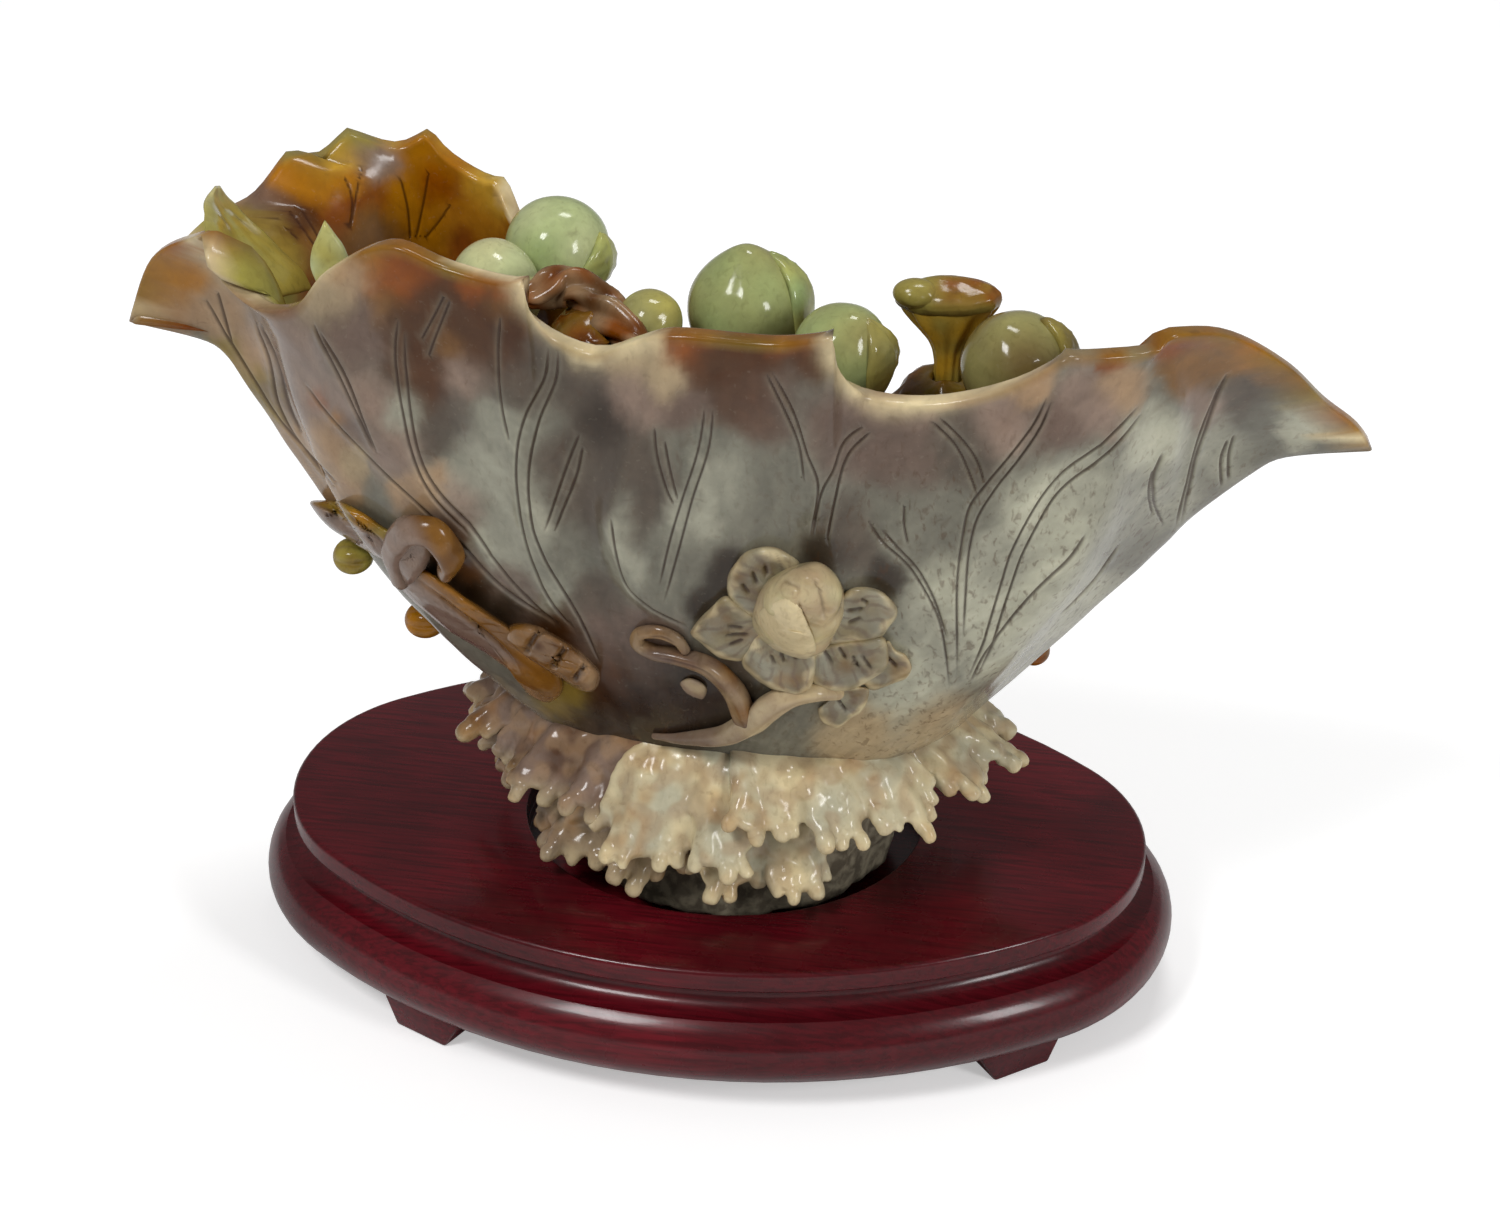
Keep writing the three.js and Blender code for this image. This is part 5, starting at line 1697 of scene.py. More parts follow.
@dataclass
class OvalStand:
    """The two-board stand: a moulded base, a top board with a recess, and four bracket feet."""

    length: float = 195
    depth: float = 126
    end_radius: float = 44.5
    set_back: float = 6
    foot_height: float = 6
    moulding_radius: float = 8.9
    arris_inset: float = 4.2
    cove_inset: float = 9.3
    cove_height: float = 5.2
    top_inset: float = 6.3
    top_thickness: float = 5
    recess_size: tuple[float, float] = (84, 74)
    recess_offset: float = 2
    pocket_depth: float = 2
    glue_line: float = 0.3
    bead_radius: float = 1.1
    cove_sweep: float = 0.66
    cutter_room: float = 4
    base_bevel: float = 0.35
    top_bevel: float = 0.45
    foot_bevel: float = 0.7
    moulding_steps: int = 14
    cove_steps: int = 10
    bead_steps: int = 8
    arc_steps: int = 24
    foot_nodes: tuple = ("foot_front_left", "foot_front_right", "foot_back_left", "foot_back_right")

    def heights(self) -> tuple[float, float, float]:
        """Gives the heights of the arris, the base board's top and the stand's top.

        Returns:
            The three heights in millimetres.
        """
        angle = math.acos(1 - self.arris_inset / self.moulding_radius)
        arris = self.foot_height + self.moulding_radius * (1 + math.sin(angle))
        base_top = arris + self.cove_height
        return arris, base_top, base_top + self.glue_line + self.top_thickness

    def oval(self, inset: float) -> list[tuple[float, float]]:
        """Draws the four-centre oval, drawn in by an inset.

        Args:
            inset: How far it is drawn in.

        Returns:
            The outline's points, round the oval.
        """
        end_offset = self.length / 2 - self.end_radius
        rise = self.depth / 2 - self.end_radius
        side_offset = (end_offset**2 - rise**2) / (2 * rise)
        turn = math.atan2(side_offset, end_offset)
        end = self.end_radius - inset
        side = self.depth / 2 + side_offset - inset
        arcs = [
            (end_offset, 0, end, -turn, turn),
            (0, -side_offset, side, turn, math.pi - turn),
            (-end_offset, 0, end, math.pi - turn, math.pi + turn),
            (0, side_offset, side, math.pi + turn, 2 * math.pi - turn),
        ]
        ring = []
        for x, y, radius, start, stop in arcs:
            for k in range(self.arc_steps):
                angle = lerp(start, stop, k / self.arc_steps)
                ring.append((x + radius * math.cos(angle), y + radius * math.sin(angle)))
        return ring

    def turned(self, name: str, profile: list[tuple[float, float]]) -> bpy.types.Object:
        """Shapes a board from an oval disc, drawn up and in along a profile.

        Args:
            name: The board's name.
            profile: Insets and heights from the underside to the top.

        Returns:
            The board, in its place.
        """
        bpy.ops.object.select_all(action="DESELECT")
        sides = 4 * self.arc_steps
        bpy.ops.mesh.primitive_circle_add(vertices=sides, radius=1, fill_type="NGON")
        made = bpy.context.active_object
        made.name = made.data.name = name
        for vertex, (x, y) in zip(made.data.vertices, self.oval(profile[0][0])):
            vertex.co = ((x - self.set_back) * MM, y * MM, profile[0][1] * MM)
        bpy.ops.object.mode_set(mode="EDIT")
        bpy.ops.mesh.select_all(action="SELECT")
        bpy.ops.mesh.normals_make_consistent(inside=False)
        for inset, height in profile[1:]:
            bpy.ops.mesh.extrude_region_move()
            self.reshape(made, inset, height)
        bpy.ops.mesh.select_all(action="SELECT")
        bpy.ops.mesh.normals_make_consistent(inside=False)
        bpy.ops.object.mode_set(mode="OBJECT")
        return made

    def reshape(self, board: bpy.types.Object, inset: float, height: float) -> None:
        """Moves the selected ring of a board onto the oval at an inset and a height.

        Args:
            board: The board in edit mode.
            inset: How far the oval is drawn in.
            height: The ring's height.
        """
        work = bmesh.from_edit_mesh(board.data)
        ring = [v for v in work.verts if v.select]
        outline = self.oval(inset)
        start = math.atan2(outline[0][1], outline[0][0])
        centre_x = -self.set_back * MM
        ring.sort(key=lambda v: (math.atan2(v.co.y, v.co.x - centre_x) - start + 1e-3) % (2 * math.pi))
        for vertex, (x, y) in zip(ring, outline):
            vertex.co = ((x - self.set_back) * MM, y * MM, height * MM)
        bmesh.update_edit_mesh(board.data)

    def cut_recess(self, board: bpy.types.Object, low: float, high: float) -> None:
        """Cuts the oval recess between two heights with a boolean.

        Args:
            board: The board to cut.
            low: The recess's floor.
            high: The cutter's top.
        """
        bpy.ops.object.select_all(action="DESELECT")
        place = (self.recess_offset - self.set_back, 0, (low + high) / 2)
        bpy.ops.mesh.primitive_cylinder_add(vertices=96, radius=1, depth=1, location=Vector(place) * MM)
        cutter = bpy.context.active_object
        half = Vector(self.recess_size) / 2
        cutter.scale = (half.x * MM, half.y * MM, (high - low) * MM)
        bpy.ops.object.transform_apply(location=True, rotation=True, scale=True)
        apply_modifier(board, "BOOLEAN", operation="DIFFERENCE", object=cutter, solver="EXACT")
        bpy.data.objects.remove(cutter)

    def finish_edges(self, board: bpy.types.Object, width: float) -> None:
        """Breaks the sharp edges and shades the rest smooth.

        Args:
            board: The piece to work on.
            width: The bevel's width in millimetres.
        """
        apply_modifier(
            board, "BEVEL", width=width * MM, segments=3, limit_method="ANGLE", angle_limit=math.radians(38),
            harden_normals=False,
        )
        only(board)
        bpy.ops.object.shade_smooth_by_angle(angle=math.radians(32))

    def base_board(self) -> bpy.types.Object:
        """Shapes the base board: torus, arris, cove and fillet.

        Returns:
            The board.
        """
        arris, base_top, _ = self.heights()
        centre = self.foot_height + self.moulding_radius
        end_angle = math.asin((arris - centre) / self.moulding_radius)
        profile = []
        for k in range(self.moulding_steps + 1):
            angle = lerp(-math.pi / 2, end_angle, k / self.moulding_steps)
            inset = self.moulding_radius * (1 - math.cos(angle))
            profile.append((inset, centre + self.moulding_radius * math.sin(angle)))
        for k in range(1, self.cove_steps + 1):
            angle = math.pi / 2 * k / self.cove_steps
            inset = lerp(self.arris_inset, self.cove_inset, math.sin(angle))
            profile.append((inset, arris + self.cove_height * self.cove_sweep * (1 - math.cos(angle))))
        profile.append((self.cove_inset, base_top))
        board = self.turned("base_board", profile)
        self.cut_recess(board, base_top - self.pocket_depth, base_top + self.cutter_room)
        self.finish_edges(board, self.base_bevel)
        return board

    def top_board(self) -> bpy.types.Object:
        """Shapes the top board with its rounded edge and its recess.

        Returns:
            The board.
        """
        _, base_top, top = self.heights()
        low = base_top + self.glue_line
        profile = []
        bead = self.bead_radius
        for k in range(self.bead_steps + 1):
            angle = lerp(-math.pi / 2, math.pi / 2, k / self.bead_steps)
            lift = bead * (1 + math.sin(angle))
            height = low + lift if k < self.bead_steps // 2 else top - 2 * bead + lift
            profile.append((self.top_inset + bead * (1 - math.cos(angle)), height))
        board = self.turned("top_board", profile)
        self.cut_recess(board, low - self.cutter_room, top + self.cutter_room)
        self.finish_edges(board, self.top_bevel)
        return board

    def foot(self, node: str) -> bpy.types.Object:
        """Copies a bracket foot and eases its edges.

        Args:
            node: The foot's CAD node.

        Returns:
            The foot.
        """
        made = carved_copy(node, node + "_bracket", 0, 0)
        only(made)
        bpy.ops.object.mode_set(mode="EDIT")
        bpy.ops.mesh.select_all(action="SELECT")
        bpy.ops.mesh.dissolve_limited(angle_limit=math.radians(1))
        bpy.ops.object.mode_set(mode="OBJECT")
        self.finish_edges(made, self.foot_bevel)
        return made

    def build(self) -> None:
        """Builds and dresses the stand's pieces."""
        lacquer = LACQUER.material()
        hand_over(self.base_board(), Body.STAND, lacquer, ["stand_base_board"])
        hand_over(self.top_board(), Body.STAND, lacquer, ["stand_top_board"])
        for node in self.foot_nodes:
            hand_over(self.foot(node), Body.STAND, lacquer, [node])


# Shapes that the carved motifs share


class Solids:
    """Makes the round, swept and leaf-like solids of the carved motifs, in millimetres."""

    @staticmethod
    def ball(name: str, radii: tuple, sides: int = 48, rings: int = 32) -> bpy.types.Object:
        """Adds a sphere and draws it out to three radii.

        Args:
            name: The object's name.
            radii: The three radii.
            sides: Points round it.
            rings: Points from pole to pole.

        Returns:
            The ball at the origin.
        """
        bpy.ops.object.select_all(action="DESELECT")
        bpy.ops.mesh.primitive_uv_sphere_add(segments=sides, ring_count=rings, radius=MM)
        made = bpy.context.active_object
        made.name = made.data.name = name
        bpy.ops.object.mode_set(mode="EDIT")
        bpy.ops.mesh.select_all(action="SELECT")
        bpy.ops.transform.resize(value=radii)
        bpy.ops.object.mode_set(mode="OBJECT")
        made.data.shade_smooth()
        return made

    @staticmethod
    def sweep(
        name: str, points: list, radii: list, sides: int = 20, lobes: tuple = (0, 0, 0),
    ) -> bpy.types.Object:
        """Sweeps a round or lobed section along a curve, with rounded ends.

        Args:
            name: The object's name.
            points: Places that the curve passes.
            radii: The section's radius at places spread evenly along the curve.
            sides: Points round the section.
            lobes: How many lobes the section has, their depth as a share, and their twist in turns.

        Returns:
            The closed solid.
        """
        steps = 14 * (len(points) - 1)
        line = flowing_line(points, steps)
        share = np.linspace(0, 1, steps + 1)
        radius = np.interp(share, np.linspace(0, 1, len(radii)), radii)
        run = unit(np.gradient(line, axis=0))
        side = np.cross(run[0], [0, 0, 1]) if abs(run[0][2]) < 0.9 else np.cross(run[0], [0, 1, 0])
        side = unit(side)
        angles = np.linspace(0, 2 * math.pi, sides, endpoint=False)
        count, depth, twist = lobes
        rings = []
        extra = [(0, -0.92, 0.4), (0, -0.7, 0.72), (0, -0.38, 0.93)]
        places = [(i, o, r) for i, o, r in extra] + [(i, 0, 1) for i in range(steps + 1)]
        places += [(steps, -o, r) for _, o, r in reversed(extra)]
        frames = []
        for direction in run:
            side = unit(side - direction * (side @ direction))
            frames.append((side, np.cross(direction, side)))
        for i, shift, size in places:
            across, up = frames[i]
            centre = line[i] + run[i] * shift * radius[i]
            wave = 1 + depth * np.cos(count * (angles + 2 * math.pi * twist * share[i]))
            reach = (radius[i] * size * wave)[:, None]
            rings.append(centre + reach * (np.cos(angles)[:, None] * across + np.sin(angles)[:, None] * up))
        return Mesher.rings(name, np.array(rings))

    @staticmethod
    def blade(
        name: str, root: np.ndarray, tip: np.ndarray, face: np.ndarray, half_width: float,
        thickness: float, cup: float, outline: tuple, steps: int = 28,
    ) -> bpy.types.Object:
        """Makes a leaf or petal between its root and its tip.

        Args:
            name: The object's name.
            root: Where the blade starts.
            tip: Where it ends.
            face: The direction that its upper side faces.
            half_width: Half the width at the widest place.
            thickness: The thickness in the middle.
            cup: How far the borders rise over the midrib.
            outline: Half widths as shares, spread evenly from the root to the tip.
            steps: How many steps the grid has each way.

        Returns:
            The closed blade.
        """
        axis = tip - root
        side = unit(np.cross(axis, face))
        up = unit(np.cross(side, axis))
        down = np.linspace(0, 1, steps + 1)
        even = np.linspace(0, 1, len(outline))
        widths = flowing_line([(e, w, 0) for e, w in zip(even, outline)], steps * 2)
        width = np.interp(down, widths[:, 0], widths[:, 1]) * half_width
        across = np.sin(np.linspace(-1, 1, steps + 1) * math.pi / 2)
        grid_down, grid_across = np.meshgrid(down, across, indexing="ij")
        base = root + grid_down[..., None] * axis + (grid_across * width[:, None])[..., None] * side
        rise = cup * (grid_across**2 * 0.6 + grid_down**2 * 0.4)
        ends = np.sqrt(np.clip(1 - (2 * grid_down - 1) ** 6, 0, 1))
        body = np.sqrt(np.clip(1 - grid_across**4, 0, 1)) * ends
        front = base + (rise + thickness * 0.5 * body)[..., None] * up
        back = base + (rise - thickness * 0.5 * body)[..., None] * up
        return Mesher.pillow(name, front, back)


def read(piece: bpy.types.Object, name: str) -> np.ndarray:
    """Reads one of the numbers kept at a piece's points.

    Args:
        piece: The piece to read.
        name: The attribute's name.

    Returns:
        One number for each point.
    """
    values = np.zeros(len(piece.data.vertices), np.float32)
    piece.data.attributes[name].data.foreach_get("value", values)
    return values.astype(float)


def tint(piece: bpy.types.Object, hues: list, weights: list, groove: np.ndarray | None = None) -> None:
    """Paints a piece with hues mixed by weights, and keeps its groove and fleck numbers.

    Args:
        piece: The piece to paint.
        hues: The hues, the first of which lies under the others.
        weights: The weight of each later hue at each point, 0 to 1.
        groove: How deep each point lies in a groove, 0 to 1.
    """
    count = len(piece.data.vertices)
    colour = np.tile(hues[0].light(), (count, 1))
    for hue, weight in zip(hues[1:], weights):
        colour = lerp(colour, hue.light(), np.clip(weight, 0, 1)[:, None])
    store_colour(piece, "paint", colour)
    store(piece, "groove", np.zeros(count) if groove is None else groove)
    store(piece, "fleck", np.full(count, 0.35))


def mottled(piece: bpy.types.Object, size: float, seed: float) -> np.ndarray:
    """Gives a soft pattern from 0 to 1 over a piece, whose swells have a size in millimetres."""
    return np.clip(drift(points_of(piece), size, seed)[:, 0] * 1.1 + 0.5, 0, 1)


def ruffle(piece: bpy.types.Object, amount: float, size: float, seed: float) -> None:
    """Works a piece's skin in and out, as by hand.

    Args:
        piece: The piece to work on.
        amount: How far the skin moves at most.
        size: The width of a swell in millimetres.
        seed: Shifts the pattern.
    """
    points = points_of(piece)
    wave = drift(points, size, seed)[:, 0:1] * amount
    place_points(piece, points + normals_of(piece) * wave)


@dataclass
class Wall:
    """The leaf's skin, on which the motifs are seated."""

    leaf: bpy.types.Object
    ray_step: float = 0.05
    search_reach: int = 120
    search_step: int = 3
    least_lean: float = 0.35
    border_steps: int = 12
    sink: float = 0.9
    skin: BVHTree = field(init=False)

    def __post_init__(self) -> None:
        """Keeps the leaf's outer faces and its lip for the rays."""
        mesh = self.leaf.data
        zone = read(self.leaf, "zone")
        faces = [tuple(p.vertices) for p in mesh.polygons if zone[p.vertices[0]] > -0.5]
        self.skin = BVHTree.FromPolygons([v.co / MM for v in mesh.vertices], faces)

    def at(self, pixel: tuple, lift: float) -> np.ndarray:
        """Finds the place that shows at a photograph pixel, lifted off the wall.

        A ray that misses the wall takes the place on the ray that lies nearest to it.

        Args:
            pixel: The photograph's pixel.
            lift: The height over the wall in millimetres.

        Returns:
            The place.
        """
        ray = unit(PHOTO.ray(pixel))
        start = np.array(PHOTO.place)
        place, normal, _, _ = self.skin.ray_cast(Vector(start), Vector(ray))
        while place is not None and np.array(normal) @ ray > 0:
            place, normal, _, _ = self.skin.ray_cast(place + Vector(ray) * self.ray_step, Vector(ray))
        if place is None:
            middle = np.linalg.norm(np.array(PHOTO.target) - start)
            steps = range(-self.search_reach, self.search_reach + 1, self.search_step)
            trials = [Vector(start + ray * (middle + step)) for step in steps]
            place = min(trials, key=lambda trial: self.skin.find_nearest(trial)[3])
            normal = self.skin.find_nearest(place)[1]
        lean = max(self.least_lean, -(ray @ np.array(normal)))
        return np.array(place) - ray * lift / lean

    def line(self, pixels: tuple, lifts: tuple) -> list:
        """Finds places over the wall along a line of pixels."""
        return [self.at(pixel, lift) for pixel, lift in zip(pixels, lifts)]

    def relief(
        self, name: str, border: tuple, centre: tuple, profile: Callable, rings: int = 18, sides: int = 96,
    ) -> bpy.types.Object:
        """Carves a low form out of the wall, with a border drawn over the photograph.

        Args:
            name: The object's name.
            border: The pixels of the closed border.
            centre: The pixel from which the form spreads.
            profile: Gives the height over the wall from the share of the way to the border and the pixel.
            rings: How many rings lie between the centre and the border.
            sides: How many points lie round the border.

        Returns:
            The closed form, with the attribute "reach" from 0 at the centre to 1 at the border.
        """
        once = self.border_steps * len(border)
        loop = flowing_line(list(border) * 3, 3 * once)[once : 2 * once]
        travel = np.concatenate([[0], np.cumsum(np.linalg.norm(np.diff(loop, axis=0), axis=1))])
        even = np.linspace(0, travel[-1], sides, endpoint=False)
        edge = np.stack([np.interp(even, travel, loop[:, a]) for a in range(2)], 1)
        heart = np.array(centre, float)
        shares = np.linspace(0.06, 1, rings) ** 0.8
        rows, reach = [], []
        for share in shares:
            spots = heart + share * (edge - heart)
            rows.append([self.at(tuple(spot), float(profile(share, spot))) for spot in spots])
            reach.append(np.full(sides, share))
        for share in (1, 0.6, 0.2):
            spots = heart + share * (edge - heart)
            rows.append([self.at(tuple(spot), -self.sink) for spot in spots])
            reach.append(np.full(sides, 1.0))
        made = Mesher.rings(name, np.array(rows))
        store(made, "reach", np.concatenate(reach + [np.array([0.0, 1.0])]))
        return made


def grooved(piece: bpy.types.Object, marks: tuple, width: float, depth: float) -> np.ndarray:
    """Cuts lines drawn over the photograph into a piece.

    Args:
        piece: The piece to cut.
        marks: The lines' pixels.
        width: Half a line's width in pixels.
        depth: The depth in millimetres.

    Returns:
        How deep each point lies in a line, 0 to 1.
    """
    points, normals = points_of(piece), normals_of(piece)
    pixels = PHOTO.pixels(points)
    facing = smooth_step(np.einsum("ij,ij->i", normals, unit(np.array(PHOTO.place) - points)), 0.1, 0.4)
    groove = np.zeros(len(points))
    for mark in marks:
        groove = np.maximum(groove, Line(mark, width, 0).weights(pixels, 0.25) * facing)
    place_points(piece, points - normals * (depth * groove)[:, None])
    return groove


# Fruit


@dataclass(frozen=True)
class PeachSpec:
    """One peach: its place as shares of the leaf's half length, reach and rise, its size and its turns."""

    node: str
    place: tuple
    radius: float
    height: float
    tip: float
    tilt: tuple
    hues: tuple


class Jade(Tone):
    """The greens of the fruit and the small leaves."""

    APPLE = "96a66e"
    MINT = "b4ba8a"
    LEAF = "95905a"
    MOSS = "74633a"
    LIME = "aea24c"
    BARK = "5c4416"
    MILK = "bfb686"


@dataclass
class Fruit:
    """The peaches and the thin leaves that hug them."""

    form: LeafForm
    specs: tuple = (
        PeachSpec("peach_back", (-0.327, 0.278, 0.754), 10.6, 20.6, 0.6, (0.2, 0.5), (Jade.APPLE, Jade.MINT)),
        PeachSpec("peach_left", (-0.398, -0.037, 0.751), 9.2, 17, 0.5, (0.3, 1.1), (Jade.MINT, Jade.MILK)),
        PeachSpec("peach_middle", (0.002, 0.056, 0.728), 11.8, 23, 2.4, (0.05, 0), (Jade.APPLE, Jade.LEAF)),
        PeachSpec("peach_front", (0.177, -0.26, 0.738), 9.6, 19, 1, (0.25, 0.4), (Jade.LEAF, Jade.APPLE)),
        PeachSpec("peach_right", (0.443, -0.148, 0.717), 10.8, 20.5, 0.8, (0.35, -0.3),
            (Jade.LEAF, Jade.MOSS)),
        PeachSpec("peach_small", (-0.126, -0.26, 0.761), 6.4, 12.5, 0.5, (0.2, 0.8), (Jade.LEAF, Jade.LIME)),
    )
    leaves: tuple = (
        ("peach_back_leaf", 0, (0.85, -0.3, -0.3), (-0.1, 0.2, 1), 1.7, 0.6, Jade.APPLE),
        ("peach_left_leaf", 1, (0.8, -0.45, -0.2), (0.2, -0.2, 1), 1.5, 0.6, Jade.MINT),
        ("peach_middle_leaf", 2, (0.9, 0.1, 0.12), (-0.35, 0.1, 1), 2.3, 0.6, Jade.APPLE),
        ("peach_front_leaf", 3, (0.88, -0.25, -0.05), (-0.3, 0, 1), 2.3, 0.62, Jade.LEAF),
        ("peach_right_leaf", 4, (0.88, 0.1, 0.15), (-0.35, 0, 1), 2, 0.5, Jade.MOSS),
    )

    def peach(self, spec: PeachSpec) -> bpy.types.Object:
        """Shapes a peach with its cleft and its pointed tip.

        Args:
            spec: The peach.

        Returns:
            The peach in its place.
        """
        made = Solids.ball(spec.node.replace("peach_", "jade_peach_"),
            (spec.radius, spec.radius, spec.height / 2))
        points = points_of(made)
        high = np.clip(points[:, 2] / (spec.height / 2), -1, 1)
        angle = np.arctan2(points[:, 1], points[:, 0]) + math.radians(100)
        cleft = np.exp(-((np.mod(angle + math.pi, 2 * math.pi) - math.pi) ** 2) / 0.03)
        cleft *= smooth_step(high, -0.4, 0.5)
        points[:, :2] *= (1 - 0.045 * cleft)[:, None]
        points[:, 2] += spec.tip * np.maximum(0, high) ** 10
        turn = Matrix.Rotation(spec.tilt[0], 3, "X") @ Matrix.Rotation(spec.tilt[1], 3, "Y")
        centre = self.form.place(spec.place)
        place_points(made, points @ np.array(turn).T + centre)
        ruffle(made, 0.18, 7, 3)
        clouds = mottled(made, 13, 11)
        shade = smooth_step(-points_of(made)[:, 2] + centre[2], -4, 9) * 0.5
        tint(made, [*spec.hues, Jade.BARK], [clouds, shade * mottled(made, 6, 30)], cleft * 0.25)
        return made

    def hugging_leaf(self, row: tuple) -> bpy.types.Object:
        """Bends a thin leaf with a midrib round a peach.

        Args:
            row: The node, the peach's number, the way the leaf faces and grows, its length and half width
                as angles, and its hue.

        Returns:
            The leaf.
        """
        node, index, towards, grows, long, wide, hue = row
        spec = self.specs[index]
        out = unit(np.array(towards, float))
        up = unit(np.array(grows, float) - out * (np.array(grows) @ out))
        side = np.cross(up, out)
        steps = 26
        down = np.linspace(-1, 1, steps + 1)
        across = np.sin(np.linspace(-1, 1, steps + 1) * math.pi / 2)
        width = wide * np.cos(down * math.pi / 2) ** 0.65
        grid_down, grid_across = np.meshgrid(down * long / 2, across, indexing="ij")
        spread = grid_across * width[:, None]
        heading = unit(
            np.cos(grid_down)[..., None] * np.cos(spread)[..., None] * out
            + np.sin(grid_down)[..., None] * up
            + np.cos(grid_down)[..., None] * np.sin(spread)[..., None] * side
        )
        edge = np.clip(1 - grid_across**4, 0, 1) * np.clip(1 - (down[:, None]) ** 8, 0, 1)
        rib = 0.3 * np.exp(-((grid_across / 0.12) ** 2))
        veins = 0.14 * np.cos(grid_down * 26 + np.abs(grid_across) * 6) * (1 - rib / 0.3) * edge
        wave = 0.3 * np.sin(grid_down * 5 + grid_across)
        base = spec.radius + 0.3 + wave
        centre = self.form.place(spec.place)
        front = centre + (base + 1.1 * np.sqrt(edge) + (rib + veins) * edge)[..., None] * heading
        back = centre + (base - 1.6 * np.sqrt(edge))[..., None] * heading
        made = Mesher.pillow(node.replace("peach_", "hugging_"), front, back)
        tint(made, [hue, Jade.LIME, Jade.BARK], [mottled(made, 7, 4) * 0.6, mottled(made, 5, 60) * 0.25])
        return made

    def build(self) -> None:
        """Builds the fruit and dresses it."""
        material = GREEN.material()
        for spec in self.specs:
            hand_over(self.peach(spec), Body.CARVING, material, [spec.node])
        for row in self.leaves:
            hand_over(self.hugging_leaf(row), Body.CARVING, material, [row[0]])


# Fungus, branch, bough and the small leaves inside


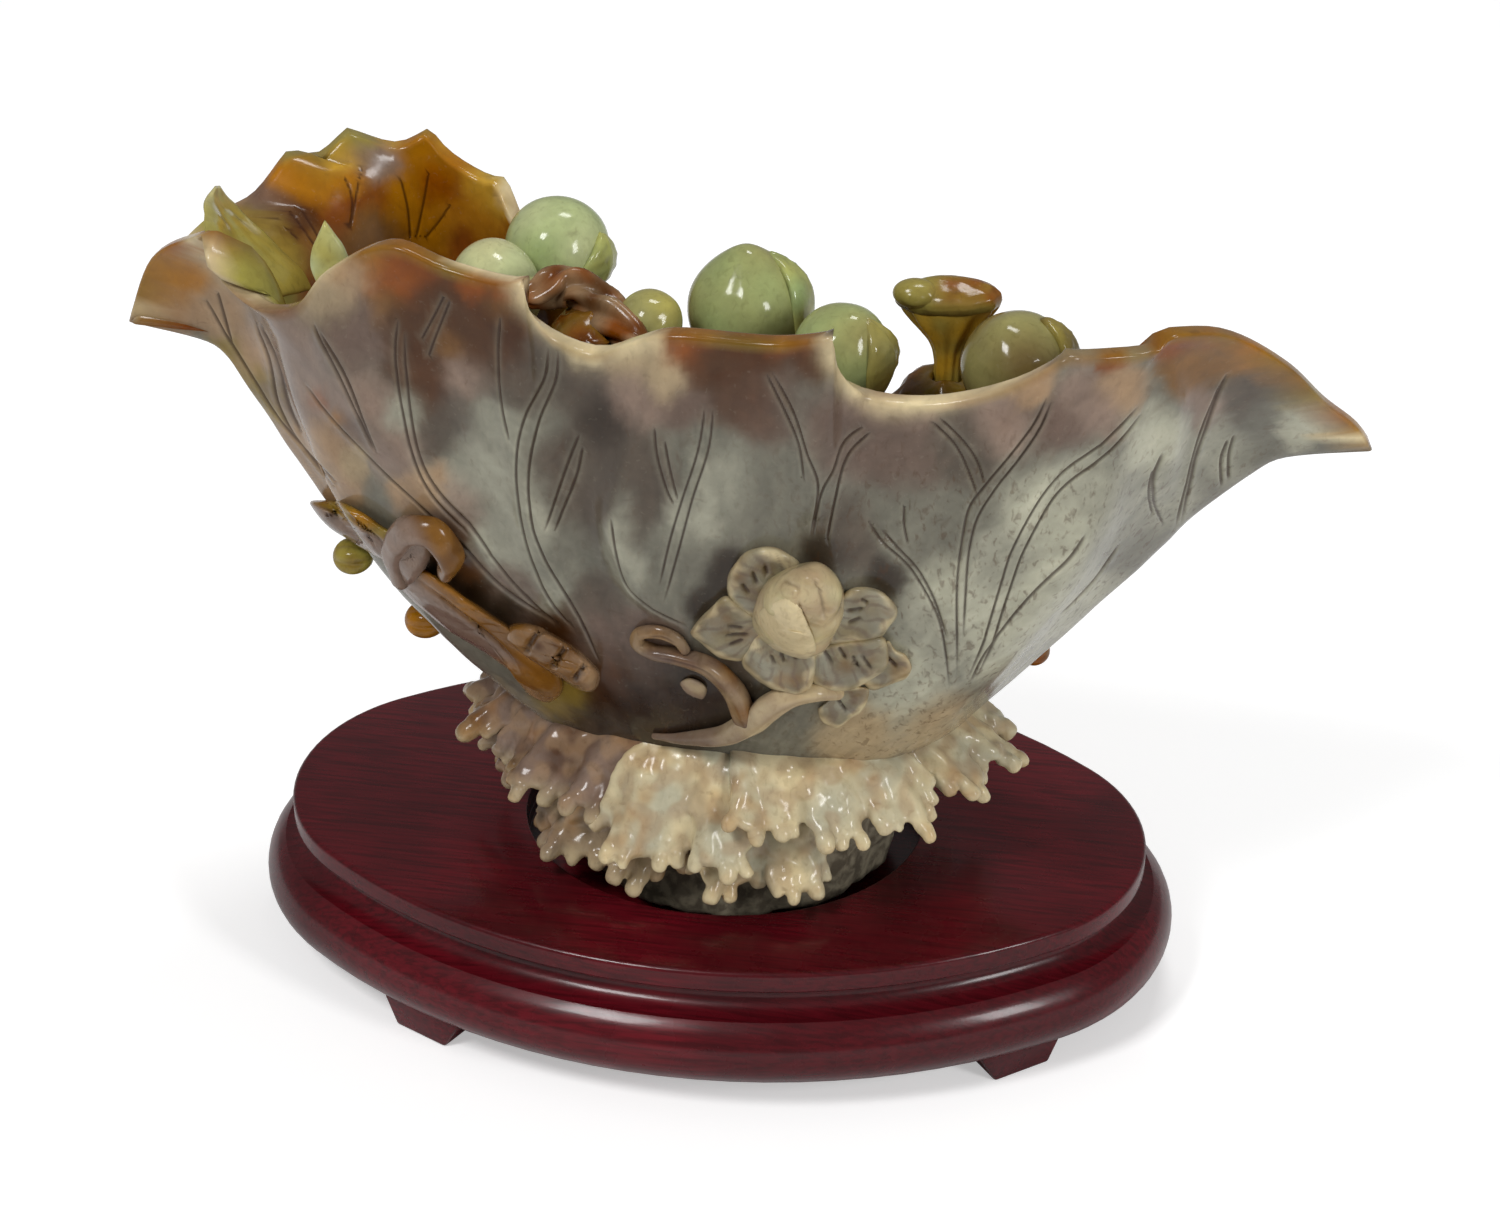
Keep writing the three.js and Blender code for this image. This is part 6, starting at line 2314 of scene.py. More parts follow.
@dataclass
class InnerGrowth:
    """The fungus, the folded branch, the bough under the fruit, the lining leaf and its tip."""

    form: LeafForm
    cap_place: tuple = (0.322, 0.11, 0.765)
    lobe_pixel: tuple = (916, 293)
    lobe_radii: tuple = (4.5, 3.6, 2.9)
    cap_rows: tuple = (
        (305, 903, 999, 0.5), (302, 899, 1001, 0.52), (298, 896, 1002, 0.54), (293, 896, 1001, 0.54),
        (288, 900, 994, 0.52), (284, 907, 984, 0.5), (280, 917, 968, 0.45), (277, 928, 950, 0.4),
    )
    stem_rows: tuple = (
        (452, 928, 966, 0.9), (400, 931, 964, 0.85), (380, 933, 962, 0.85), (362, 935, 962, 0.85),
        (348, 933, 965, 0.8), (338, 929, 971, 0.74), (328, 921, 980, 0.64), (318, 912, 989, 0.56),
        (308, 904, 997, 0.5), (300, 900, 1000, 0.48),
    )
    branch_places: tuple = (
        (-0.31, -0.26, 0.79), (-0.26, -0.2, 0.795), (-0.2, -0.27, 0.775), (-0.13, -0.42, 0.755),
    )
    branch_radii: tuple = (2.6, 3.9, 3.8, 4.2, 2.4)
    lining_rows: tuple = (
        (215, 186, 220, 186, 5, 8), (206, 197, 228, 198, 1, 11), (204, 210, 240, 211, -8, 15),
        (203, 228, 256, 224, -19, 14), (210, 247, 272, 240, -18, 11.5), (223, 266, 290, 256, -15, 10.5),
        (240, 284, 304, 272, -14, 10.5), (258, 302, 312, 290, -15, 11),
    )
    lining_folds: tuple = (
        ((217, 200), (228, 226), (246, 254), (266, 284)),
        ((226, 204), (250, 234), (280, 262)),
    )
    tip_place: tuple = (-0.585, -0.62, 0.925)
    tip_outline: tuple = (0.5, 0.85, 1, 0.85, 0.45, 0.02)

    @staticmethod
    def smooth_rows(rows: tuple, count: int, passes: int) -> np.ndarray:
        """Spreads rows of values evenly and smooths them.

        Args:
            rows: The rows.
            count: How many rows come out.
            passes: How often each row is mixed with its neighbours.

        Returns:
            The smooth rows, with both ends kept.
        """
        table = np.array(rows, float)
        fine, even = np.linspace(0, 1, count), np.linspace(0, 1, len(table))
        smooth = np.stack([np.interp(fine, even, column) for column in table.T], 1)
        for _ in range(passes):
            smooth[1:-1] = (smooth[:-2] + smooth[1:-1] * 2 + smooth[2:]) / 4
        return smooth

    def trumpet(self, name: str, rows: tuple, lobes: float) -> bpy.types.Object:
        """Turns rows of the fungus' outline in the photograph into a fluted solid.

        Args:
            name: The object's name.
            rows: Rows of height, left and right in pixels, and the depth as a share of the width.
            lobes: How deep the flutes are, as a share.

        Returns:
            The closed solid.
        """
        depth = self.form.place(self.cap_place)[1]
        smooth = self.smooth_rows(rows, 8 * len(rows), 6)
        angles = np.linspace(0, 2 * math.pi, 96, endpoint=False)
        rings = []
        for height, left, right, share in smooth:
            sides = [PHOTO.on_plane((x, height), depth) for x in (left, right)]
            middle, half = (sides[0] + sides[1]) / 2, (sides[1] - sides[0]) / 2
            wave = 1 + lobes * np.cos(angles * 11 + height * 0.02)
            reach = np.linalg.norm(half) * wave
            x = middle[0] + reach * np.cos(angles)
            y = middle[1] + reach * share * np.sin(angles)
            z = middle[2] + (half[2] / max(abs(half[0]), 1e-6)) * (x - middle[0])
            rings.append(np.stack([x, y, z], 1))
        return Mesher.rings(name, np.array(rings))

    def cap(self) -> bpy.types.Object:
        """Shapes the fungus cap: an ear with a round lobe at its left end.

        Returns:
            The cap.
        """
        made = self.trumpet("fungus_ear", self.cap_rows, 0.015)
        middle = PHOTO.on_plane(self.lobe_pixel, self.form.place(self.cap_place)[1] - 2.5)
        lobe = Solids.ball("fungus_lobe", self.lobe_radii, 48, 36)
        points = points_of(lobe)
        ring = np.exp(-((np.hypot(points[:, 0], points[:, 2] * 1.5) - 2.6) ** 2) / 0.3) * (points[:, 1] < 0)
        place_points(lobe, points * (1 - 0.05 * ring)[:, None] + middle)
        only(made)
        lobe.select_set(True)
        bpy.ops.object.join()
        ruffle(made, 0.35, 5, 12)
        pixels = PHOTO.pixels(points_of(made))
        left = smooth_step(-pixels[:, 0], -950, -925)
        low = smooth_step(pixels[:, 1], 296, 314)
        tint(made, [Hue.SYRUP, Hue.RUSSET, Hue.OLIVE, Hue.MOSS],
             [mottled(made, 4, 8) * 0.7, mottled(made, 3, 18) * 0.6, np.maximum(left, low * 0.8) * 0.95])
        return made

    def stem(self) -> bpy.types.Object:
        """Shapes the fluted stem that flares up under the cap.

        Returns:
            The stem.
        """
        made = self.trumpet("fungus_flute", self.stem_rows, 0.045)
        pixels = PHOTO.pixels(points_of(made))
        right = smooth_step(pixels[:, 0], 945, 985)
        tint(made, [Hue.GOLD, Hue.MOSS, Hue.SYRUP],
             [mottled(made, 5, 5) * 0.9, smooth_step(-pixels[:, 1], -335, -306) * right * 0.8])
        return made

    def branch(self) -> bpy.types.Object:
        """Shapes the brown branch as a leaf folded on itself.

        Returns:
            The branch.
        """
        places = [self.form.place(shares) for shares in self.branch_places]
        made = Solids.sweep("folded_branch", places, list(self.branch_radii), 48, (4, 0.24, 0.6))
        ruffle(made, 0.5, 4, 12)
        tint(made, [Hue.TOBACCO, Hue.RUSSET, Hue.BONE], [mottled(made, 6, 2), mottled(made, 4, 9) * 0.45])
        return made

    def bough(self) -> bpy.types.Object:
        """Rounds the heap under the fruit and works its skin in and out into gnarled swells.

        Returns:
            The bough.
        """
        made = carved_copy("fruiting_bough", "gnarled_bough", 2, 0.3)
        ruffle(made, 1.5, 6, 20)
        ruffle(made, 0.7, 2.6, 44)
        tint(made, [Hue.TOBACCO, Hue.OLIVE, Hue.RUSSET], [mottled(made, 8, 2), mottled(made, 5, 9) * 0.6])
        return made

    def lining(self) -> bpy.types.Object:
        """Lays the yellow-green leaf over the inside of the left end, with its tip over the rim.

        Returns:
            The lining leaf.
        """
        smooth = self.smooth_rows(self.lining_rows, 61, 10)
        across = (1 - np.cos(np.linspace(0, math.pi, 41))) / 2
        fold = 0.8 * np.exp(-(((across - 0.3) / 0.16) ** 2))
        fold -= 0.5 * np.exp(-(((across - 0.55) / 0.1) ** 2))
        front, back = [], []
        for down, (x0, y0, x1, y1, near, far) in zip(np.linspace(0, 1, len(smooth)), smooth):
            ends = math.sqrt(max(0, 1 - (2 * down - 1) ** 12))
            body = np.sqrt(np.clip(1 - (2 * across - 1) ** 4, 0, 1)) * ends
            for rows, lift in ((front, -(1.9 + fold) * body), (back, 2.2 * body)):
                places = zip(lerp(x0, x1, across), lerp(y0, y1, across), lerp(near, far, across) + lift)
                rows.append([PHOTO.on_plane((x, y), depth) for x, y, depth in places])
        made = Mesher.pillow("lining_leaf", np.array(front), np.array(back))
        ruffle(made, 0.5, 7, 4)
        groove = grooved(made, self.lining_folds, 2.4, 0.3)
        pixels = PHOTO.pixels(points_of(made))
        far = smooth_step(pixels[:, 0], 245, 300)
        tint(made, [Jade.LIME, Hue.MOSS, Hue.OLIVE, Jade.MILK],
             [mottled(made, 14, 3) * 0.5, far * 0.6, smooth_step(-pixels[:, 1], -215, -190) * 0.7],
             groove * 0.1)
        return made

    def tip(self) -> bpy.types.Object:
        """Shapes the small leaf tip that stands up behind the front rim.

        Returns:
            The leaf tip.
        """
        centre = self.form.place(self.tip_place)
        root = centre + np.array([0.8, -3.2, -8.5])
        end = centre + np.array([-1.2, 0.8, 4.4])
        made = Solids.blade("leaf_tip", root, end, np.array([0.2, -1, 0.3]), 3.7, 3.2, 0.8, self.tip_outline)
        tint(made, [Jade.LIME, Jade.MINT], [mottled(made, 6, 3)])
        return made

    def build(self) -> None:
        """Builds and dresses the growth inside the leaf."""
        green, amber = GREEN.material(), AMBER.material()
        hand_over(self.cap(), Body.CARVING, amber, ["fungus_cap"])
        hand_over(self.stem(), Body.CARVING, green, ["fungus_stem"])
        hand_over(self.branch(), Body.CARVING, amber, ["twisted_branch"])
        hand_over(self.bough(), Body.CARVING, amber, ["fruiting_bough"])
        hand_over(self.lining(), Body.CARVING, green, ["folded_inner_leaf"])
        hand_over(self.tip(), Body.CARVING, green, ["small_leaf_tip"])


# Lotus blossom, its stem and its tendril


@dataclass(frozen=True)
class PetalSpec:
    """One petal: its border, its heart and its dark nicks in the photograph's pixels, and its height."""

    node: str
    heart: tuple
    border: tuple
    nicks: tuple
    height: float
    tilt: tuple = (0, 0)

    def profile(self, share: float, pixel: np.ndarray) -> float:
        """Gives the height over the wall: a thick rounded border round a dished middle.

        Args:
            share: The share of the way from the heart to the border.
            pixel: The photograph's pixel.

        Returns:
            The height in millimetres.
        """
        lean = (pixel[0] - self.heart[0]) * self.tilt[0] + (pixel[1] - self.heart[1]) * self.tilt[1]
        rim = math.sqrt(max(0, 1 - share**9))
        return (self.height + lean) * rim - 0.6 * math.exp(-((share / 0.75) ** 2)) * rim


@dataclass
class Blossom:
    """The lotus bud, its sepal and its petals, the stem, the tendril and the small leaf."""

    wall: Wall
    petals: tuple = (
        PetalSpec("lotus_petal_outer_right", (888, 662), (
            (876, 652), (888, 640), (896, 650), (906, 656), (912, 668), (906, 678), (893, 683), (872, 690),
            (862, 682)), (((884, 655), (897, 668)),), 1.8),
        PetalSpec("lotus_petal_outer_low", (842, 705), (
            (828, 700), (844, 688), (868, 688), (867, 702), (861, 713), (850, 719), (838, 728), (822, 722),
            (818, 709)), (((836, 698), (846, 712)),), 1.5),
        PetalSpec("lotus_petal_upper", (762, 584), (
            (727, 584), (732, 566), (747, 552), (765, 547), (786, 552), (800, 566), (786, 600), (756, 618),
            (738, 607), (729, 597)),
            (((752, 572), (758, 586)), ((742, 584), (750, 595)), ((764, 566), (768, 576))),
            2.6, (-0.02, -0.02)),
        PetalSpec("lotus_petal_right", (858, 614), (
            (828, 646), (832, 618), (840, 597), (854, 588), (870, 588), (884, 593), (898, 610), (891, 626),
            (881, 638), (861, 645), (845, 648)), (((845, 612), (864, 609)), ((847, 624), (862, 618)),
            ((860, 600), (868, 604))), 2.4, (0.03, 0)),
        PetalSpec("lotus_petal_left", (730, 634), (
            (690, 632), (706, 613), (725, 596), (743, 607), (762, 622), (762, 645), (748, 658), (738, 662),
            (719, 657), (702, 645)), (((727, 627), (744, 629)), ((725, 636), (750, 635)),
            ((728, 646), (744, 640))), 2.6, (-0.03, 0)),
        PetalSpec("lotus_petal_lower_right", (850, 664), (
            (812, 652), (838, 642), (865, 638), (884, 637), (890, 655), (887, 669), (869, 682), (846, 692),
            (827, 692), (810, 682)), (((822, 648), (834, 666)), ((838, 647), (846, 660)),
            ((860, 654), (872, 671)), ((852, 656), (858, 668))), 3.0, (0.02, 0.02)),
        PetalSpec("lotus_petal_lower", (782, 664), (
            (741, 662), (747, 647), (757, 634), (775, 642), (796, 650), (815, 652), (817, 672), (811, 690),
            (797, 698), (777, 692), (758, 681)), (((780, 650), (784, 664)), ((793, 650), (796, 660)),
            ((770, 655), (775, 666))), 3.2, (0, 0.03)),
    )
    bud_border: tuple = (
        (753, 620), (757, 602), (768, 583), (784, 568), (800, 562), (819, 562), (835, 574), (844, 590),
        (844, 608), (840, 626), (832, 641), (821, 652), (806, 658), (785, 654), (765, 642),
    )
    bud_heart: tuple = (802, 610)
    bud_foot: float = 2.0
    bud_rise: float = 10.5
    bud_power: float = 2.6
    bud_radii: tuple = (46, 49)
    bud_folds: tuple = (
        ((797, 600), (806, 626), (815, 650)), ((812, 575), (822, 596), (826, 625)), ((780, 578), (800, 590)),
    )
    sepal_border: tuple = (
        (755, 618), (764, 607), (775, 600), (786, 597), (797, 601), (807, 622), (816, 650), (808, 659),
        (785, 654), (765, 643),
    )
    sepal_heart: tuple = (787, 630)
    leaf_heart: tuple = (693, 688)
    leaf_border: tuple = ((680, 683), (688, 678), (698, 680), (707, 688), (703, 699), (693, 697), (684, 691))
    stem_pixels: tuple = (
        (655, 736), (676, 738), (700, 738), (726, 735), (748, 725), (768, 708), (790, 697), (815, 692),
        (838, 694),
    )
    stem_lifts: tuple = (0.6, 1.0, 1.6, 2.1, 2.3, 2.4, 2.3, 2.0, 1.4)
    stem_radii: tuple = (0.7, 1.2, 1.7, 2.2, 2.7, 2.7, 2.3, 1.9, 1.2)
    tendril_pixels: tuple = (
        (746, 718), (733, 690), (708, 667), (678, 657), (652, 652), (638, 644), (640, 634), (658, 632),
        (676, 639), (685, 650),
    )
    tendril_marks: tuple = (
        ((726, 690), (704, 672), (676, 662), (650, 656)), ((645, 640), (660, 637), (676, 644)),
    )
    tendril_lifts: tuple = (2.2, 1.6, 1.3, 1.1, 1.0, 1.0, 1.0, 1.0, 1.0, 0.9)
    tendril_radii: tuple = (2.5, 2.3, 2.1, 1.9, 1.7, 1.5, 1.3, 1.3, 1.2, 1.0)

    def petal(self, spec: PetalSpec) -> bpy.types.Object:
        """Shapes a petal with a cream border and dark nicks at its heart.

        Args:
            spec: The petal.

        Returns:
            The petal on the wall.
        """
        made = self.wall.relief(spec.node.replace("lotus_", "carved_"), spec.border, spec.heart, spec.profile)
        reach = read(made, "reach")
        ruffle(made, 0.3, 3.6, 5)
        nick = grooved(made, spec.nicks, 2, 0.6)
        border = smooth_step(reach + mottled(made, 3, 90) * 0.35, 0.85, 1.2)
        pixels = PHOTO.pixels(points_of(made))
        turn = np.arctan2(pixels[:, 1] - self.bud_heart[1], pixels[:, 0] - self.bud_heart[0])
        rays = smooth_step(np.sin(turn * 34 + mottled(made, 4, 12) * 4), 0.35, 0.95)
        rays *= smooth_step(reach, 0.1, 0.4) * (1 - smooth_step(reach, 0.75, 0.95))
        tint(made, [Hue.KHAKI, Hue.MAUVE, Hue.SEA, Hue.CREAM, Hue.SYRUP, Hue.MAUVE],
             [mottled(made, 4, 7) * 0.5, mottled(made, 5, 37) * 0.8, border * 0.7,
              mottled(made, 2.6, 50) * smooth_step(mottled(made, 7, 57), 0.4, 0.8) * 0.5, rays * 0.45], nick)
        return made

    def leaflet_height(self, share: float, pixel: np.ndarray) -> float:
        """Gives the small wall leaf's height over the wall: a low pad."""
        return 0.9 * math.sqrt(1 - share**4)

    def bud_height(self, share: float, pixel: np.ndarray) -> float:
        """Gives the bud's height over the wall, with its top leaning to the upper right."""
        lean = (pixel[0] - self.bud_heart[0]) * 0.02 - (pixel[1] - self.bud_heart[1]) * 0.02
        return self.bud_foot + (self.bud_rise + lean) * math.sqrt(max(0, 1 - share**self.bud_power))

    def sepal_height(self, share: float, pixel: np.ndarray) -> float:
        """Gives the sepal's height: a smooth pad that stands over the bud.

        Args:
            share: The share of the way from the heart to the border.
            pixel: The photograph's pixel.

        Returns:
            The height in millimetres.
        """
        off = [(pixel[k] - self.bud_heart[k]) / self.bud_radii[k] for k in range(2)]
        gap = min(1, math.hypot(*off))
        under = self.bud_foot + self.bud_rise * math.sqrt(max(0, 1 - gap**self.bud_power))
        return under + math.sqrt(max(0, 1 - share**6)) - 0.3

    def bud(self) -> bpy.types.Object:
        """Shapes the closed bud with its folded petals.

        Returns:
            The bud.
        """
        made = self.wall.relief(
            "closed_bud", self.bud_border, self.bud_heart, self.bud_height, rings=26, sides=120,
        )
        ruffle(made, 0.9, 6.5, 2)
        groove = grooved(made, self.bud_folds, 2.4, 0.6)
        tint(made, [Hue.BONE, Jade.MILK, Hue.CREAM, Hue.ROSE],
             [mottled(made, 7, 3), mottled(made, 5, 22) * 0.6, mottled(made, 3, 71) * 0.35], groove * 0.5)
        return made

    def build(self) -> None:
        """Builds and dresses the blossom's pieces."""
        pale = PALE.material()
        for spec in self.petals:
            hand_over(self.petal(spec), Body.CARVING, pale, [spec.node])
        hand_over(self.bud(), Body.CARVING, pale, ["lotus_bud"])
        sepal = self.wall.relief("bud_sepal", self.sepal_border, self.sepal_heart, self.sepal_height)
        tint(sepal, [Hue.CREAM, Hue.BONE], [mottled(sepal, 5, 3) * 0.3])
        hand_over(sepal, Body.CARVING, pale, ["lotus_bud_leaf"])
        places = self.wall.line(self.stem_pixels, self.stem_lifts)
        stem = Solids.sweep("blossom_stalk", places, list(self.stem_radii), 32, (5, 0.05, 0.2))
        ruffle(stem, 0.25, 5, 4)
        shade = 1 - smooth_step(PHOTO.pixels(points_of(stem))[:, 0], 680, 775)
        tint(stem, [Hue.BONE, Hue.LILAC, Hue.CREAM, Hue.MAUVE],
             [mottled(stem, 6, 3) * 0.7, mottled(stem, 4, 13) * 0.4, shade * 0.9])
        hand_over(stem, Body.CARVING, pale, ["blossom_stem"])
        places = self.wall.line(self.tendril_pixels, self.tendril_lifts)
        tendril = Solids.sweep("scroll_tendril", places, list(self.tendril_radii), 28, (3, 0.1, 0.1))
        groove = grooved(tendril, self.tendril_marks, 1.6, 0.3)
        tint(tendril, [Hue.MAUVE, Hue.SYRUP, Hue.BONE],
             [mottled(tendril, 5, 3) * 0.8, mottled(tendril, 4, 19) * 0.4], groove * 0.7)
        hand_over(tendril, Body.CARVING, AMBER.material(), ["curling_tendril"])
        leaf = self.wall.relief("wall_leaflet", self.leaf_border, self.leaf_heart, self.leaflet_height)
        tint(leaf, [Hue.LILAC, Hue.BONE], [mottled(leaf, 4, 3)])
        hand_over(leaf, Body.CARVING, pale, ["small_wall_leaf"])


# Side spray


@dataclass
class SideSpray:
    """The amber stem, leaf, knob and ribbed clasp on the left of the wall, and the small knobs."""

    wall: Wall
    stem_border: tuple = (
        (420, 566), (440, 578), (466, 597), (492, 614), (516, 630), (540, 650), (560, 672), (563, 692),
        (548, 703), (528, 694), (512, 672), (488, 655), (458, 638), (430, 616), (410, 598), (396, 578),
        (404, 566),
    )
    stem_heart: tuple = (476, 626)
    stem_ridge: tuple = ((408, 572), (440, 600), (472, 624), (500, 648), (520, 672))
    head_border: tuple = (
        (390, 534), (405, 529), (420, 530), (434, 540), (432, 556), (424, 572), (412, 586), (398, 577),
        (388, 558),
    )
    head_heart: tuple = (410, 554)
    arm_pixels: tuple = (
        (400, 580), (396, 560), (400, 542), (414, 531), (430, 533), (443, 545), (450, 560), (447, 572),
    )
    arm_lifts: tuple = (1.2, 2.0, 2.6, 3.2, 3.4, 3.2, 2.8, 2.2)
    arm_radii: tuple = (1.6, 2.4, 3.0, 3.2, 3.2, 3.0, 2.6, 1.8)
    leaf_border: tuple = (
        (310, 502), (322, 500), (345, 503), (366, 514), (383, 526), (396, 535), (394, 548), (393, 563),
        (372, 554), (349, 540), (330, 528), (316, 513),
    )
    leaf_heart: tuple = (366, 531)
    leaf_marks: tuple = (
        ((318, 505), (345, 515), (370, 532), (388, 550)), ((345, 512), (362, 530)), ((352, 530), (375, 543)),
    )
    clasp_border: tuple = (
        (502, 636), (508, 627), (522, 623), (545, 629), (570, 643), (590, 660), (600, 674), (594, 690),
        (580, 690), (560, 678), (538, 666), (515, 652),
    )
    clasp_heart: tuple = (550, 657)
    clasp_ribs: tuple = (
        ((522, 660), (530, 645), (544, 626)), ((548, 676), (557, 660), (572, 641)),
        ((570, 688), (578, 676), (592, 660)),
    )

    def past_ridge(self, x: np.ndarray, y: np.ndarray) -> np.ndarray:
        """Tells how far a pixel lies above the stem's ridge."""
        return (x - 398) * 0.8 - (y - 566)

    def past_midrib(self, x: np.ndarray, y: np.ndarray) -> np.ndarray:
        """Tells how far a pixel lies below the leaf's midrib."""
        return (y - 503) - (x - 311) * 0.52

    def stem_height(self, share: float, pixel: np.ndarray) -> float:
        """Gives the stem's height over the wall: a broad band that rises towards the wall's dark gap."""
        return (3.4 + 0.05 * self.past_ridge(*pixel)) * math.sqrt(max(0, 1 - share**5))

    def spray_stem(self) -> bpy.types.Object:
        """Shapes the thick stem that runs down to the fronds, half lilac and half honey.

        Returns:
            The stem.
        """
        made = self.wall.relief(
            "spray_stem", self.stem_border, self.stem_heart, self.stem_height, rings=22, sides=140,
        )
        ruffle(made, 0.3, 6, 3)
        groove = grooved(made, (self.stem_ridge,), 2.4, 0.7)
        pixels = PHOTO.pixels(points_of(made))
        off = self.past_ridge(*pixels.T)
        low = smooth_step(pixels[:, 1], 650, 676)
        amber = np.maximum(smooth_step(off, -2, 4), low)
        tint(made, [Hue.LILAC, Hue.SYRUP, Hue.HONEY, Hue.TOBACCO],
             [amber * 0.95, amber * mottled(made, 8, 17) * 0.5, mottled(made, 5, 47) * 0.3], groove * 0.6)
        return made

    def leaf_height(self, share: float, pixel: np.ndarray) -> float:
        """Gives the leaf's height over the wall: two slopes that meet at the midrib."""
        return (3.0 - abs(self.past_midrib(*pixel)) * 0.05) * math.sqrt(max(0, 1 - share**6))

    def spray_leaf(self) -> bpy.types.Object:
        """Shapes the pointed leaf with its midrib.

        Returns:
            The leaf.
        """
        made = self.wall.relief("spray_leaf", self.leaf_border, self.leaf_heart, self.leaf_height)
        groove = grooved(made, self.leaf_marks, 2, 0.45)
        pixels = PHOTO.pixels(points_of(made))
        upper = smooth_step(-self.past_midrib(*pixels.T), -2, 5)
        tint(made, [Hue.LILAC, Hue.OLIVE, Hue.HONEY],
             [upper, upper * mottled(made, 5, 9) * 0.7], groove * 0.7)
        return made

    def head_height(self, share: float, pixel: np.ndarray) -> float:
        """Gives the height of the stem's head over the wall: a thick round pad."""
        return 4.6 * math.sqrt(max(0, 1 - share**4))

    def clasp_height(self, share: float, pixel: np.ndarray) -> float:
        """Gives the clasp's height over the wall: a pad with steep sides."""
        return 5.2 * math.sqrt(max(0, 1 - share**6))

    def knob(self) -> bpy.types.Object:
        """Shapes the head of the stem with the arm that hooks over it.

        Returns:
            The head and its arm as one piece.
        """
        made = self.wall.relief("spray_head", self.head_border, self.head_heart, self.head_height)
        places = self.wall.line(self.arm_pixels, self.arm_lifts)
        arm = Solids.sweep("spray_arm", places, list(self.arm_radii), 32, (3, 0.08, 0.2))
        only(made)
        arm.select_set(True)
        bpy.ops.object.join()
        ruffle(made, 0.5, 5, 8)
        pixels = PHOTO.pixels(points_of(made))
        amber = smooth_step(pixels[:, 0] - (pixels[:, 1] - 530) * 0.5, 408, 432)
        tint(made, [Hue.LILAC, Hue.SYRUP, Hue.TOBACCO], [amber, amber * mottled(made, 5, 23) * 0.7])
        return made

    def clasp(self) -> bpy.types.Object:
        """Shapes the ribbed clasp over the stem's lower end.

        Returns:
            The clasp.
        """
        made = self.wall.relief(
            "ribbed_clasp", self.clasp_border, self.clasp_heart, self.clasp_height, rings=24, sides=130,
        )
        ruffle(made, 0.4, 5, 30)
        groove = grooved(made, self.clasp_ribs, 3.2, 1.3)
        pixels = PHOTO.pixels(points_of(made))
        end = smooth_step(pixels[:, 0], 572, 584)
        tint(made, [Hue.SYRUP, Hue.TOBACCO, Hue.ROSE],
             [mottled(made, 6, 3), np.maximum(end * 0.7, mottled(made, 3, 33) * 0.4)], groove * 0.7)
        return made

    def floret(self, node: str, hues: list) -> bpy.types.Object:
        """Works a small knob into a lobed flower.

        Args:
            node: The knob's CAD node.
            hues: The hues that it is painted with.

        Returns:
            The flower.
        """
        low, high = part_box(node)
        middle = np.array((low + high) / 2) / MM
        half = np.array((high - low) / 2) / MM + 0.3
        made = Solids.ball(node.replace("side_", "").replace("back_", "end_") + "_lobed", tuple(half), 40, 28)
        points = points_of(made)
        angle = np.arctan2(points[:, 2], points[:, 1])
        flat = np.hypot(points[:, 1], points[:, 2]) / half[1]
        points[:, 1:] *= (1 - 0.2 * (1 - np.abs(np.cos(angle * 2.5))) * smooth_step(flat, 0.2, 0.8))[:, None]
        place_points(made, points + middle)
        tint(made, hues, [mottled(made, 4, 3)])
        return made

    def build(self) -> None:
        """Builds and dresses the spray."""
        amber = AMBER.material()
        rows = (
            (self.spray_stem(), "side_stem"), (self.spray_leaf(), "side_leaf"), (self.knob(), "side_knob"),
            (self.clasp(), "side_clasp"),
            (self.floret("side_flower_upper", [Hue.OLIVE, Jade.LIME]), "side_flower_upper"),
            (self.floret("side_flower_lower", [Hue.SYRUP, Hue.HONEY]), "side_flower_lower"),
            (self.floret("back_knob", [Hue.SYRUP, Hue.RUSSET]), "back_knob"),
        )
        for piece, node in rows:
            hand_over(piece, Body.CARVING, amber, [node])


# Fronds and the rough foot


@dataclass(frozen=True)
class FrondSpec:
    """One frond: its turn round the foot in degrees, and its band and reach as shares."""

    name: str
    start: float
    stop: float
    root: float
    edge: float
    reach: float
    fingers: int
    hues: tuple


LEFT_HUES = (Hue.LILAC, Hue.TOBACCO, Hue.CREAM)
PALE_HUES = (Hue.CREAM, Hue.CELADON, Hue.CREAM)


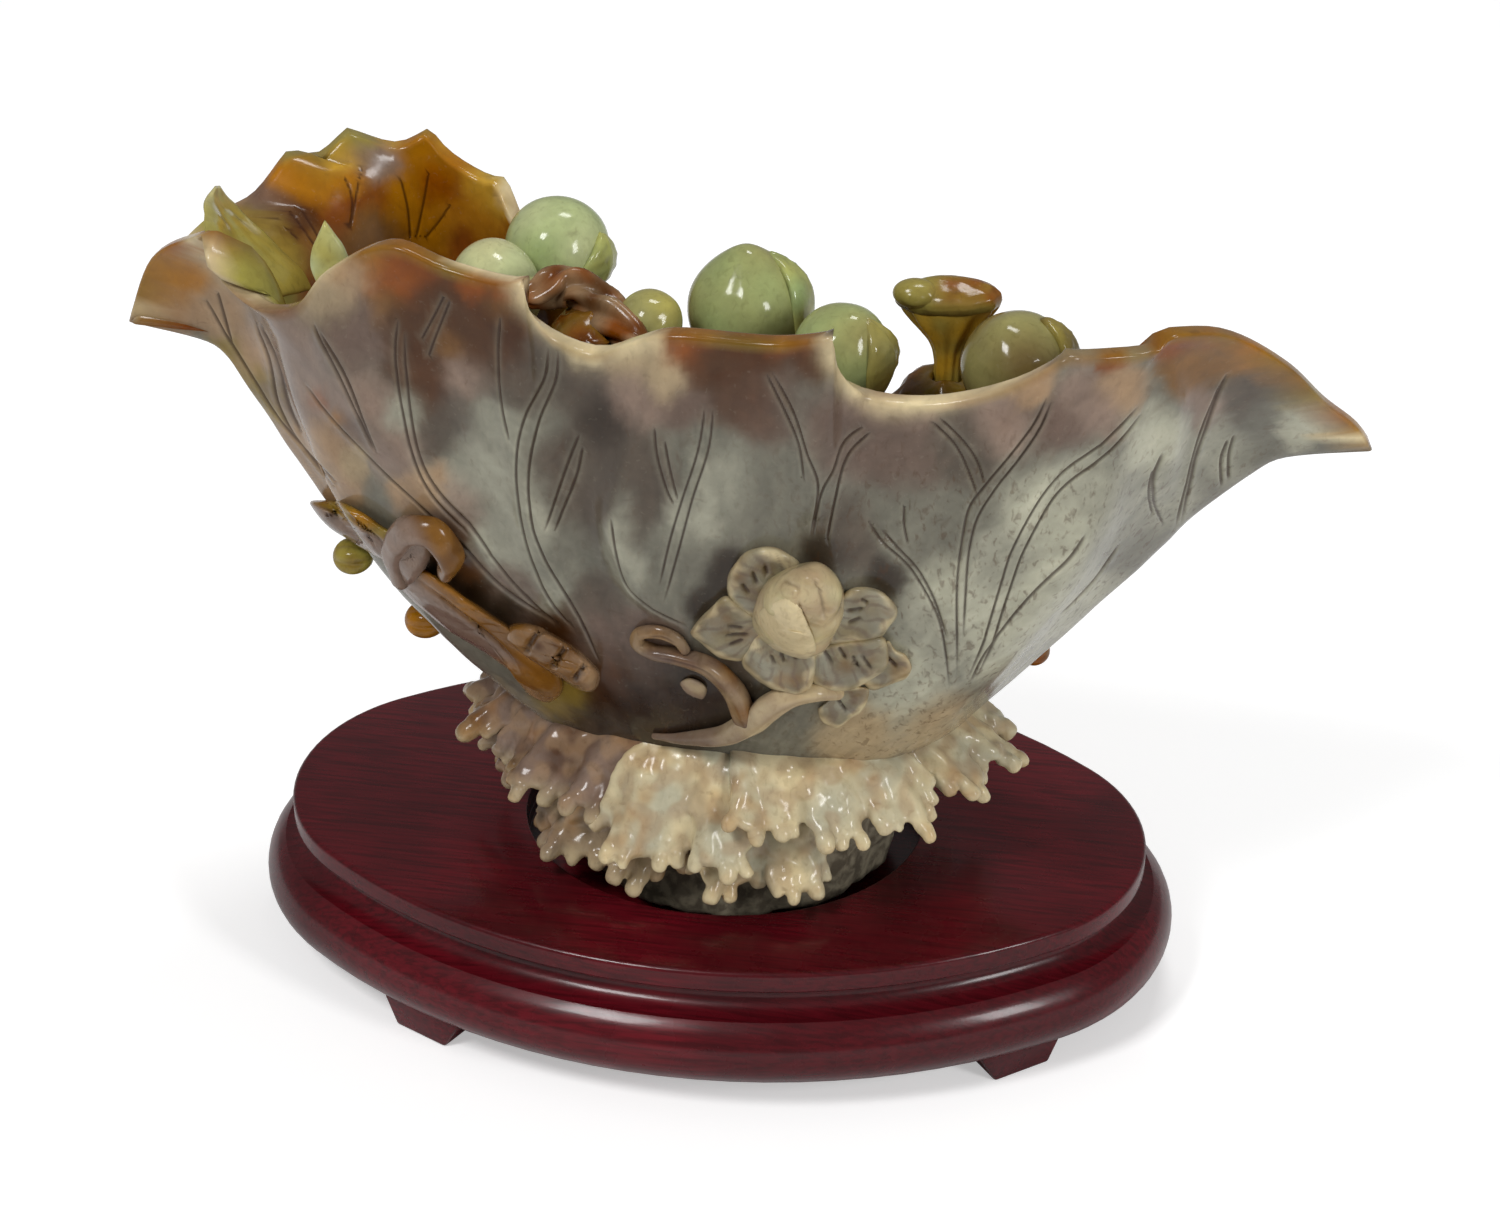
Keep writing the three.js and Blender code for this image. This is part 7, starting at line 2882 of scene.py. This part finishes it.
@dataclass
class Fronds:
    """The frilled fronds round the foot: rippled sheets that end in round fingers."""

    foot_height: float = 37.96
    rise: float = 33
    thickness: float = 3.2
    finger_length: float = 2.1
    finger_radius: float = 1.65
    voxel: float = 0.4
    centre: tuple = (0, -3)
    root_half: tuple = (36, 27)
    edge_half: tuple = (54, 34)
    specs: tuple = (
        FrondSpec("left_upper", 172, 206, 0.98, 0.62, 1, 7, LEFT_HUES),
        FrondSpec("left_lower", 178, 208, 0.66, 0.32, 0.92, 6, LEFT_HUES),
        FrondSpec("front_left_upper", 203, 250, 0.98, 0.5, 0.97, 10, LEFT_HUES),
        FrondSpec("front_left_lower", 216, 264, 0.5, 0.08, 0.93, 11, (Hue.BONE, Hue.LILAC, Hue.CREAM)),
        FrondSpec("front_middle", 245, 280, 0.96, 0.36, 1.1, 8, PALE_HUES),
        FrondSpec("front_right_upper", 274, 323, 1, 0.6, 1.08, 12, PALE_HUES),
        FrondSpec("front_right_lower", 264, 300, 0.5, 0.1, 0.94, 8, PALE_HUES),
        FrondSpec("right_upper", 319, 373, 1, 0.64, 1, 11, PALE_HUES),
        FrondSpec("back_right", 12, 66, 0.98, 0.5, 0.96, 11, PALE_HUES),
        FrondSpec("back_middle", 62, 117, 0.95, 0.4, 0.98, 11, PALE_HUES),
        FrondSpec("back_left", 111, 172, 0.98, 0.5, 0.96, 12, LEFT_HUES),
    )

    def grid(self, spec: FrondSpec, across: np.ndarray, down: np.ndarray, depth: np.ndarray) -> np.ndarray:
        """Finds points of a frond's sheet.

        Args:
            spec: The frond.
            across: Shares of the way round it.
            down: Shares of the way from its root to its edge.
            depth: How far the points lie under its outer side, in millimetres.

        Returns:
            One place for each share.
        """
        angle = np.radians(lerp(spec.start, spec.stop, across))
        fan = (2 * across - 1) ** 4
        flare = np.sin(down * math.pi / 2)
        turns = spec.fingers / 4.2
        ripple = 2.2 * np.sin(2 * math.pi * (across * turns + spec.start / 90)) * down**1.3
        ripple += 0.9 * np.sin(2 * math.pi * (across * turns * 2.3 + spec.start / 40)) * down
        out = ripple + 2.8 * smooth_step(down, 0.7, 1) - depth
        reach = spec.reach * (1 - 0.08 * fan * down)
        length = lerp(self.root_half[0], self.edge_half[0] * reach, flare) + out
        width = lerp(self.root_half[1], self.edge_half[1] * reach, flare) + out
        height = self.foot_height + self.rise * (lerp(spec.root, spec.edge, down**1.25) + 0.12 * fan * down)
        lift = 1.2 * np.sin(2 * math.pi * (across * turns + 0.3 + spec.start / 90)) * down**2
        x = self.centre[0] + length * np.cos(angle)
        y = self.centre[1] + width * np.sin(angle)
        return np.stack([x, y, height + lift - depth * 0.5], -1)

    def finger(self, spec: FrondSpec, count: int) -> bpy.types.Object:
        """Shapes one finger, which starts on the sheet and ends in a round tip.

        Args:
            spec: The frond.
            count: The finger's place on the frond, from 0.

        Returns:
            The finger as a swept solid.
        """
        odd = math.sin(count * 2.4 + spec.start)
        share = (count + 0.5 + 0.2 * odd) / spec.fingers
        down = np.array([0.74, 0.86, 0.97])
        ridge = self.grid(spec, np.full(3, share), down, np.array([1.3, 1.3, 1.5]))
        run = unit(ridge[2] - ridge[1])
        out = unit(np.array([ridge[2][0] - self.centre[0], ridge[2][1] - self.centre[1], 0]))
        along = np.array([-out[1], out[0], 0])
        lean = along * ((2 * share - 1) ** 3 * 0.9 + 0.25 * math.sin(count * 5.3 + spec.stop))
        reach = self.finger_length * (1 + 0.3 * math.sin(count * 4.1 + spec.stop))
        first = ridge[2] + unit(run * 0.7 + out * 0.8 + lean) * reach * 0.55
        last = first + unit(run * 0.9 + out * 0.35 + lean + np.array([0, 0, -0.3])) * reach * 0.55
        radius = self.finger_radius * (1 + 0.15 * odd)
        radii = [radius * part for part in (0.5, 0.85, 1.0, 1.0, 0.95)]
        return Solids.sweep("finger", [*ridge, first, last], radii, 14)

    def frond(self, spec: FrondSpec) -> bpy.types.Object:
        """Joins a rippled sheet and its fingers, and works them into one skin.

        Args:
            spec: The frond.

        Returns:
            The frond.
        """
        cols, rows = spec.fingers * 8, 24
        across, down = np.meshgrid(np.linspace(0, 1, cols + 1), np.linspace(0, 1, rows + 1))
        rim = np.clip(1 - down**14, 0, 1) * np.clip(1 - (2 * across - 1) ** 30, 0, 1)
        half = self.thickness / 2 * np.sqrt(rim)
        middle = self.thickness / 2
        front = self.grid(spec, across, down, middle - half)
        back = self.grid(spec, across, down, middle + half)
        back[0], front[0] = (back[0] + front[0]) / 2, (back[0] + front[0]) / 2
        made = Mesher.pillow("frilled_" + spec.name, front, back)
        fingers = [self.finger(spec, count) for count in range(spec.fingers)]
        only(made)
        for finger in fingers:
            finger.select_set(True)
        bpy.ops.object.join()
        apply_modifier(made, "REMESH", mode="VOXEL", voxel_size=self.voxel * MM)
        apply_modifier(made, "SMOOTH", factor=0.6, iterations=5)
        made.data.shade_smooth()
        ruffle(made, 0.9, 6, 6)
        ruffle(made, 0.3, 2.4, 66)
        points = points_of(made)
        points[:, 2] = np.maximum(points[:, 2], self.foot_height - 4.6)
        place_points(made, points)
        edge = self.foot_height + self.rise * spec.edge
        low = 1 - smooth_step(points[:, 2], edge - 3, edge + 3)
        spots = mottled(made, 3, 80) * smooth_step(mottled(made, 9, 81), 0.5, 0.9)
        shade = smooth_step(mottled(made, 4, 23), 0.35, 0.8)
        tint(made, list(spec.hues) + [Hue.HONEY, Hue.ROSE],
             [mottled(made, 9, 3) * 0.8, low * 0.6, spots * 0.4, shade * (1 - low) * 0.45])
        return made

    def build(self) -> None:
        """Builds the fronds and the rough stone foot."""
        amber, pale = AMBER.material(), PALE.material()
        for spec in self.specs:
            left = "left" in spec.name
            slot, material = (Slot.AMBER, amber) if left else (Slot.PALE, pale)
            hand_over(self.frond(spec), Body.CARVING, material, ["frond_" + spec.name])
        rough = carved_copy("rough_stone_foot", "sawn_foot", 3, 0)
        ruffle(rough, 0.9, 5, 3)
        ruffle(rough, 0.35, 1.6, 9)
        hand_over(rough, Body.CARVING, ROUGH.material(), ["rough_stone_foot"])


def main() -> None:
    """Builds the stage, the stand and the carving."""
    logging.basicConfig(level=logging.INFO)
    PHOTO.build()
    Studio().build()
    OvalStand().build()
    form = LeafForm()
    leaf = LeafVessel(form).build()
    hand_over(leaf, Body.CARVING, CELADON.material(), ["leaf_vessel"])
    wall = Wall(leaf)
    Fruit(form).build()
    InnerGrowth(form).build()
    Blossom(wall).build()
    SideSpray(wall).build()
    Fronds().build()


if __name__ == "__main__":
    main()
